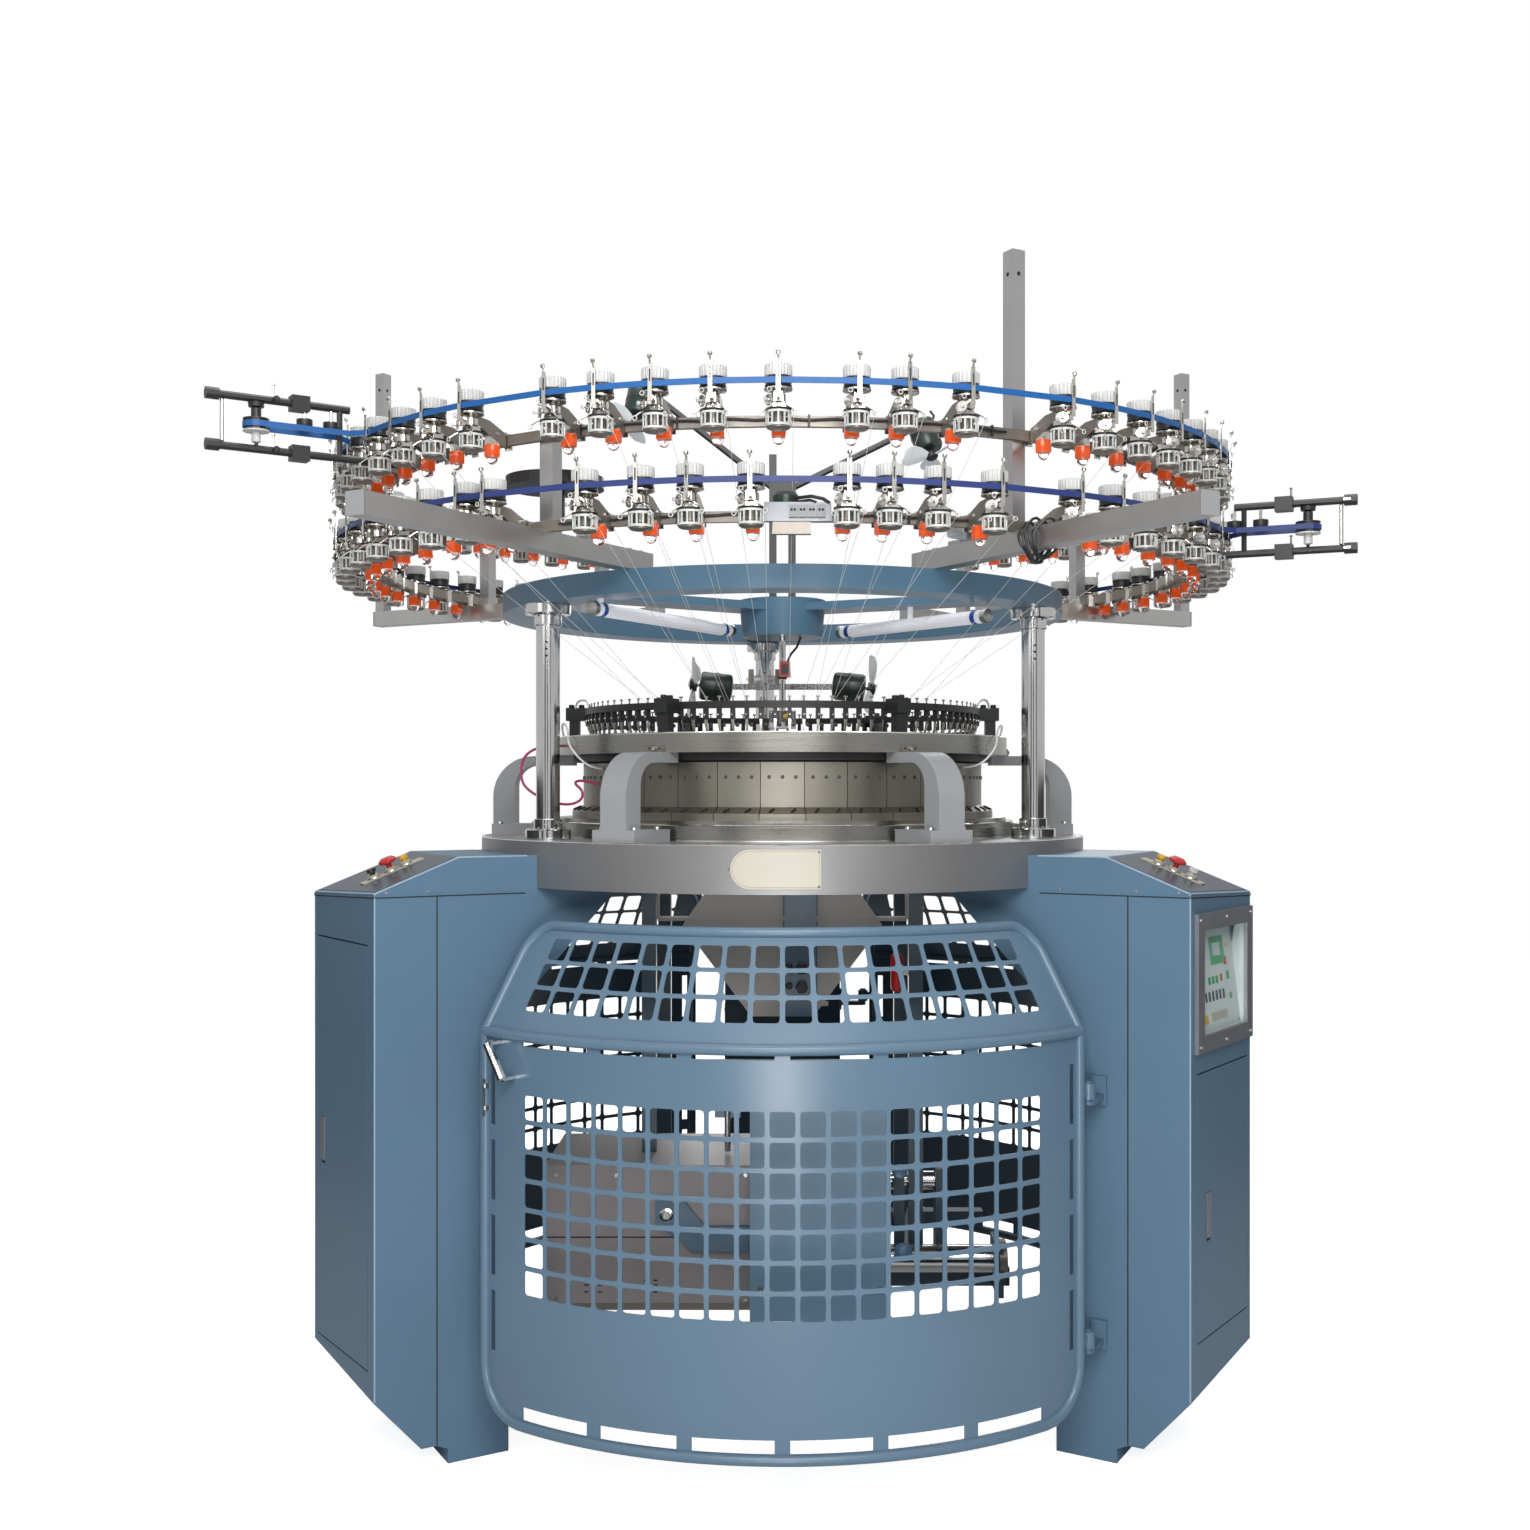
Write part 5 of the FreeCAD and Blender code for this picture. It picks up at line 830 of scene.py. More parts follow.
def guard_loop(radius):
    """The line of the guard's tube frame, from the bottom middle round to itself."""
    across = math.degrees(GUARD_CORNER / radius)
    run = HOOD_RADIUS - radius

    def hood_point(turn, height):
        share = (height - GUARD_MIDDLE) / (GUARD_TOP - GUARD_MIDDLE)
        return around(radius + run * share, turn, height)

    right = [around(radius, turn, GUARD_LOW) for turn in spans(0.0, GUARD_HALF - across, (), FACE_STEP)[:-1]]
    for step in range(9):
        angle = math.radians(90 * step / 8)
        right.append(around(radius, GUARD_HALF - across * (1 - math.sin(angle)),
                            GUARD_LOW + GUARD_CORNER * (1 - math.cos(angle))))
    right += [around(radius, GUARD_HALF, height) for height in (400.0, 700.0, 870.0, 886.0)]
    right += [hood_point(GUARD_HALF, height) for height in (900.0, 916.0, 970.0)]
    for step in range(9):
        angle = math.radians(90 * step / 8)
        right.append(hood_point(GUARD_HALF - HOOD_CORNER_TURN * (1 - math.cos(angle)),
                                GUARD_TOP - HOOD_CORNER_RISE * (1 - math.sin(angle))))
    right += [around(HOOD_RADIUS, turn, GUARD_TOP)
              for turn in spans(0.0, GUARD_HALF - HOOD_CORNER_TURN, (), FACE_STEP)[-2::-1]]
    left = [Vector((-point.x, point.y, point.z)) for point in right[-2:0:-1]]
    return right + left


def guard_holes(radius):
    """The openings of the lower panel: its grid, the slots under the tubes and by the uprights."""
    pitch, bar = sizes().grid_pitch / MM, sizes().grid_bar / MM
    turn, half_bar = math.degrees(pitch / radius), math.degrees(bar / 2 / radius)
    holes = []
    for column in range(GRID_COLUMNS):
        middle = (column - (GRID_COLUMNS - 1) / 2) * turn
        for row in range(GRID_ROWS):
            low = GRID_LOW + row * pitch
            holes.append((middle - turn / 2 + half_bar, middle + turn / 2 - half_bar, low, low + pitch - bar))
    for slot in range(SLOTS):
        middle = (slot - (SLOTS - 1) / 2) * SLOT_PITCH
        holes.append((middle - SLOT_HALF, middle + SLOT_HALF, GUARD_LOW + GUARD_TUBE,
                      GUARD_LOW + GUARD_TUBE + 26.0))
        holes.append((middle - SLOT_HALF, middle + SLOT_HALF, GUARD_MIDDLE - GUARD_TUBE - 8.0,
                      GUARD_MIDDLE - GUARD_TUBE))
    for side in (-1, 1):
        middle = side * (GUARD_HALF - 1.5)
        holes += [(middle - 0.5, middle + 0.5, low, low + 120.0) for low in SIDE_SLOTS]
    return holes


def hood_holes():
    """The openings of the cranked hood."""
    pitch, bar = sizes().grid_pitch / MM, sizes().grid_bar / MM
    rise = (GUARD_TOP - GUARD_MIDDLE) / math.hypot(GUARD_TOP - GUARD_MIDDLE, PACKED_RADIUS - HOOD_RADIUS)
    run = (GUARD_TOP - GUARD_MIDDLE) / rise
    turn, half_bar = 2 * HOOD_HALF / HOOD_COLUMNS, math.degrees(bar / 2 / HOOD_RADIUS)
    holes = []
    for column in range(HOOD_COLUMNS):
        middle = (column - (HOOD_COLUMNS - 1) / 2) * turn
        for row in range(HOOD_ROWS):
            low = GUARD_MIDDLE + (HOOD_FIRST * run + row * pitch) * rise
            holes.append((middle - turn / 2 + half_bar, middle + turn / 2 - half_bar, low,
                          low + (pitch - bar) * rise))
    return holes


def hinge_pin(radius):
    """The foot of the front guard's hinge axis."""
    return around(radius, GUARD_HALF + math.degrees(HINGE_SHIFT / radius), 0)


def add_guard(name):
    """One guard's sheets with their openings, its tube rim and its hinge eyes."""
    radius = sizes().guard_radius / MM
    piece = Piece(f"{name}_panel")
    holes = guard_holes(radius)
    turns = spans(-GUARD_HALF, GUARD_HALF, [(a, b) for a, b, c, d in holes], FACE_STEP)
    heights = spans(GUARD_LOW, GUARD_MIDDLE, [(c, d) for a, b, c, d in holes] + list(CORNER_BANDS), 90.0)
    holed_sheet(piece, turns, heights, holes, lambda height: radius, round_corner)
    holes = hood_holes()
    slope = (HOOD_RADIUS - radius) / (GUARD_TOP - GUARD_MIDDLE)
    turns = spans(-GUARD_HALF, GUARD_HALF, [(a, b) for a, b, c, d in holes], FACE_STEP)
    heights = spans(GUARD_MIDDLE, GUARD_TOP, [(c, d) for a, b, c, d in holes], 12.0)
    holed_sheet(piece, turns, heights, holes, lambda height: radius + (height - GUARD_MIDDLE) * slope,
                hood_corner)
    piece.tube(guard_loop(radius), GUARD_TUBE, 16, "guard_paint", closed=True)
    cross = spans(-GUARD_HALF, GUARD_HALF, (), FACE_STEP)
    piece.tube([around(radius, turn, GUARD_MIDDLE) for turn in cross], GUARD_TUBE, 16, "guard_paint")
    pin = hinge_pin(radius)
    for level in HINGE_LEVELS:
        piece.ring(HINGE_EYE, 20, "guard_paint", Matrix.Translation(pin + UP * level))
        start = around(radius, GUARD_HALF + 0.4, level)
        along = (pin - Vector((start.x, start.y, 0))).normalized()
        side, rise = along.cross(UP) * 7, UP * 10
        end = Vector((pin.x, pin.y, level)) - along * 12
        piece.loft([[spot - side - rise, spot + side - rise, spot + side + rise, spot - side + rise]
                    for spot in (start, end)], "guard_paint")
        for share in (0.35, 0.75):
            spot = start.lerp(end, share)
            piece.screw(spot - side, -side, 4.0, "steel", 2.5)
    place = turned_by(GUARD_TURNS[name])
    piece.repeat([place])
    if name == "front_guard":
        add_guard_keeper(piece, radius)
    piece.make(name, name, slot="guard_paint", sharp=40)


def add_guard_keeper(piece, radius):
    """The keeper plate on the left upright that meets the door switch, with its two screws."""
    piece.at(turned_by(-GUARD_HALF + 0.55))
    piece.block((-2.5, -radius - 14, 728), (2.5, -radius - 9, 800), "steel")
    piece.block((-5, -radius - 10, 738), (5, -radius + 2, 746), "steel")
    piece.block((-5, -radius - 10, 782), (5, -radius + 2, 790), "steel")
    piece.at()


class MACHINE_OT_guards(bpy.types.Operator):
    """Add the three perforated guards with their full grids and round tube frames"""

    bl_idname = "machine.guards"
    bl_label = "Guards"

    def execute(self, context):
        for name in GUARD_TURNS:
            add_guard(name)
        return {"FINISHED"}


# ---- feeders -----------------------------------------------------------------------------------------

TIER_LEVELS = {"lower": 1878.0, "upper": 2052.0}
FRONT_FEEDERS = {
    "upper": (-24.5, -18.9, -13.0, -7.0, -0.4, 7.5, 12.5, 19.1),
    "lower": (-20.7, -14.5, -9.35, -3.15, 6.5, 10.9, 16.0, 22.4),
}
TIER_PITCH, TIER_SPAN, ARM_CLEARANCE = 6.1, 147.0, 2.75
ARM_AZIMUTHS = (29.5, 119.0, 145.0, -29.5, -119.0, -145.0)


def feeder_azimuths(tier):
    """The front feeders as listed, then steady steps round each side from the arms."""
    first = {"upper": (31.0, -35.5), "lower": (32.2, -30.0)}[tier]
    right = [first[0] + TIER_PITCH * i for i in range(30) if first[0] + TIER_PITCH * i <= TIER_SPAN]
    left = [first[1] - TIER_PITCH * i for i in range(30) if first[1] - TIER_PITCH * i >= -TIER_SPAN]
    azimuths = left[::-1] + list(FRONT_FEEDERS[tier]) + right
    if tier == "upper":
        return azimuths
    for arm in ARM_AZIMUTHS:
        azimuths = [arm + math.copysign(ARM_CLEARANCE, azimuth - arm)
                    if abs(azimuth - arm) < ARM_CLEARANCE else azimuth
                    for azimuth in azimuths]
    return azimuths


def ribbed_cap(piece, radius, low, high):
    """The white wheel on top of a feeder, with its finger ribs and a shallow dish."""
    ribs = 24
    reach = [radius if j % 2 else radius - 1.3 for j in range(ribs * 2)]
    rims = ((0.96, low), (1.0, low + 2), (1.0, high - 2), (0.94, high), (0.80, high), (0.74, high - 3))
    piece.loft([[(r * s * math.cos(t), r * s * math.sin(t), z) for r, t in zip(reach, angles(ribs * 2))]
                for s, z in rims], "white_plastic")


def cage_wheel(piece, radius, low, high):
    """The yarn wheel: two rims joined by upright pins, with the yarn's dark core inside."""
    for z in (low, high - 4):
        piece.ring(((radius - 3, z), (radius, z), (radius, z + 4), (radius - 3, z + 4)), 20, "wheel_plastic")
    for turn in angles(12):
        piece.block((radius - 3, -1.4, low + 3), (radius - 0.6, 1.4, high - 3), "wheel_plastic",
                    place=Matrix.Rotation(turn, 4, "Z"))
    piece.turn(((13, low - 2), (14.5, low + 4), (11.5, low + 8), (11.5, high - 6), (15, high)), 16,
               "bracket_steel")


LENS_OUTLINE = ((13, -8), (13, 8), (9, 12), (-9, 12), (-13, 8), (-13, -8), (-9, -12), (9, -12))


def feeder_form(piece):
    """One feeder about its spindle: local -Y looks out from the machine, Z from the beam's middle."""
    ribbed_cap(piece, 25.0, 58.0, 79.0)
    piece.turn(((23, 53.5), (24, 54.5), (24, 57), (22, 58)), 20, "black_plastic")
    piece.turn(((21, 39), (24.6, 40), (24.6, 42), (23.6, 43), (23.6, 52), (24.6, 53), (24.6, 54)), 20,
               "dark_metal")
    piece.turn(((9, 30), (25, 34), (26, 35.5), (26, 37), (20, 39)), 20, "nickel")
    piece.turn(((9, -2), (11, 2), (11, 10), (14, 14), (14, 26), (9, 31)), 14, "nickel")
    piece.block((-13, -12, 2), (13, 14, 12), "nickel", 2.0)
    piece.block((-9, -20, 12), (9, 24, 29), "nickel", 1.5)
    piece.turn(((17, -3), (24, -1.5), (24.6, 1), (14, 3)), 20, "black_plastic")
    cage_wheel(piece, 23.4, -30.0, -3.0)
    piece.turn(((8, -36), (17, -35), (21, -33), (22, -30)), 16, "bracket_steel")
    # the spring post with its knob, in front of the belt
    piece.block((-4, -31.5, 16), (4, -29, 84), "nickel", 0.4)
    piece.block((-4, -30, 22), (4, -14, 26), "nickel")
    piece.block((-1.2, -32, 50), (1.2, -31.3, 72), "black_plastic")
    piece.turn(((2, 0), (2, 8), (4.2, 10), (4.8, 13), (3.2, 16)), 10, "nickel",
               facing((0, -30, 82), (0, -0.25, 1)))
    # yarn brake: two pressed discs on a stud, and the eyelets before and after them
    for turn in (-1, 1):
        piece.turn(((2, 0), (9.5, 1.2), (10, 2.4), (4, 3.2)), 16, "nickel",
                   facing((-17 + turn * 1.5, -17 - turn * 1.5, 14), (-0.7 * turn, -0.7 * turn, 0.0)))
    piece.tube([(-8, -12, 14), (-23, -25, 14)], 1.8, 6, "nickel")
    piece.turn(((3.4, 0), (3.8, 2), (3.4, 4)), 10, "white_plastic", facing((-22, -24, 14), (-0.7, -0.7, 0)))
    piece.tube([(12, -8, 7), (24, -20, -2), (27, -27, -8)], 1.3, 6, "nickel")
    piece.tube([(-10, -8, 5), (-22, -22, -4), (-27, -30, -11)], 1.3, 6, "nickel")
    for end in ((27, -28, -9), (-28, -31, -14), (-16, -26, 31)):
        eyelet = [(end[0] + 4 * math.cos(a), end[1], end[2] + 4 * math.sin(a)) for a in angles(10)]
        piece.tube(eyelet, 1.0, 5, "white_plastic", closed=True)
    piece.tube([(-9, -14, 24), (-16, -26, 27)], 1.2, 5, "nickel")
    # bracket back to the beam: two dark cheeks, a bright saddle and the clamp screws
    cheek = [(83, -17), (83, 12), (40, 30), (8, 33), (8, 18), (40, 2)]
    for x in (-9.0, 6.5):
        piece.slab(cheek, 2.5, "bracket_steel",
                   Matrix(((0, 0, 1, x), (1, 0, 0, 0), (0, 1, 0, 0), (0, 0, 0, 1))))
    piece.block((-9, 66, 10), (9, 104, 13.5), "nickel")
    piece.block((-9, 98, -17), (9, 101, 12), "nickel")
    piece.screw((0, 90, 13), UPWARD, 4.2, "steel")
    piece.screw((9.2, 60, 8), (1, 0, 0), 3.4, "steel")
    piece.screw((-9.2, 60, 8), (-1, 0, 0), 3.4, "steel")
    # stop lamp: an orange lens over a clear dome, hung from the bracket behind the yarn wheel
    piece.block((-9, 44, -13), (9, 66, 18), "nickel", 1.0)
    piece.loft([[(x * s, 55 + y * s, z) for x, y in LENS_OUTLINE] for s, z in
                ((0.90, -13), (1.0, -15), (1.0, -34), (0.96, -36))], "lens_orange")
    piece.turn(((11, 0), (11.4, 4), (10, 9), (6.5, 13), (2.5, 15)), 14, "clear_tip",
               facing((0, 55, -35.5), (0, 0, -1)))


class MACHINE_OT_feeders(bpy.types.Operator):
    """Add both tiers of yarn feeders"""

    bl_idname = "machine.feeders"
    bl_label = "Feeders"

    def execute(self, context):
        circle = sizes().feeder_circle / MM
        for tier, level in TIER_LEVELS.items():
            piece = Piece(f"{tier}_feeder_set")
            feeder_form(piece)
            piece.repeat([turned_by(azimuth) @ Matrix.Translation((0, -circle, level))
                          for azimuth in feeder_azimuths(tier)])
            piece.make("frame", f"{tier}_feeders", slot="white_plastic")
        return {"FINISHED"}


# ---- knitting head -----------------------------------------------------------------------------------

CAM_SECTIONS, CAM_TURN, SEAM_TURN = 32, 360.0 / 32, 0.09
CAM_PROFILE = ((412, 1311), (501, 1311), (501, 1325), (499.5, 1327), (481, 1335.5), (475, 1339), (475, 1435),
               (471, 1439), (412, 1439))
CAM_FACE = 475.0
ARCH_AZIMUTHS = (-150.0, -90.0, -30.0, 30.0, 90.0, 150.0)
COLUMN_CIRCLE, COLUMN_AZIMUTHS = 622.0, (-55.5, 64.5, 184.5)
COLUMN_PROFILE = ((49, 1268), (50, 1269), (50, 1288), (48.5, 1290), (32, 1290), (31, 1291), (31, 1311),
                  (30, 1312),
                  (26, 1312.5), (26, 1733), (29, 1733.5), (30, 1735), (30, 1757), (48.5, 1758), (50, 1760),
                  (50, 1779), (49, 1780))
GUIDE_CIRCLE, GUIDE_RING_LOW, GUIDE_RING_TOP = 463.0, 1550.0, 1565.0


def outward_at(radius, azimuth, height):
    """A point on a round face and the direction that looks out of it."""
    return around(radius, azimuth, height), around(1.0, azimuth, 0)


def add_cam_boxes():
    """The ring of cam boxes: bevelled feet with slots, upright faces with their screws."""
    piece = Piece("cam_boxes")
    half = CAM_TURN / 2 - SEAM_TURN
    steps = [-half + 2 * half * i / 4 for i in range(5)]
    piece.loft([[around(radius, turn, height) for radius, height in CAM_PROFILE] for turn in steps],
               "cam_steel")
    for turn in (-3.4, 0.0, 3.4):
        point, out = outward_at(CAM_FACE, turn, 1403.0)
        piece.screw(point, out, 4.2, "oiled_paint", 1.4)
    for turn in (-2.7, 2.7):
        low, high = around(498.0, turn - 0.5, 1327.9), around(483.0, turn + 0.5, 1334.9)
        piece.tube([low, low.lerp(high, 0.5) + Vector((0, 0, 0.3)), high], 2.9, 8, "hole_dark")
    piece.repeat([turned_by(CAM_TURN * i) for i in range(CAM_SECTIONS)])
    piece.make("frame", "cam_ring", slot="steel", sharp=20)


def add_rims():
    """Polished edges of the gear cover and the bed, and the blocks that hold the cap ring on the arches."""
    piece = Piece("head_rims")
    piece.hoop(((536, 1300.4), (548.2, 1300.4), (549.4, 1301.6), (548.2, 1303.4), (536, 1303.4)), 128,
               "polished_rim")
    piece.hoop(((540, 1267.4), (549.6, 1267.4), (549.6, 1270.5), (540, 1271.5)), 128, "polished_rim")
    piece.hoop(((705, 1267.2), (710.4, 1267.2), (711.3, 1266.4), (711.6, 1267.2), (710.6, 1268.5),
                (705, 1268.5)), 160, "polished_rim")
    piece.hoop(((528, 1496.4), (533.2, 1496.4), (534.5, 1495.4), (534.5, 1496.6), (533.0, 1498), (528, 1498)),
               128, "polished_rim")
    for azimuth in ARCH_AZIMUTHS:
        piece.at(turned_by(azimuth))
        piece.block((-19, -541, 1455), (19, -531, 1472), "bracket_steel", 0.8)
        piece.screw((0, -541, 1463.5), FRONT, 5.0, "steel")
        for side in (-13, 13):
            piece.screw((side, -541, 1463.5), FRONT, 2.2, "hole_dark", 0.5)
        for reach in (590, 672):
            for side in (-40, 40):
                piece.screw((side, -reach, 1294), UPWARD, 6.5, "steel")
    piece.make("frame", slot="bright_steel")


def add_yarn_guides():
    """The guides round the black ring: a wing screw above, a dark holder below and a bright finger."""
    count = sizes().guide_count
    piece = Piece("yarn_guide_set")
    circle = -GUIDE_CIRCLE
    low, top = GUIDE_RING_LOW, GUIDE_RING_TOP
    piece.turn(((1.7, -0.5), (1.7, 8), (1.2, 9)), 8, "bracket_steel", Matrix.Translation((0, circle, top)))
    piece.block((-4.6, circle - 1.2, top + 8), (4.6, circle + 1.2, top + 11.5), "bracket_steel", 0.5)
    piece.block((-4.6, circle - 7, low - 24), (4.6, circle + 5, low + 0.5), "black_plastic", 0.4)
    finger = ((3.2, -5, 1, -14), (2.6, -2, 2, -34), (1.6, 5, 8, -52))
    piece.loft([[(-x, circle + y1, low + z), (x, circle + y1, low + z), (x, circle + y2, low + z),
                 (-x, circle + y2, low + z)] for x, y1, y2, z in finger], "nickel")
    piece.screw((0, circle - 7, low - 14), FRONT, 2.4, "nickel")
    piece.turn(((2.0, -3), (4.4, -2), (4.4, 2), (2.0, 3)), 10, "black_plastic",
               facing((9, circle + 3, low - 36), (0, 1, 0)))
    piece.tube([(2, circle, low - 36), (9, circle + 3, low - 36)], 1.0, 5, "nickel")
    piece.repeat([turned_by((i + 0.5) * 360.0 / count) for i in range(count)])
    for azimuth in ARCH_AZIMUTHS:
        piece.at(turned_by(azimuth))
        for reach in (483, 507):
            piece.turn(((6.5, -0.5), (7, 1), (7, 6), (5.5, 8), (2.8, 8), (2.5, 5)), 14, "black_plastic",
                       Matrix.Translation((0, -reach, 1571)))
    piece.make("frame", "yarn_guides", slot="steel")


def add_columns():
    """The three polished columns, turned round, with their flanges, bolts and the row of holes."""
    piece = Piece("polished_columns")
    for azimuth in COLUMN_AZIMUTHS:
        foot = around(COLUMN_CIRCLE, azimuth, 0)
        piece.at(Matrix.Translation(foot))
        piece.turn(COLUMN_PROFILE, 48, "bright_steel")
        for turn in (45, 135, 225, 315):
            bolt = (39.5 * math.cos(math.radians(turn)), 39.5 * math.sin(math.radians(turn)))
            piece.screw((*bolt, 1290), UPWARD, 5.0, "steel", 4)
            piece.screw((*bolt, 1758), (0, 0, -1), 5.0, "steel", 4)
        piece.screw((0, -31, 1301), FRONT, 3.4, "steel", 1.5)
        for height in (1697.0, 1682.0, 1667.0):
            piece.turn(((2.6, -1.5), (2.6, 0.15), (2.0, 0.2)), 10, "hole_dark",
                       facing((0, -26, height), FRONT))
    piece.make("frame", "columns", slot="bright_steel", sharp=25)


def add_nameplate():
    """The blank plate riveted on the apron, round at its left end and square at its right."""
    piece = Piece("blank_nameplate")
    face, middle, half = 711.0, 1220.0, 39.0
    left, right, bend = -103.0, 76.0, -64.0

    def half_height(x, rim):
        inside = half - rim
        if x >= bend:
            return inside
        return math.sqrt(max(inside ** 2 - ((bend - x) * inside / (bend - left - rim)) ** 2, 0.04))

    def strip(rim, low, high, finish):
        start, end = left + rim, right - rim
        marks = [start + (bend - start) * (1 - math.cos(math.radians(9 * i))) for i in range(11)]
        marks += [bend + (end - bend) * i / 10 for i in range(1, 11)]
        sections = []
        for x in marks:
            turn, tall = math.degrees(x / face), half_height(x, rim)
            sections.append([around(face + high, turn, middle - tall),
                             around(face + high, turn, middle + tall),
                             around(face + low, turn, middle + tall),
                             around(face + low, turn, middle - tall)])
        piece.loft(sections, finish)

    strip(0.0, -0.5, 1.4, "plate_cream")
    strip(3.4, 1.0, 1.7, "plate_line")
    strip(4.4, 1.2, 1.9, "plate_cream")
    for x, height in ((left - 3.0, 1220.0), (right - 4, 1254.0), (right - 4, 1186.0)):
        point, out = outward_at(face + (1.4 if x > left else 0), math.degrees(x / face), height)
        piece.turn(((2.6, -0.5), (2.5, 0.8), (1.4, 1.8)), 10, "bracket_steel", facing(point, out))
    piece.make("frame", slot="white_plastic", sharp=25)


class MACHINE_OT_head(bpy.types.Operator):
    """Add the cam boxes, polished rims, yarn guides, columns and the blank nameplate"""

    bl_idname = "machine.head"
    bl_label = "Knitting head"

    def execute(self, context):
        add_cam_boxes()
        add_rims()
        add_yarn_guides()
        add_columns()
        add_nameplate()
        return {"FINISHED"}


# ---- under and over the top ring ---------------------------------------------------------------------

LAMP_ENDS = (((-401, -500, 1757), (-124, -3, 1757)), ((451, -342, 1757), (140, 47, 1757)))
FANS = {
    # motor centre, direction that the shaft points
    "upper_left": ((-343, 0, 2305), (-0.15, -0.35, -1.0)),
    "upper_right": ((343, 0, 2225), (0.3, -0.3, -1.0)),
    "lower_left": ((-160, 0, 1622), (-1.0, -0.1, 0.1)),
    "lower_right": ((160, 0, 1622), (1.0, -0.1, -0.1)),
}
BLADES, BLADE_TWIST = 3, 24
# distance from the shaft and half width of each section of a blade
BLADE_SECTIONS = ((10, 8), (22, 15), (38, 22.5), (55, 27), (70, 27), (77, 23), (81, 14))


def add_lamp_trim():
    """Blue bands and metal caps at the ends of the two lamp tubes."""
    piece = Piece("lamp_trim")
    for ends in LAMP_ENDS:
        start, end = Vector(ends[0]), Vector(ends[1])
        for point, inward in ((start, end - start), (end, start - end)):
            place = facing(point, inward)
            piece.turn(((13, -1.5), (15.6, -0.5), (15.9, 1), (15.9, 13), (15.2, 14)), 24, "aluminium", place)
            piece.turn(((15.2, 30), (15.6, 30.5), (15.6, 43), (15.2, 43.5)), 24, "blue_band", place)
            for side in (-5, 5):
                piece.turn(((1.4, -8), (1.4, -1)), 6, "nickel", place @ Matrix.Translation((side, 0, 0)))
    piece.make("frame", slot="aluminium")


def add_fans():
    """Rounded motors, and rotors with three bowed paddle blades each."""
    motors = Piece("fan_motor_cases")
    for name, (centre, along) in FANS.items():
        place = facing(centre, along)
        motors.turn(((20, -39.5), (30, -37), (34.2, -30), (34.2, 31), (31, 37), (16, 39.4), (5.2, 39.4)), 32,
                    "oiled_green", place)
        motors.turn(((34.2, -4), (34.9, -3), (34.9, 3), (34.2, 4)), 32, "black_plastic", place)
        if name.startswith("upper"):
            lead = ((20, 20, -33), (26, 26, -46), (20, 24, -60))
            motors.tube([place @ Vector(point) for point in lead], 3.0, 8, "black_plastic")
        rotor = Piece(f"fan_{name}_rotor", place @ Matrix.Translation((0, 0, 39)))
        rotor.turn(((4, -18), (4, 6), (15, 6.5), (16, 9), (15, 20), (11, 24), (3, 25)), 24, "black_plastic")
        start = Vector(along).normalized().cross(Vector((0.2, 0.9, 0.1))).normalized()
        local = place.to_3x3().inverted() @ start
        first = math.degrees(math.atan2(local.y, local.x)) + 15
        twist = Matrix.Translation((0, 0, 15)) @ Matrix.Rotation(math.radians(BLADE_TWIST), 4, "X")
        rows = []
        for reach, wide in BLADE_SECTIONS:
            section = [(reach, -wide + 2 * wide * j / 6, 3.2 * math.sin(math.pi * j / 6)) for j in range(7)]
            rows.append(section + [(x, y, z - 1.6) for x, y, z in reversed(section)])
        for i in range(BLADES):
            spin = Matrix.Rotation(math.radians(first + 360 / BLADES * i), 4, "Z")
            # the blades' finish carries a painted glow
            rotor.loft(rows, "blade_white_glow", place=spin @ twist)
        rotor.make(f"fan_{name}", f"fan_{name}", slot="white_plastic", sharp=45)
    motors.make("frame", "fan_motors", slot="black_plastic")


def add_pole_fittings():
    """The sensor box under the hub with its marks, the red clip, and plates clamped on the rear column."""
    piece = Piece("sensor_box")
    piece.block((-32.5, -22.5, 1521.5), (32.5, 22.5, 1564.5), "key_panel_white", 1.5)
    piece.loft([[(12 + r * 12 * math.cos(t), y, 1551 + r * 6 * math.sin(t)) for t in angles(16)]
                for r, y in ((1, -22.0), (1, -23.4), (0.9, -23.8))], "yellow_button")
    for x in (-14.0, 6.0):
        piece.block((x, -23.2, 1528), (x + 8, -21.5, 1538), "black_plastic")
    for x in (-27, 27):
        for z in (1526, 1560):
            piece.screw((x, -22.5, z), FRONT, 2.4, "nickel", 1.0)
    piece.turn(((9.2, 1640), (11.5, 1641), (11.5, 1655), (9.2, 1656)), 20, "black_plastic")
    piece.block((-9, -13, 1645), (20, 9, 1683), "red_button", 2.0)
    piece.block((-3, -15, 1652), (15, -11, 1676), "black_plastic", 1.0)
    piece.tube([(44, -6, 1741), (34, -7, 1716), (20, -8, 1700), (12, -6, 1682)], 2.8, 8, "black_plastic")
    rear = around(COLUMN_CIRCLE, COLUMN_AZIMUTHS[2], 0)
    piece.at(Matrix.Translation(rear))
    piece.turn(((26.0, 1668), (31, 1669), (31, 1691), (26.0, 1692)), 32, "aluminium")
    piece.block((-52, -29, 1676), (46, -23, 1684), "aluminium", 0.5)
    for x in (-46.0, 28.0):
        piece.block((x, -32, 1651), (x + 16, -28, 1707), "bracket_steel", 0.6)
    piece.make("frame", slot="white_plastic", bevel=0.6)


class MACHINE_OT_top(bpy.types.Operator):
    """Add the lamp trim, the fans and the fittings on the pole"""

    bl_idname = "machine.top"
    bl_label = "Lamps, fans and pole"

    def execute(self, context):
        add_lamp_trim()
        add_fans()
        add_pole_fittings()
        return {"FINISHED"}


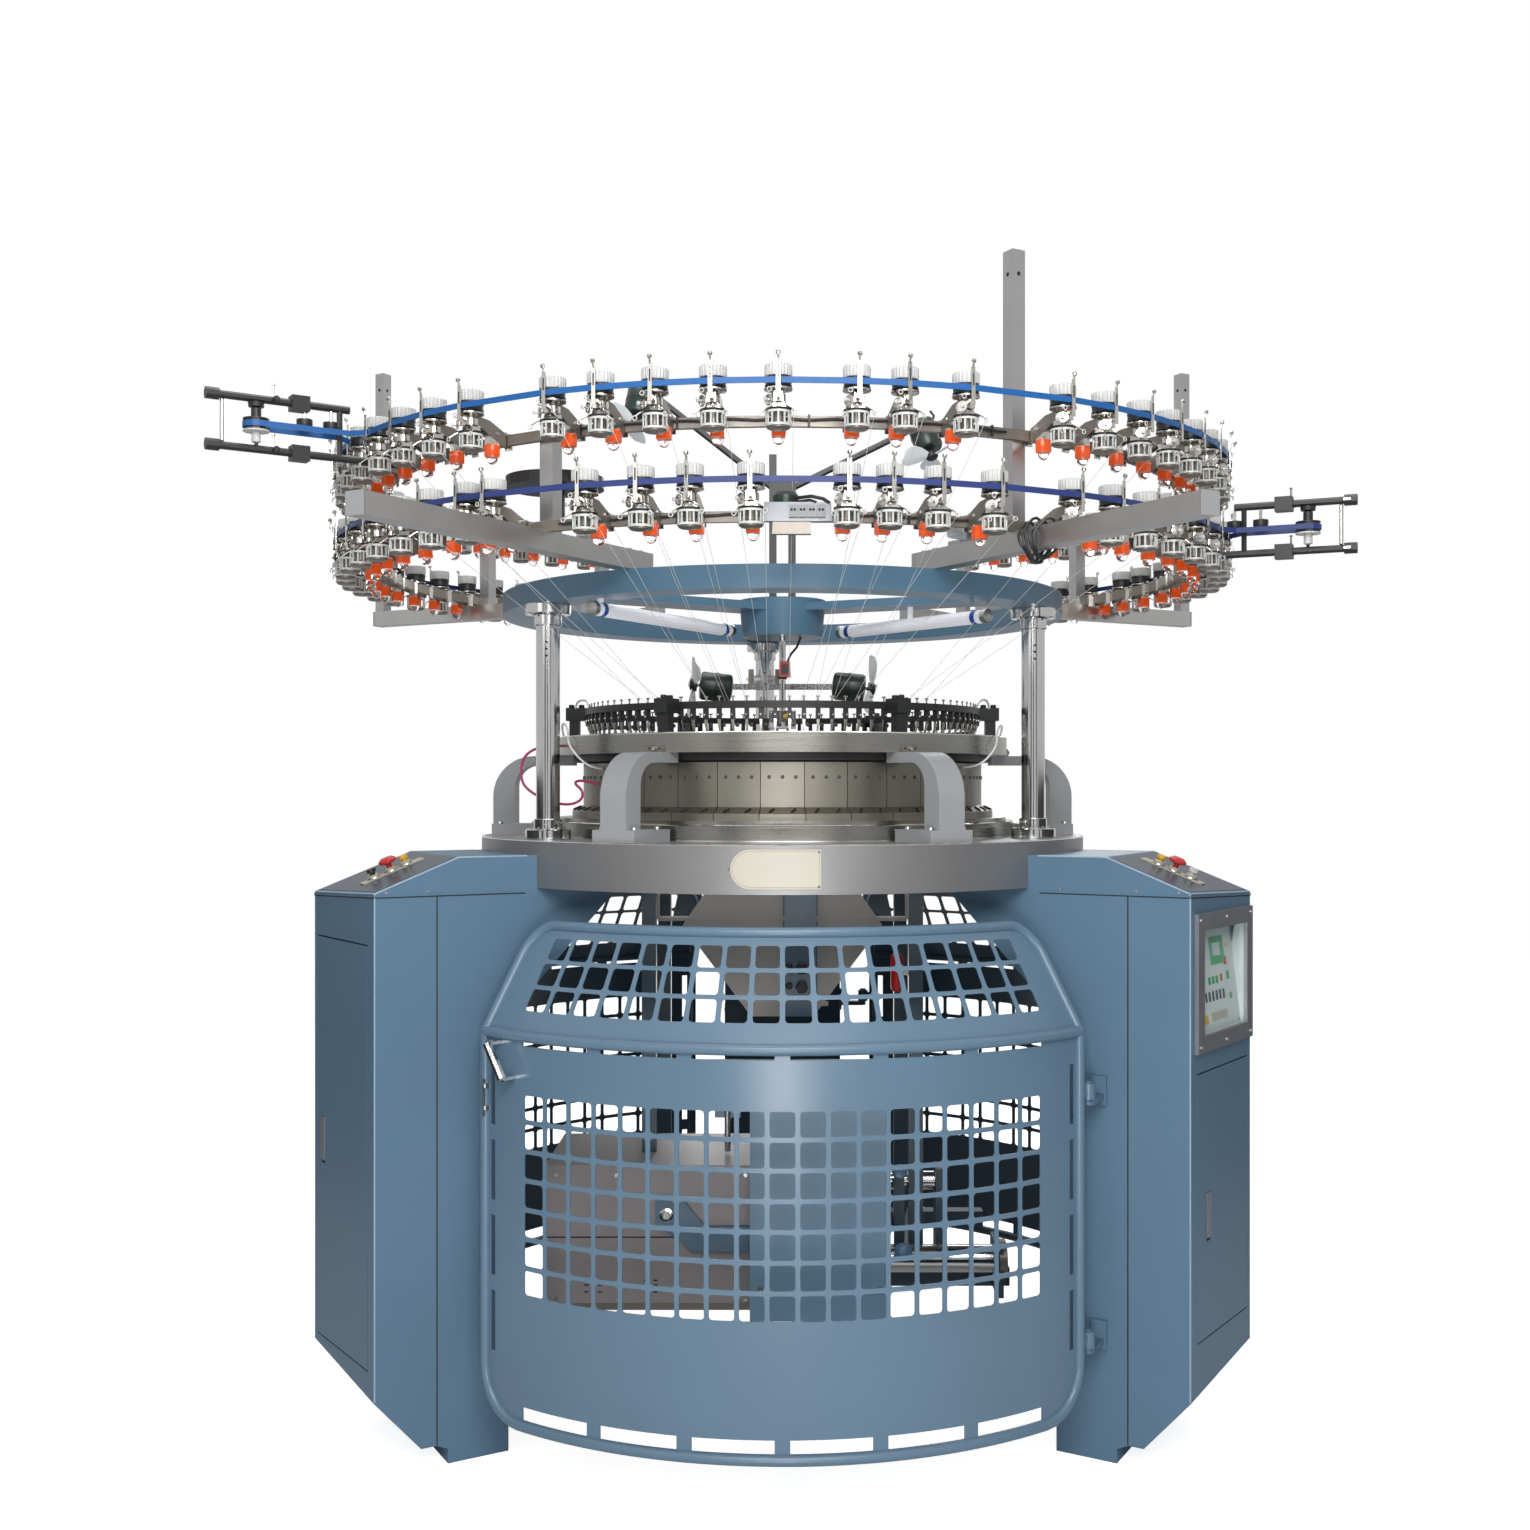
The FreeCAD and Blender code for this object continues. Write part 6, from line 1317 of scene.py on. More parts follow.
# ---- creel trim --------------------------------------------------------------------------------------

ARM_ENDS = {29.5: 1420.0, -29.5: 1420.0, 119.0: 1288.0, -119.0: 1288.0, 145.0: 945.0, -145.0: 945.0}
ARM_LOW, ARM_TOP, ARM_HALF, POST_HALF = 1828.0, 1868.0, 20.0, 15.0
BEAM_FACE, CABLE_TURN = 930.0, 27.0
# turn, distance from the axis and top of each tall post
TALL_POSTS = ((29.5, 901.75, 2409.0), (-119.0, 1273.0, 2530.0), (119.0, 1273.0, 2530.0))
COIL_LOOPS, COIL_AZIMUTH = 4, 29.5


def add_arm_caps():
    """Moulded caps on the ends of the square arms, and the bolts that hold the arms on the ring."""
    piece = Piece("arm_caps")
    for azimuth, reach in ARM_ENDS.items():
        piece.at(turned_by(azimuth))
        for grow, end, start, finish in ((0.4, 3.0, -1.0, "arm_cap_grey"), (-0.6, 1.2, 1.0, "hole_dark")):
            piece.block((-ARM_HALF - grow, -reach - end, ARM_LOW - grow),
                        (ARM_HALF + grow, -reach + start, ARM_TOP + grow), finish)
        for spot in (600.0, 640.0):
            piece.screw((0, -spot, ARM_TOP), UPWARD, 6.5, "steel")
    # the hole near the top of each face of the tall posts
    for azimuth, reach, top in TALL_POSTS:
        piece.at(turned_by(azimuth))
        for x, y in ((POST_HALF, 0), (-POST_HALF, 0), (0, POST_HALF), (0, -POST_HALF)):
            piece.turn(((4.2, -1), (4.2, 0.25), (3.2, 0.3)), 12, "hole_dark",
                       facing((x, y - reach, top - 46), (x, y, 0)))
    # spare cable coiled round the right front arm
    for i in range(COIL_LOOPS):
        spot = Matrix.Translation((0, -955.0 - 15.0 * i, 1846.0))
        piece.at(turned_by(COIL_AZIMUTH) @ spot @ Matrix.Rotation(0.16 * (i - 1.5), 4, "X"))
        wide, tall = 25.0 + 1.5 * (i % 2), 30.0 + 4.0 * ((i + 1) % 3)
        loop = []
        for a in angles(24):
            square = math.cos(2 * a) ** 2
            loop.append((wide * math.cos(a) * (1 + 0.16 * square), 3 * math.sin(3 * a),
                         tall * math.sin(a) * (1 + 0.12 * square)))
        piece.tube(loop, 2.8, 8, "black_plastic", closed=True)
    piece.make("frame", slot="aluminium")


def add_beam_cables():
    """The black cable clipped along each front beam, and the connector box with its terminals."""
    piece = Piece("beam_cables")
    for level in TIER_LEVELS.values():
        line = [around(BEAM_FACE + 2.2, turn, level + 4.0 - 3.0 * math.sin(math.radians(turn * 31)) ** 2)
                for turn in spans(-CABLE_TURN, CABLE_TURN, (), 1.5)]
        piece.tube(line, 2.6, 8, "black_plastic")
        for turn in (-24.0, -12.0, 3.0, 14.5, 25.0):
            piece.at(turned_by(turn))
            piece.block((-1.8, -BEAM_FACE - 5.4, level - 10.8), (1.8, -BEAM_FACE + 0.2, level + 10.8),
                        "black_plastic", 0.2)
        piece.at()
    level = TIER_LEVELS["lower"]
    piece.block((-34, -940, level - 11), (90, -930.5, level + 24), "window_steel", 0.8)
    for i in range(4):
        x = 12.0 + i * 17.0
        piece.block((x, -946, level - 4), (x + 15, -939, level + 18), "arm_cap_grey", 0.6)
        for pole in (4.5, 10.5):
            piece.turn(((2.4, -0.5), (2.4, 0.4), (1.8, 0.5)), 8, "hole_dark",
                       facing((x + pole, -946, level + 9), FRONT))
    piece.block((-19, -938, level - 34), (52, -922, level - 10.5), "bracket_steel", 1.0)
    piece.turn(((22, 18), (25, 20), (25, 40), (21, 46), (8, 48)), 24, "oiled_green",
               Matrix.Translation((6, -905, level)))
    piece.tube([(20, -915, level + 36), (34, -928, level + 34), (52, -936, level + 35),
                (74, -938, level + 30), (86, -939, level + 22)], 3.4, 8, "black_plastic")
    piece.tube([(20, -915, level + 28), (34, -928, level + 27), (50, -936, level + 28),
                (62, -938, level + 23)], 3.0, 8, "black_plastic")
    piece.make("frame", slot="black_plastic")


TENSIONERS = {"upper": (-56.85, 1342.0), "lower": (65.75, 1305.0)}
TENSIONER_RISE, IDLER_INSET = 100.0, 96.0


def add_tensioner_trim():
    """Bright sleeves, knobs and pulleys on the two belt tensioners."""
    piece = Piece("tensioner_trim")
    for tier, (azimuth, tip) in TENSIONERS.items():
        low = TIER_LEVELS[tier]
        high = low + TENSIONER_RISE
        idler = tip - IDLER_INSET
        piece.at(turned_by(azimuth))
        piece.turn(((3.6, low + 9), (4.4, low + 10), (4.4, high - 10), (3.6, high - 9)), 12, "nickel",
                   Matrix.Translation((0, -(tip - 30), 0)))
        place = Matrix.Translation((0, -idler, 0))
        piece.turn(((4.1, low + 12), (9, low + 14), (9, low + 33), (25.5, low + 34), (25.5, low + 37),
                    (5, low + 37)), 24, "white_plastic", place)
        piece.turn(((5, low + 57), (25.5, low + 57), (25.5, low + 60), (10, low + 61), (10, low + 80),
                    (4.1, low + 82)), 24, "black_plastic", place)
        piece.turn(((4.5, low + 82), (15, low + 83), (16, low + 92), (9, low + 93)), 20, "black_plastic",
                   place)
        for reach in (idler - 96, idler - 150):
            stem = Matrix.Translation((0, -reach, 0))
            piece.turn(((3.4, high - 44), (3.4, high - 6)), 8, "nickel", stem)
            piece.turn(((5, high - 46), (15, high - 45), (16, high - 40), (16, high - 30), (7, high - 28)),
                       20, "black_plastic", stem)
        for height in (low, high):
            piece.block((-17, -(tip - 10), height - 2.2), (-7, -(tip - 24), height + 2.2), "nickel", 0.4)
            piece.turn(((5, 0), (6.5, 1), (6.5, 9), (4, 11)), 12, "black_plastic",
                       facing((15, -(idler - 34), height), (1, 0, 0)))
            piece.turn(((2.2, 0), (2.2, 16), (3.4, 17), (3.4, 20)), 8, "nickel",
                       facing((0, -(idler - 34), height + 14), UPWARD))
    piece.make("frame", slot="steel")


class MACHINE_OT_creel_trim(bpy.types.Operator):
    """Add the arms' caps and bolts, the clipped cables, the connector box and the tensioners' fittings"""

    bl_idname = "machine.creel_trim"
    bl_label = "Creel trim"

    def execute(self, context):
        add_arm_caps()
        add_beam_cables()
        add_tensioner_trim()
        return {"FINISHED"}


# ---- legs and cabinets -------------------------------------------------------------------------------

LEG_HALF, LEG_OUTER, CABINET_OUTER, CABINET_SKEW, CABINET_FLARE = 165.0, 907.0, 1036.0, 33.0, 12.0
SLOPE_START, SLOPE_DROP, BED_BOTTOM, FOOT_NOTCH = 861.0, 70.0, 1239.0, 41.0
CHAMFER, CHAMFER_RISE, LIP_DROP = 96.0, 109.0, 6.0
APRON_FACE = 711.0
SIDES = {"right": (60.0, -1.0), "left": (-60.0, 1.0)}
WINDOW = (866.0, 1104.0, 0.13, 0.92)
REAR_OUTER = 1036.0
# distance from the machine's axis of each button's collar
BUTTON_REACHES = (920.0, 952.0, 988.0)


def slope_height(reach):
    """Height of the cover at a distance along the leg."""
    return BED_BOTTOM - SLOPE_DROP * max(0.0, reach - SLOPE_START) / (CABINET_OUTER - SLOPE_START)


def leg_frame(side):
    """The leg's own axes: X out along the leg."""
    return Matrix.Rotation(math.radians(SIDES[side][0] - 90.0), 4, "Z")


def end_wall(side):
    """The cabinet's end wall: its near corner, the direction along it, the way out, its length."""
    hand = SIDES[side][1]
    near = Vector((CABINET_OUTER, LEG_HALF * hand, 0))
    far = Vector((CABINET_OUTER + CABINET_SKEW, (LEG_HALF + CABINET_FLARE) * -hand, 0))
    along = (far - near).normalized()
    out = Vector((abs(along.y), -along.x * (1 if along.y > 0 else -1), 0))
    return near, along, out, (far - near).length


def wall_point(side, share, depth, height):
    """A point on the cabinet's end wall: a share of its length, out from it, and up."""
    near, along, out, length = end_wall(side)
    return leg_frame(side) @ (near + along * length * share + out * depth + UP * height)


def wall_direction(side):
    """The way the cabinet's end wall faces."""
    return leg_frame(side).to_3x3() @ end_wall(side)[2]


def lip_line(side):
    """The cover's lower edge round one leg: points, outward directions and heights."""
    hand = SIDES[side][1]
    half = LEG_HALF
    far_x, far_y = CABINET_OUTER + CABINET_SKEW, half + CABINET_FLARE
    corners = ((APRON_FACE + 6, half * hand), (CABINET_OUTER, half * hand), (far_x, -far_y * hand),
               (LEG_OUTER, -half * hand), (APRON_FACE + 6, -half * hand))
    outs = ((0, hand), (0.75, hand * 0.95), (0.95, -hand * 0.8), (-0.05, -hand), (0, -hand))
    base = slope_height(CABINET_OUTER) - LIP_DROP
    heights = (base, base, slope_height(far_x) - LIP_DROP, base, base)
    return [(Vector((x, y, z)), Vector((u, v, 0))) for (x, y), (u, v), z in zip(corners, outs, heights)]


def add_cover_lines(side):
    """The folded lower edge of a leg's cover, the joints below it, its rounded edges in a lighter paint that is
    a painted highlight, a dark sheet on its sloping top that is a painted shade, and its screws.
    """
    piece = Piece(f"cover_edges_{side}", leg_frame(side))
    hand = SIDES[side][1]
    line = lip_line(side)
    for proud, low, high, finish in ((1.7, -1.6, 1.6, "frame_paint"), (0.45, -4.2, -1.4, "hole_dark")):
        piece.loft([[p + n * proud + UP * low, p + n * proud + UP * high, p - n * 3 + UP * high,
                     p - n * 3 + UP * low]
                    for p, n in line], finish)
    base = slope_height(CABINET_OUTER) - LIP_DROP
    skewed = CABINET_OUTER + CABINET_SKEW - LEG_OUTER
    for face in (hand, -hand):
        y = LEG_HALF * face
        piece.block((LEG_OUTER - 1.3, min(y - 0.5, y + 0.4), FOOT_NOTCH + 2),
                    (LEG_OUTER + 1.3, max(y - 0.5, y + 0.4), base - 4), "hole_dark")
        for reach in (762.0, 925.0, 1012.0):
            flare = CABINET_FLARE * max(0.0, reach - LEG_OUTER) / skewed * (face != hand)
            piece.screw((reach, (LEG_HALF + flare) * face, base + 7), (0, face, 0), 2.8, "steel", 1.4)
    corner = Vector((CABINET_OUTER - 1.4, (LEG_HALF - 1.4) * hand, 0))
    far = Vector((CABINET_OUTER + CABINET_SKEW - 1.6, -(LEG_HALF + CABINET_FLARE - 1.8) * hand, 0))
    notch = FOOT_NOTCH + CHAMFER_RISE
    # rounded upright edges in the lighter edge paint: a painted highlight
    for post, low in ((corner, notch + 3), (far, notch + CHAMFER_RISE * CABINET_SKEW / CHAMFER + 6)):
        piece.tube([post + UP * low, post + UP * 600, post + UP * (slope_height(post.x) - 2)], 2.0, 10,
                   "edge_highlight_paint")
    top = [(SLOPE_START + 5, (LEG_HALF - 6) * hand), (CABINET_OUTER - 6, (LEG_HALF - 6) * hand),
           (far.x - 6, far.y + 6 * hand), (LEG_OUTER, -(LEG_HALF - 6) * hand),
           (SLOPE_START + 5, -(LEG_HALF - 6) * hand)]
    # a dark sheet over the sloping top: a painted shade
    piece.loft([[(x, y, slope_height(x) + rise) for x, y in top] for rise in (-0.6, 0.9)], "console_top_shade")
    # rounded top edges in the lighter edge paint: a painted highlight
    for y in (hand, -hand):
        edge = Vector((0, (LEG_HALF - 1.4) * y, -1.4))
        reach = CABINET_OUTER - 1 if y == hand else LEG_OUTER
        points = [Vector((x, 0, slope_height(x))) + edge for x in (APRON_FACE + 2, SLOPE_START, reach)]
        if y == -hand:
            points.append(far + UP * (slope_height(far.x) - 1.4))
        piece.tube(points, 2.0, 10, "edge_highlight_paint")
    piece.tube([corner + UP * (slope_height(corner.x) - 1.4), far + UP * (slope_height(far.x) - 1.4)], 2.0,
               10, "edge_highlight_paint")
    for reach in BUTTON_REACHES:
        fall = math.atan2(SLOPE_DROP, CABINET_OUTER - SLOPE_START)
        spot = Matrix.Translation((reach, 0, slope_height(reach))) @ Matrix.Rotation(fall, 4, "Y")
        piece.place = leg_frame(side) @ spot
        piece.ring(((13.2, 2.4), (15.2, 2.4), (15.6, 4.5), (15.0, 6.2), (13.6, 6.6)), 28, "nickel")
    piece.make("frame", slot="frame_paint", sharp=30)


def add_window_fittings():
    """Screws of the window's frame, and the generic screen and keys on the panel behind it."""
    low, high, near, far = WINDOW
    length = end_wall("right")[3]
    edge = 9.0 / length
    piece = Piece("window_fittings")
    out = wall_direction("right")
    for share in (near - edge, (near + far) / 2, far + edge):
        for height in (low - 9.0, high + 9.0):
            piece.screw(wall_point("right", share, 8.0, height), out, 3.6, "nickel", 2.4)
    start, end = near + 2.0 / length, far - 2.0 / length
    foot = wall_point("right", start, -11.0, 872.0)
    across = wall_point("right", end, -11.0, 872.0) - foot
    rise = wall_point("right", start, -40.0, 1098.0) - foot
    wide, tall = across.length, rise.length
    across.normalize()
    rise.normalize()
    place = Matrix((across, rise, across.cross(rise))).transposed().to_4x4()
    place.translation = foot
    face = Piece("key_panel_face", place)
    face.block((0, 0, -3), (wide, tall, 0), "key_panel_white", 0.3)

    def mark(u1, v1, u2, v2, finish, proud=0.8):
        face.block((u1 * wide, v1 * tall, -1.0), (u2 * wide, v2 * tall, proud), finish, 0.2)

    # what the photo shows, from the near edge: screen, keys in three rows and a lit button
    mark(0.50, 0.60, 0.80, 0.86, "green_screen", 0.6)
    mark(0.56, 0.68, 0.72, 0.80, "key_panel_white", 1.0)
    mark(0.84, 0.74, 0.89, 0.78, "yellow_button")
    mark(0.78, 0.58, 0.83, 0.66, "red_button")
    mark(0.80, 0.44, 0.85, 0.52, "green_key")
    for i in range(3):
        mark(0.40 + i * 0.08, 0.43, 0.45 + i * 0.08, 0.50, "green_key")
    mark(0.66, 0.44, 0.70, 0.51, "red_button")
    for i in range(6):
        mark(0.30 + i * 0.075, 0.28, 0.335 + i * 0.075, 0.37, "black_plastic", 0.6)
    mark(0.82, 0.26, 0.86, 0.32, "green_key")
    mark(0.22, 0.09, 0.31, 0.17, "yellow_button")
    mark(0.38, 0.10, 0.72, 0.18, "beige_plastic", 0.5)
    for u, v in ((0.96, 0.05), (0.96, 0.95)):
        face.screw((u * wide, v * tall, 0), UPWARD, 2.6, "nickel", 1.6)
    face.make("frame", "key_panel", slot="white_plastic")
    # pale lining of the recess beside the keys
    side = far - 2.5 / length
    corners = ((-4.5, 869.0), (-61.0, 872.0), (-24.0, 1098.0), (-4.5, 1101.0))
    piece.loft([[wall_point("right", side + shift / length, depth, height) for depth, height in corners]
                for shift in (0.0, 2.0)], "key_panel_white")
    piece.make("frame", slot="white_plastic")


def add_rear_cover():
    """The rear leg's folded lower edge, its joint, and the screwed cover of its wiring on each side."""
    piece = Piece("rear_leg_trim", Matrix.Rotation(math.radians(90.0), 4, "Z"))
    base = slope_height(CABINET_OUTER) - LIP_DROP
    edge = LEG_HALF + 0.4
    for face in (-1, 1):
        low, high = sorted((LEG_HALF * face - 0.5 * face, edge * face))
        piece.block((APRON_FACE + 6, low, base - 1.4), (REAR_OUTER, high, base), "hole_dark")
        piece.block((740, low, 300), (741.5, high, 760), "hole_dark")
        piece.block((REAR_OUTER - 60, low, 300), (REAR_OUTER - 58.5, high, 760), "hole_dark")
        for height in (300, 758.5):
            piece.block((740, low, height), (REAR_OUTER - 58.5, high, height + 1.5), "hole_dark")
        for reach in (756, REAR_OUTER - 76):
            for height in (318, 742):
                piece.screw((reach, LEG_HALF * face, height), (0, face, 0), 4.5, "steel", 2.2)
    piece.block((REAR_OUTER - 0.5, -edge, base - 1.4), (REAR_OUTER + 0.4, edge, base), "hole_dark")
    for y in (-LEG_HALF + 22, LEG_HALF - 22):
        for height in (360.0, 900.0):
            piece.screw((REAR_OUTER, y, height), (1, 0, 0), 5.5, "steel", 2.6)
    piece.make("frame", slot="frame_paint")


class MACHINE_OT_covers(bpy.types.Operator):
    """Add the folded cover edges, joints, screws, button collars and the window's fittings"""

    bl_idname = "machine.covers"
    bl_label = "Leg covers and window"

    def execute(self, context):
        for side in SIDES:
            add_cover_lines(side)
        add_window_fittings()
        add_rear_cover()
        return {"FINISHED"}


# ---- take-down ---------------------------------------------------------------------------------------

CAST_ARM = ((-275, 489), (-215, 489), (-178, 444), (-167, 431), (-66, 431), (-66, 377), (-195, 377),
            (-225, 404), (-275, 435))


def hand_knob(piece, point, radius):
    """A round hand knob with a domed face on a short stem, tilted up a little."""
    piece.turn(((radius * 0.28, -22), (radius * 0.28, 0), (radius * 0.8, 1), (radius, 4), (radius, 11),
                (radius * 0.8, 14), (radius * 0.3, 15.5)), 24, "blue_knob",
               facing(point, (0, -1, 0.25)))


def add_take_down_trim():
    """The cast arm, post, knobs, roller clamps and screws of the take-down."""
    piece = Piece("take_down_trim")
    up = Matrix(((1, 0, 0, 0), (0, 0, -1, 0), (0, 1, 0, 0), (0, 0, 0, 1)))
    piece.slab(CAST_ARM, 14.0, "cast_arm_paint", Matrix.Translation((0, -380, 0)) @ up)
    piece.turn(((12, 0), (12, 2), (9, 2.5), (9, 9), (7.5, 10)), 6, "steel", facing((-251, -394, 457), FRONT))
    piece.turn(((15, -0.5), (15, 1.6), (13, 2)), 24, "bright_steel", facing((-251, -394, 457), FRONT))
    piece.block((-68.6, -500.7, 262), (225.6, -485.5, 800.7), "panel_blue", 0.6)
    for x, z in ((-47.0, 330.0), (204.0, 330.0), (-47.0, 770.0), (204.0, 770.0)):
        piece.screw((x, -500, z), FRONT, 6.5, "steel")
    # the blue post between the spreader's wings, with its two dark hand screws
    piece.block((4, -34, 834), (82, -13, 1172), "guard_paint", 1.0)
    piece.block((4, -34, 1160), (82, -6, 1176), "guard_paint")
    for height in (905.0, 950.0):
        piece.turn(((6, -1), (6, 6), (14, 7), (15, 10), (15, 18), (12, 21)), 6, "black_plastic",
                   facing((46, -34, height), FRONT))
        piece.turn(((3, -1), (8, 0), (9, 6), (6, 10)), 10, "black_plastic",
                   facing((16, -34, height + 3), FRONT))
    # the slide with its screw left of the panel
    piece.block((-152, -262, 640), (-94, -256, 756), "cast_arm_paint", 0.5)
    piece.block((-140, -268, 700), (-106, -262, 740), "key_panel_white", 0.6)
    piece.screw((-123, -268, 728), FRONT, 5, "steel")
    piece.tube([(-123, -266, 700), (-123, -266, 600), (-123, -262, 566)], 7.0, 12, "bright_steel")
    # red grip on the right front post
    piece.block((262, -248, 958), (286, -232, 974), "steel")
    piece.turn(((6, 920), (12, 924), (14, 934), (14, 992), (12, 1002), (6, 1006)), 20, "red_button",
               Matrix.Translation((258, -240, 0)))
    # end clamps and hand knobs of the two rollers
    for x, y, z, radius in ((358, -200, 485, 30), (480, -310, 339, 42)):
        piece.turn(((radius - 12, -4), (radius, -3), (radius, 12), (radius - 4, 14), (14, 14)), 28,
                   "bracket_steel", facing((x, y, z), (1, 0, 0)))
    hand_knob(piece, (262, -268, 520), 17)
    hand_knob(piece, (262, -374, 372), 19)
    piece.block((250, -262, 300), (274, -256, 530), "take_down_paint")
    piece.make("take_down", slot="box_paint", sharp=30)
    box = Piece("gear_box_trim")
    for x in (-490.0, -360.0, -230.0, -80.0):
        for z in (270.0, 540.0):
            box.screw((x, -380, z), FRONT, 5.5, "steel", 3)
    box.block((-515.6, -381.6, 404), (-51.4, -380, 406.4), "hole_dark")
    for x in (-430.0, -400.0, -300.0, -280.0):
        for z in (285.0, 300.0, 310.0):
            box.block((x, -380.5, z), (x + 9, -379.6, z + 3), "hole_dark")
    box.block((-515.6, -381.2, 247.4), (-51.4, -380, 262), "bracket_steel")
    box.make("take_down", slot="box_paint")


class MACHINE_OT_take_down(bpy.types.Operator):
    """Add the cast arm, the post, the knobs and the gear box's screws of the take-down"""

    bl_idname = "machine.take_down"
    bl_label = "Take-down"

    def execute(self, context):
        add_take_down_trim()
        return {"FINISHED"}


# ---- stage --------------------------------------------------------------------------------------------

FLOOR_GLOW, WORLD_LIGHT, MIRRORED_WHITE = 0.84, 0.24, 0.55


def stage_plane(name, corners, material):
    """A flat face of the set. Only the floor is seen and casts a shadow; the cards are only mirrored."""
    mesh = bpy.data.meshes.new(name)
    mesh.from_pydata(corners, [], [(0, 1, 2, 3)])
    mesh.materials.append(material)
    plane = bpy.data.objects.new(name, mesh)
    bpy.context.scene.collection.objects.link(plane)
    plane.visible_camera = plane.visible_shadow = name == "stage_floor"


def stage_material(name, base):
    """A matt surface of the set; returns it and its shader."""
    material = bpy.data.materials.new(name)
    material.use_nodes = True
    shader = material.node_tree.nodes["Principled BSDF"]
    shader.inputs["Base Color"].default_value = (*base, 1)
    shader.inputs["Roughness"].default_value = 0.9
    return material, shader


def floor_material():
    """White where the camera looks at it, with the object's shadow kept."""
    material, shader = stage_material("stage_floor", (0.80, 0.80, 0.80))
    shader.inputs["Specular IOR Level"].default_value = 0.0
    shader.inputs["Emission Color"].default_value = (1, 1, 1, 1)
    tree = material.node_tree
    seen = tree.nodes.new("ShaderNodeLightPath").outputs["Is Camera Ray"]
    tree.links.new(maths(tree, "MULTIPLY", seen, FLOOR_GLOW), shader.inputs["Emission Strength"])
    return material


def set_world():
    """A white surround for the camera, mirrors and glass, and a softer one for light."""
    world = bpy.data.worlds.new("studio")
    bpy.context.scene.world = world
    world.use_nodes = True
    tree = world.node_tree
    tree.nodes.clear()
    ray = tree.nodes.new("ShaderNodeLightPath").outputs
    mirrored = maths(tree, "MULTIPLY", ray["Is Glossy Ray"], MIRRORED_WHITE)
    seen = maths(tree, "MAXIMUM", ray["Is Camera Ray"], mirrored)
    also = maths(tree, "MAXIMUM", seen, ray["Is Transmission Ray"])
    light, white = tree.nodes.new("ShaderNodeBackground"), tree.nodes.new("ShaderNodeBackground")
    light.inputs["Color"].default_value = (0.95, 0.97, 1.0, 1)
    light.inputs["Strength"].default_value = WORLD_LIGHT
    white.inputs["Color"].default_value = (1, 1, 1, 1)
    mix, out = tree.nodes.new("ShaderNodeMixShader"), tree.nodes.new("ShaderNodeOutputWorld")
    for source, socket in zip((also, light.outputs[0], white.outputs[0]), mix.inputs):
        tree.links.new(source, socket)
    tree.links.new(mix.outputs[0], out.inputs["Surface"])


LAMPS = (
    # name, place, aimed at, width, watts
    ("key", (0.1, -3.7, 3.1), (0, 0, 0.95), 2.0, 104.0),
    ("low_front", (0.0, -4.3, 0.30), (0, 0, 0.6), 0.8, 38.0),
    ("fill", (-2.4, -3.6, 2.9), (0, 0, 1.3), 1.8, 10.0),
    ("overhead", (0.0, 0.4, 5.2), (0, 0, 1.0), 3.0, 78.0),
    ("back", (0.8, 4.4, 3.4), (0, 0, 1.2), 2.4, 60.0),
    ("inner", (0.0, 0.75, 0.9), (0, -0.5, 0.9), 0.6, 3.0),
)


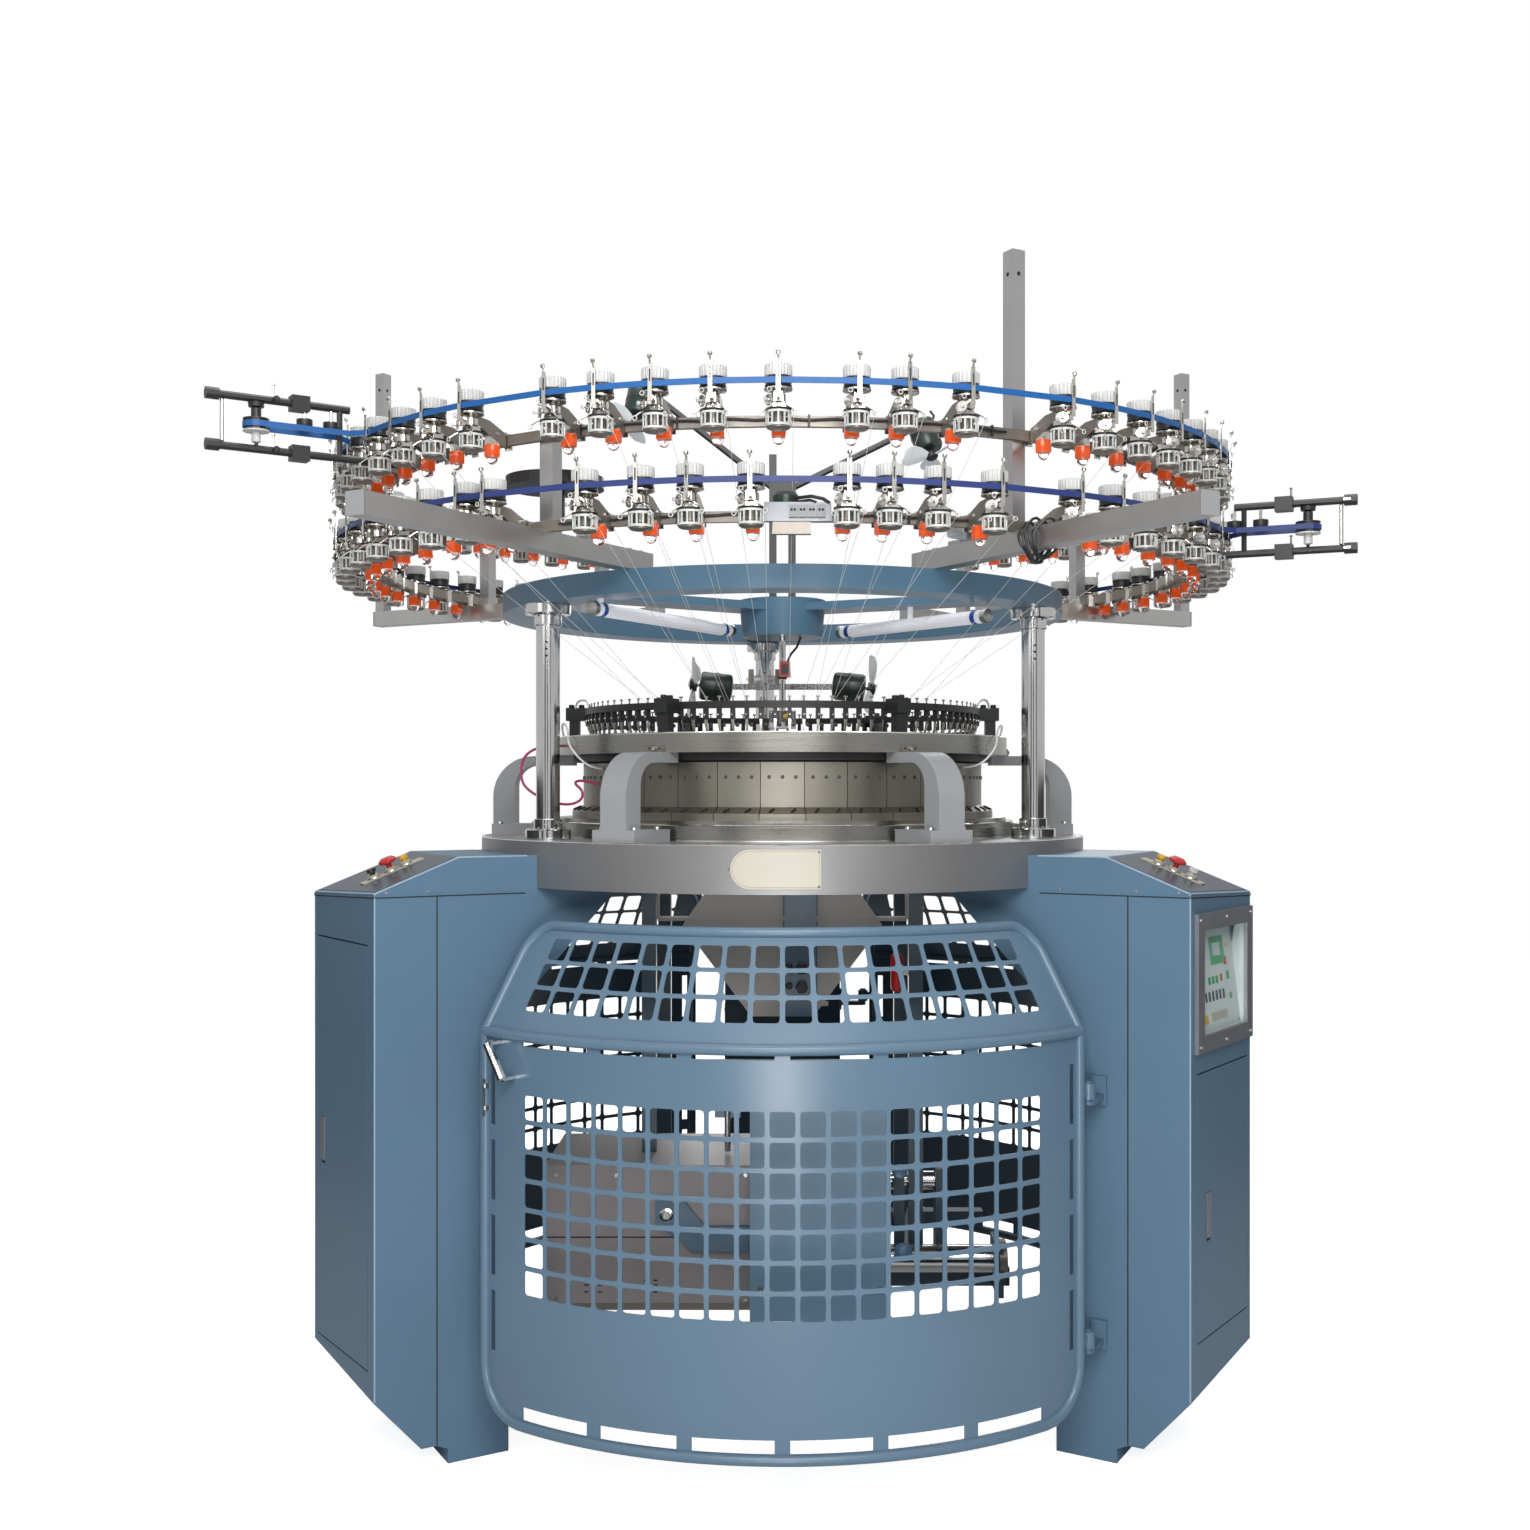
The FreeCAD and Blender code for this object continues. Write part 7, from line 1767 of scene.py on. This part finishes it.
class MACHINE_OT_stage(bpy.types.Operator):
    """Add the floor, the dark cards that bright metal mirrors, the world and the lamps"""

    bl_idname = "machine.stage"
    bl_label = "Stage"

    def execute(self, context):
        stage_plane("stage_floor", [(-9, -9, 0), (9, -9, 0), (9, 9, 0), (-9, 9, 0)], floor_material())
        card, _ = stage_material("stage_card", (0.03, 0.03, 0.035))
        for name, x in (("stage_card_left", -2.9), ("stage_card_right", 2.5)):
            stage_plane(name, [(x, -5.6, 0.1), (x + 0.9, -6.0, 0.1), (x + 0.9, -6.0, 4.2), (x, -5.6, 4.2)],
                        card)
        for name, x in (("stage_card_west", -2.75), ("stage_card_east", 2.75)):
            stage_plane(name, [(x, -3.4, 0.02), (x, 1.1, 0.02), (x, 1.1, 1.42), (x, -3.4, 1.42)], card)
        stage_plane("stage_card_middle",
                    [(-0.5, -6.4, 0.4), (0.35, -6.4, 0.4), (0.35, -6.4, 4.0), (-0.5, -6.4, 4.0)], card)
        set_world()
        for name, place, aim, width, watts in LAMPS:
            light = bpy.data.lights.new(name, "AREA")
            light.shape = "SQUARE"
            light.size = width
            light.energy = watts
            lamp = bpy.data.objects.new(name, light)
            lamp.location = place
            lamp.rotation_euler = (Vector(aim) - Vector(place)).to_track_quat("-Z", "Y").to_euler()
            bpy.context.scene.collection.objects.link(lamp)
        view = context.scene.view_settings
        view.view_transform = "Standard"
        return {"FINISHED"}


# ---- panel and add-on --------------------------------------------------------------------------------


class MACHINE_PT_panel(bpy.types.Panel):
    """Lists the machine's sizes, colours and pieces"""

    bl_idname = "MACHINE_PT_panel"
    bl_label = "Knitting Machine"
    bl_space_type = "VIEW_3D"
    bl_region_type = "UI"
    bl_category = "Knitting Machine"

    def draw(self, context):
        for group in (context.scene.machine_sizes, context.scene.machine_colours):
            for name in group.bl_rna.properties.keys():
                if name not in ("rna_type", "name"):
                    self.layout.prop(group, name)
        for operator in OPERATORS:
            self.layout.operator(operator.bl_idname)


OPERATORS = (
    MACHINE_OT_cords,
    MACHINE_OT_finishes,
    MACHINE_OT_guards,
    MACHINE_OT_feeders,
    MACHINE_OT_head,
    MACHINE_OT_top,
    MACHINE_OT_creel_trim,
    MACHINE_OT_covers,
    MACHINE_OT_take_down,
    MACHINE_OT_stage,
)
CLASSES = (MachineSizes, MachineColours) + OPERATORS + (MACHINE_PT_panel,)


def register():
    """Adds the classes and the settings to Blender."""
    for item in CLASSES:
        bpy.utils.register_class(item)
    bpy.types.Scene.machine_sizes = PointerProperty(type=MachineSizes)
    bpy.types.Scene.machine_colours = PointerProperty(type=MachineColours)


def unregister():
    """Takes them away again."""
    del bpy.types.Scene.machine_colours
    del bpy.types.Scene.machine_sizes
    for item in reversed(CLASSES):
        bpy.utils.unregister_class(item)


def main():
    """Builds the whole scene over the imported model."""
    register()
    bpy.ops.machine.finishes()
    bpy.ops.machine.cords()
    bpy.ops.machine.guards()
    bpy.ops.machine.feeders()
    bpy.ops.machine.head()
    bpy.ops.machine.top()
    bpy.ops.machine.creel_trim()
    bpy.ops.machine.covers()
    bpy.ops.machine.take_down()
    bpy.ops.machine.stage()


if __name__ == "__main__":
    main()
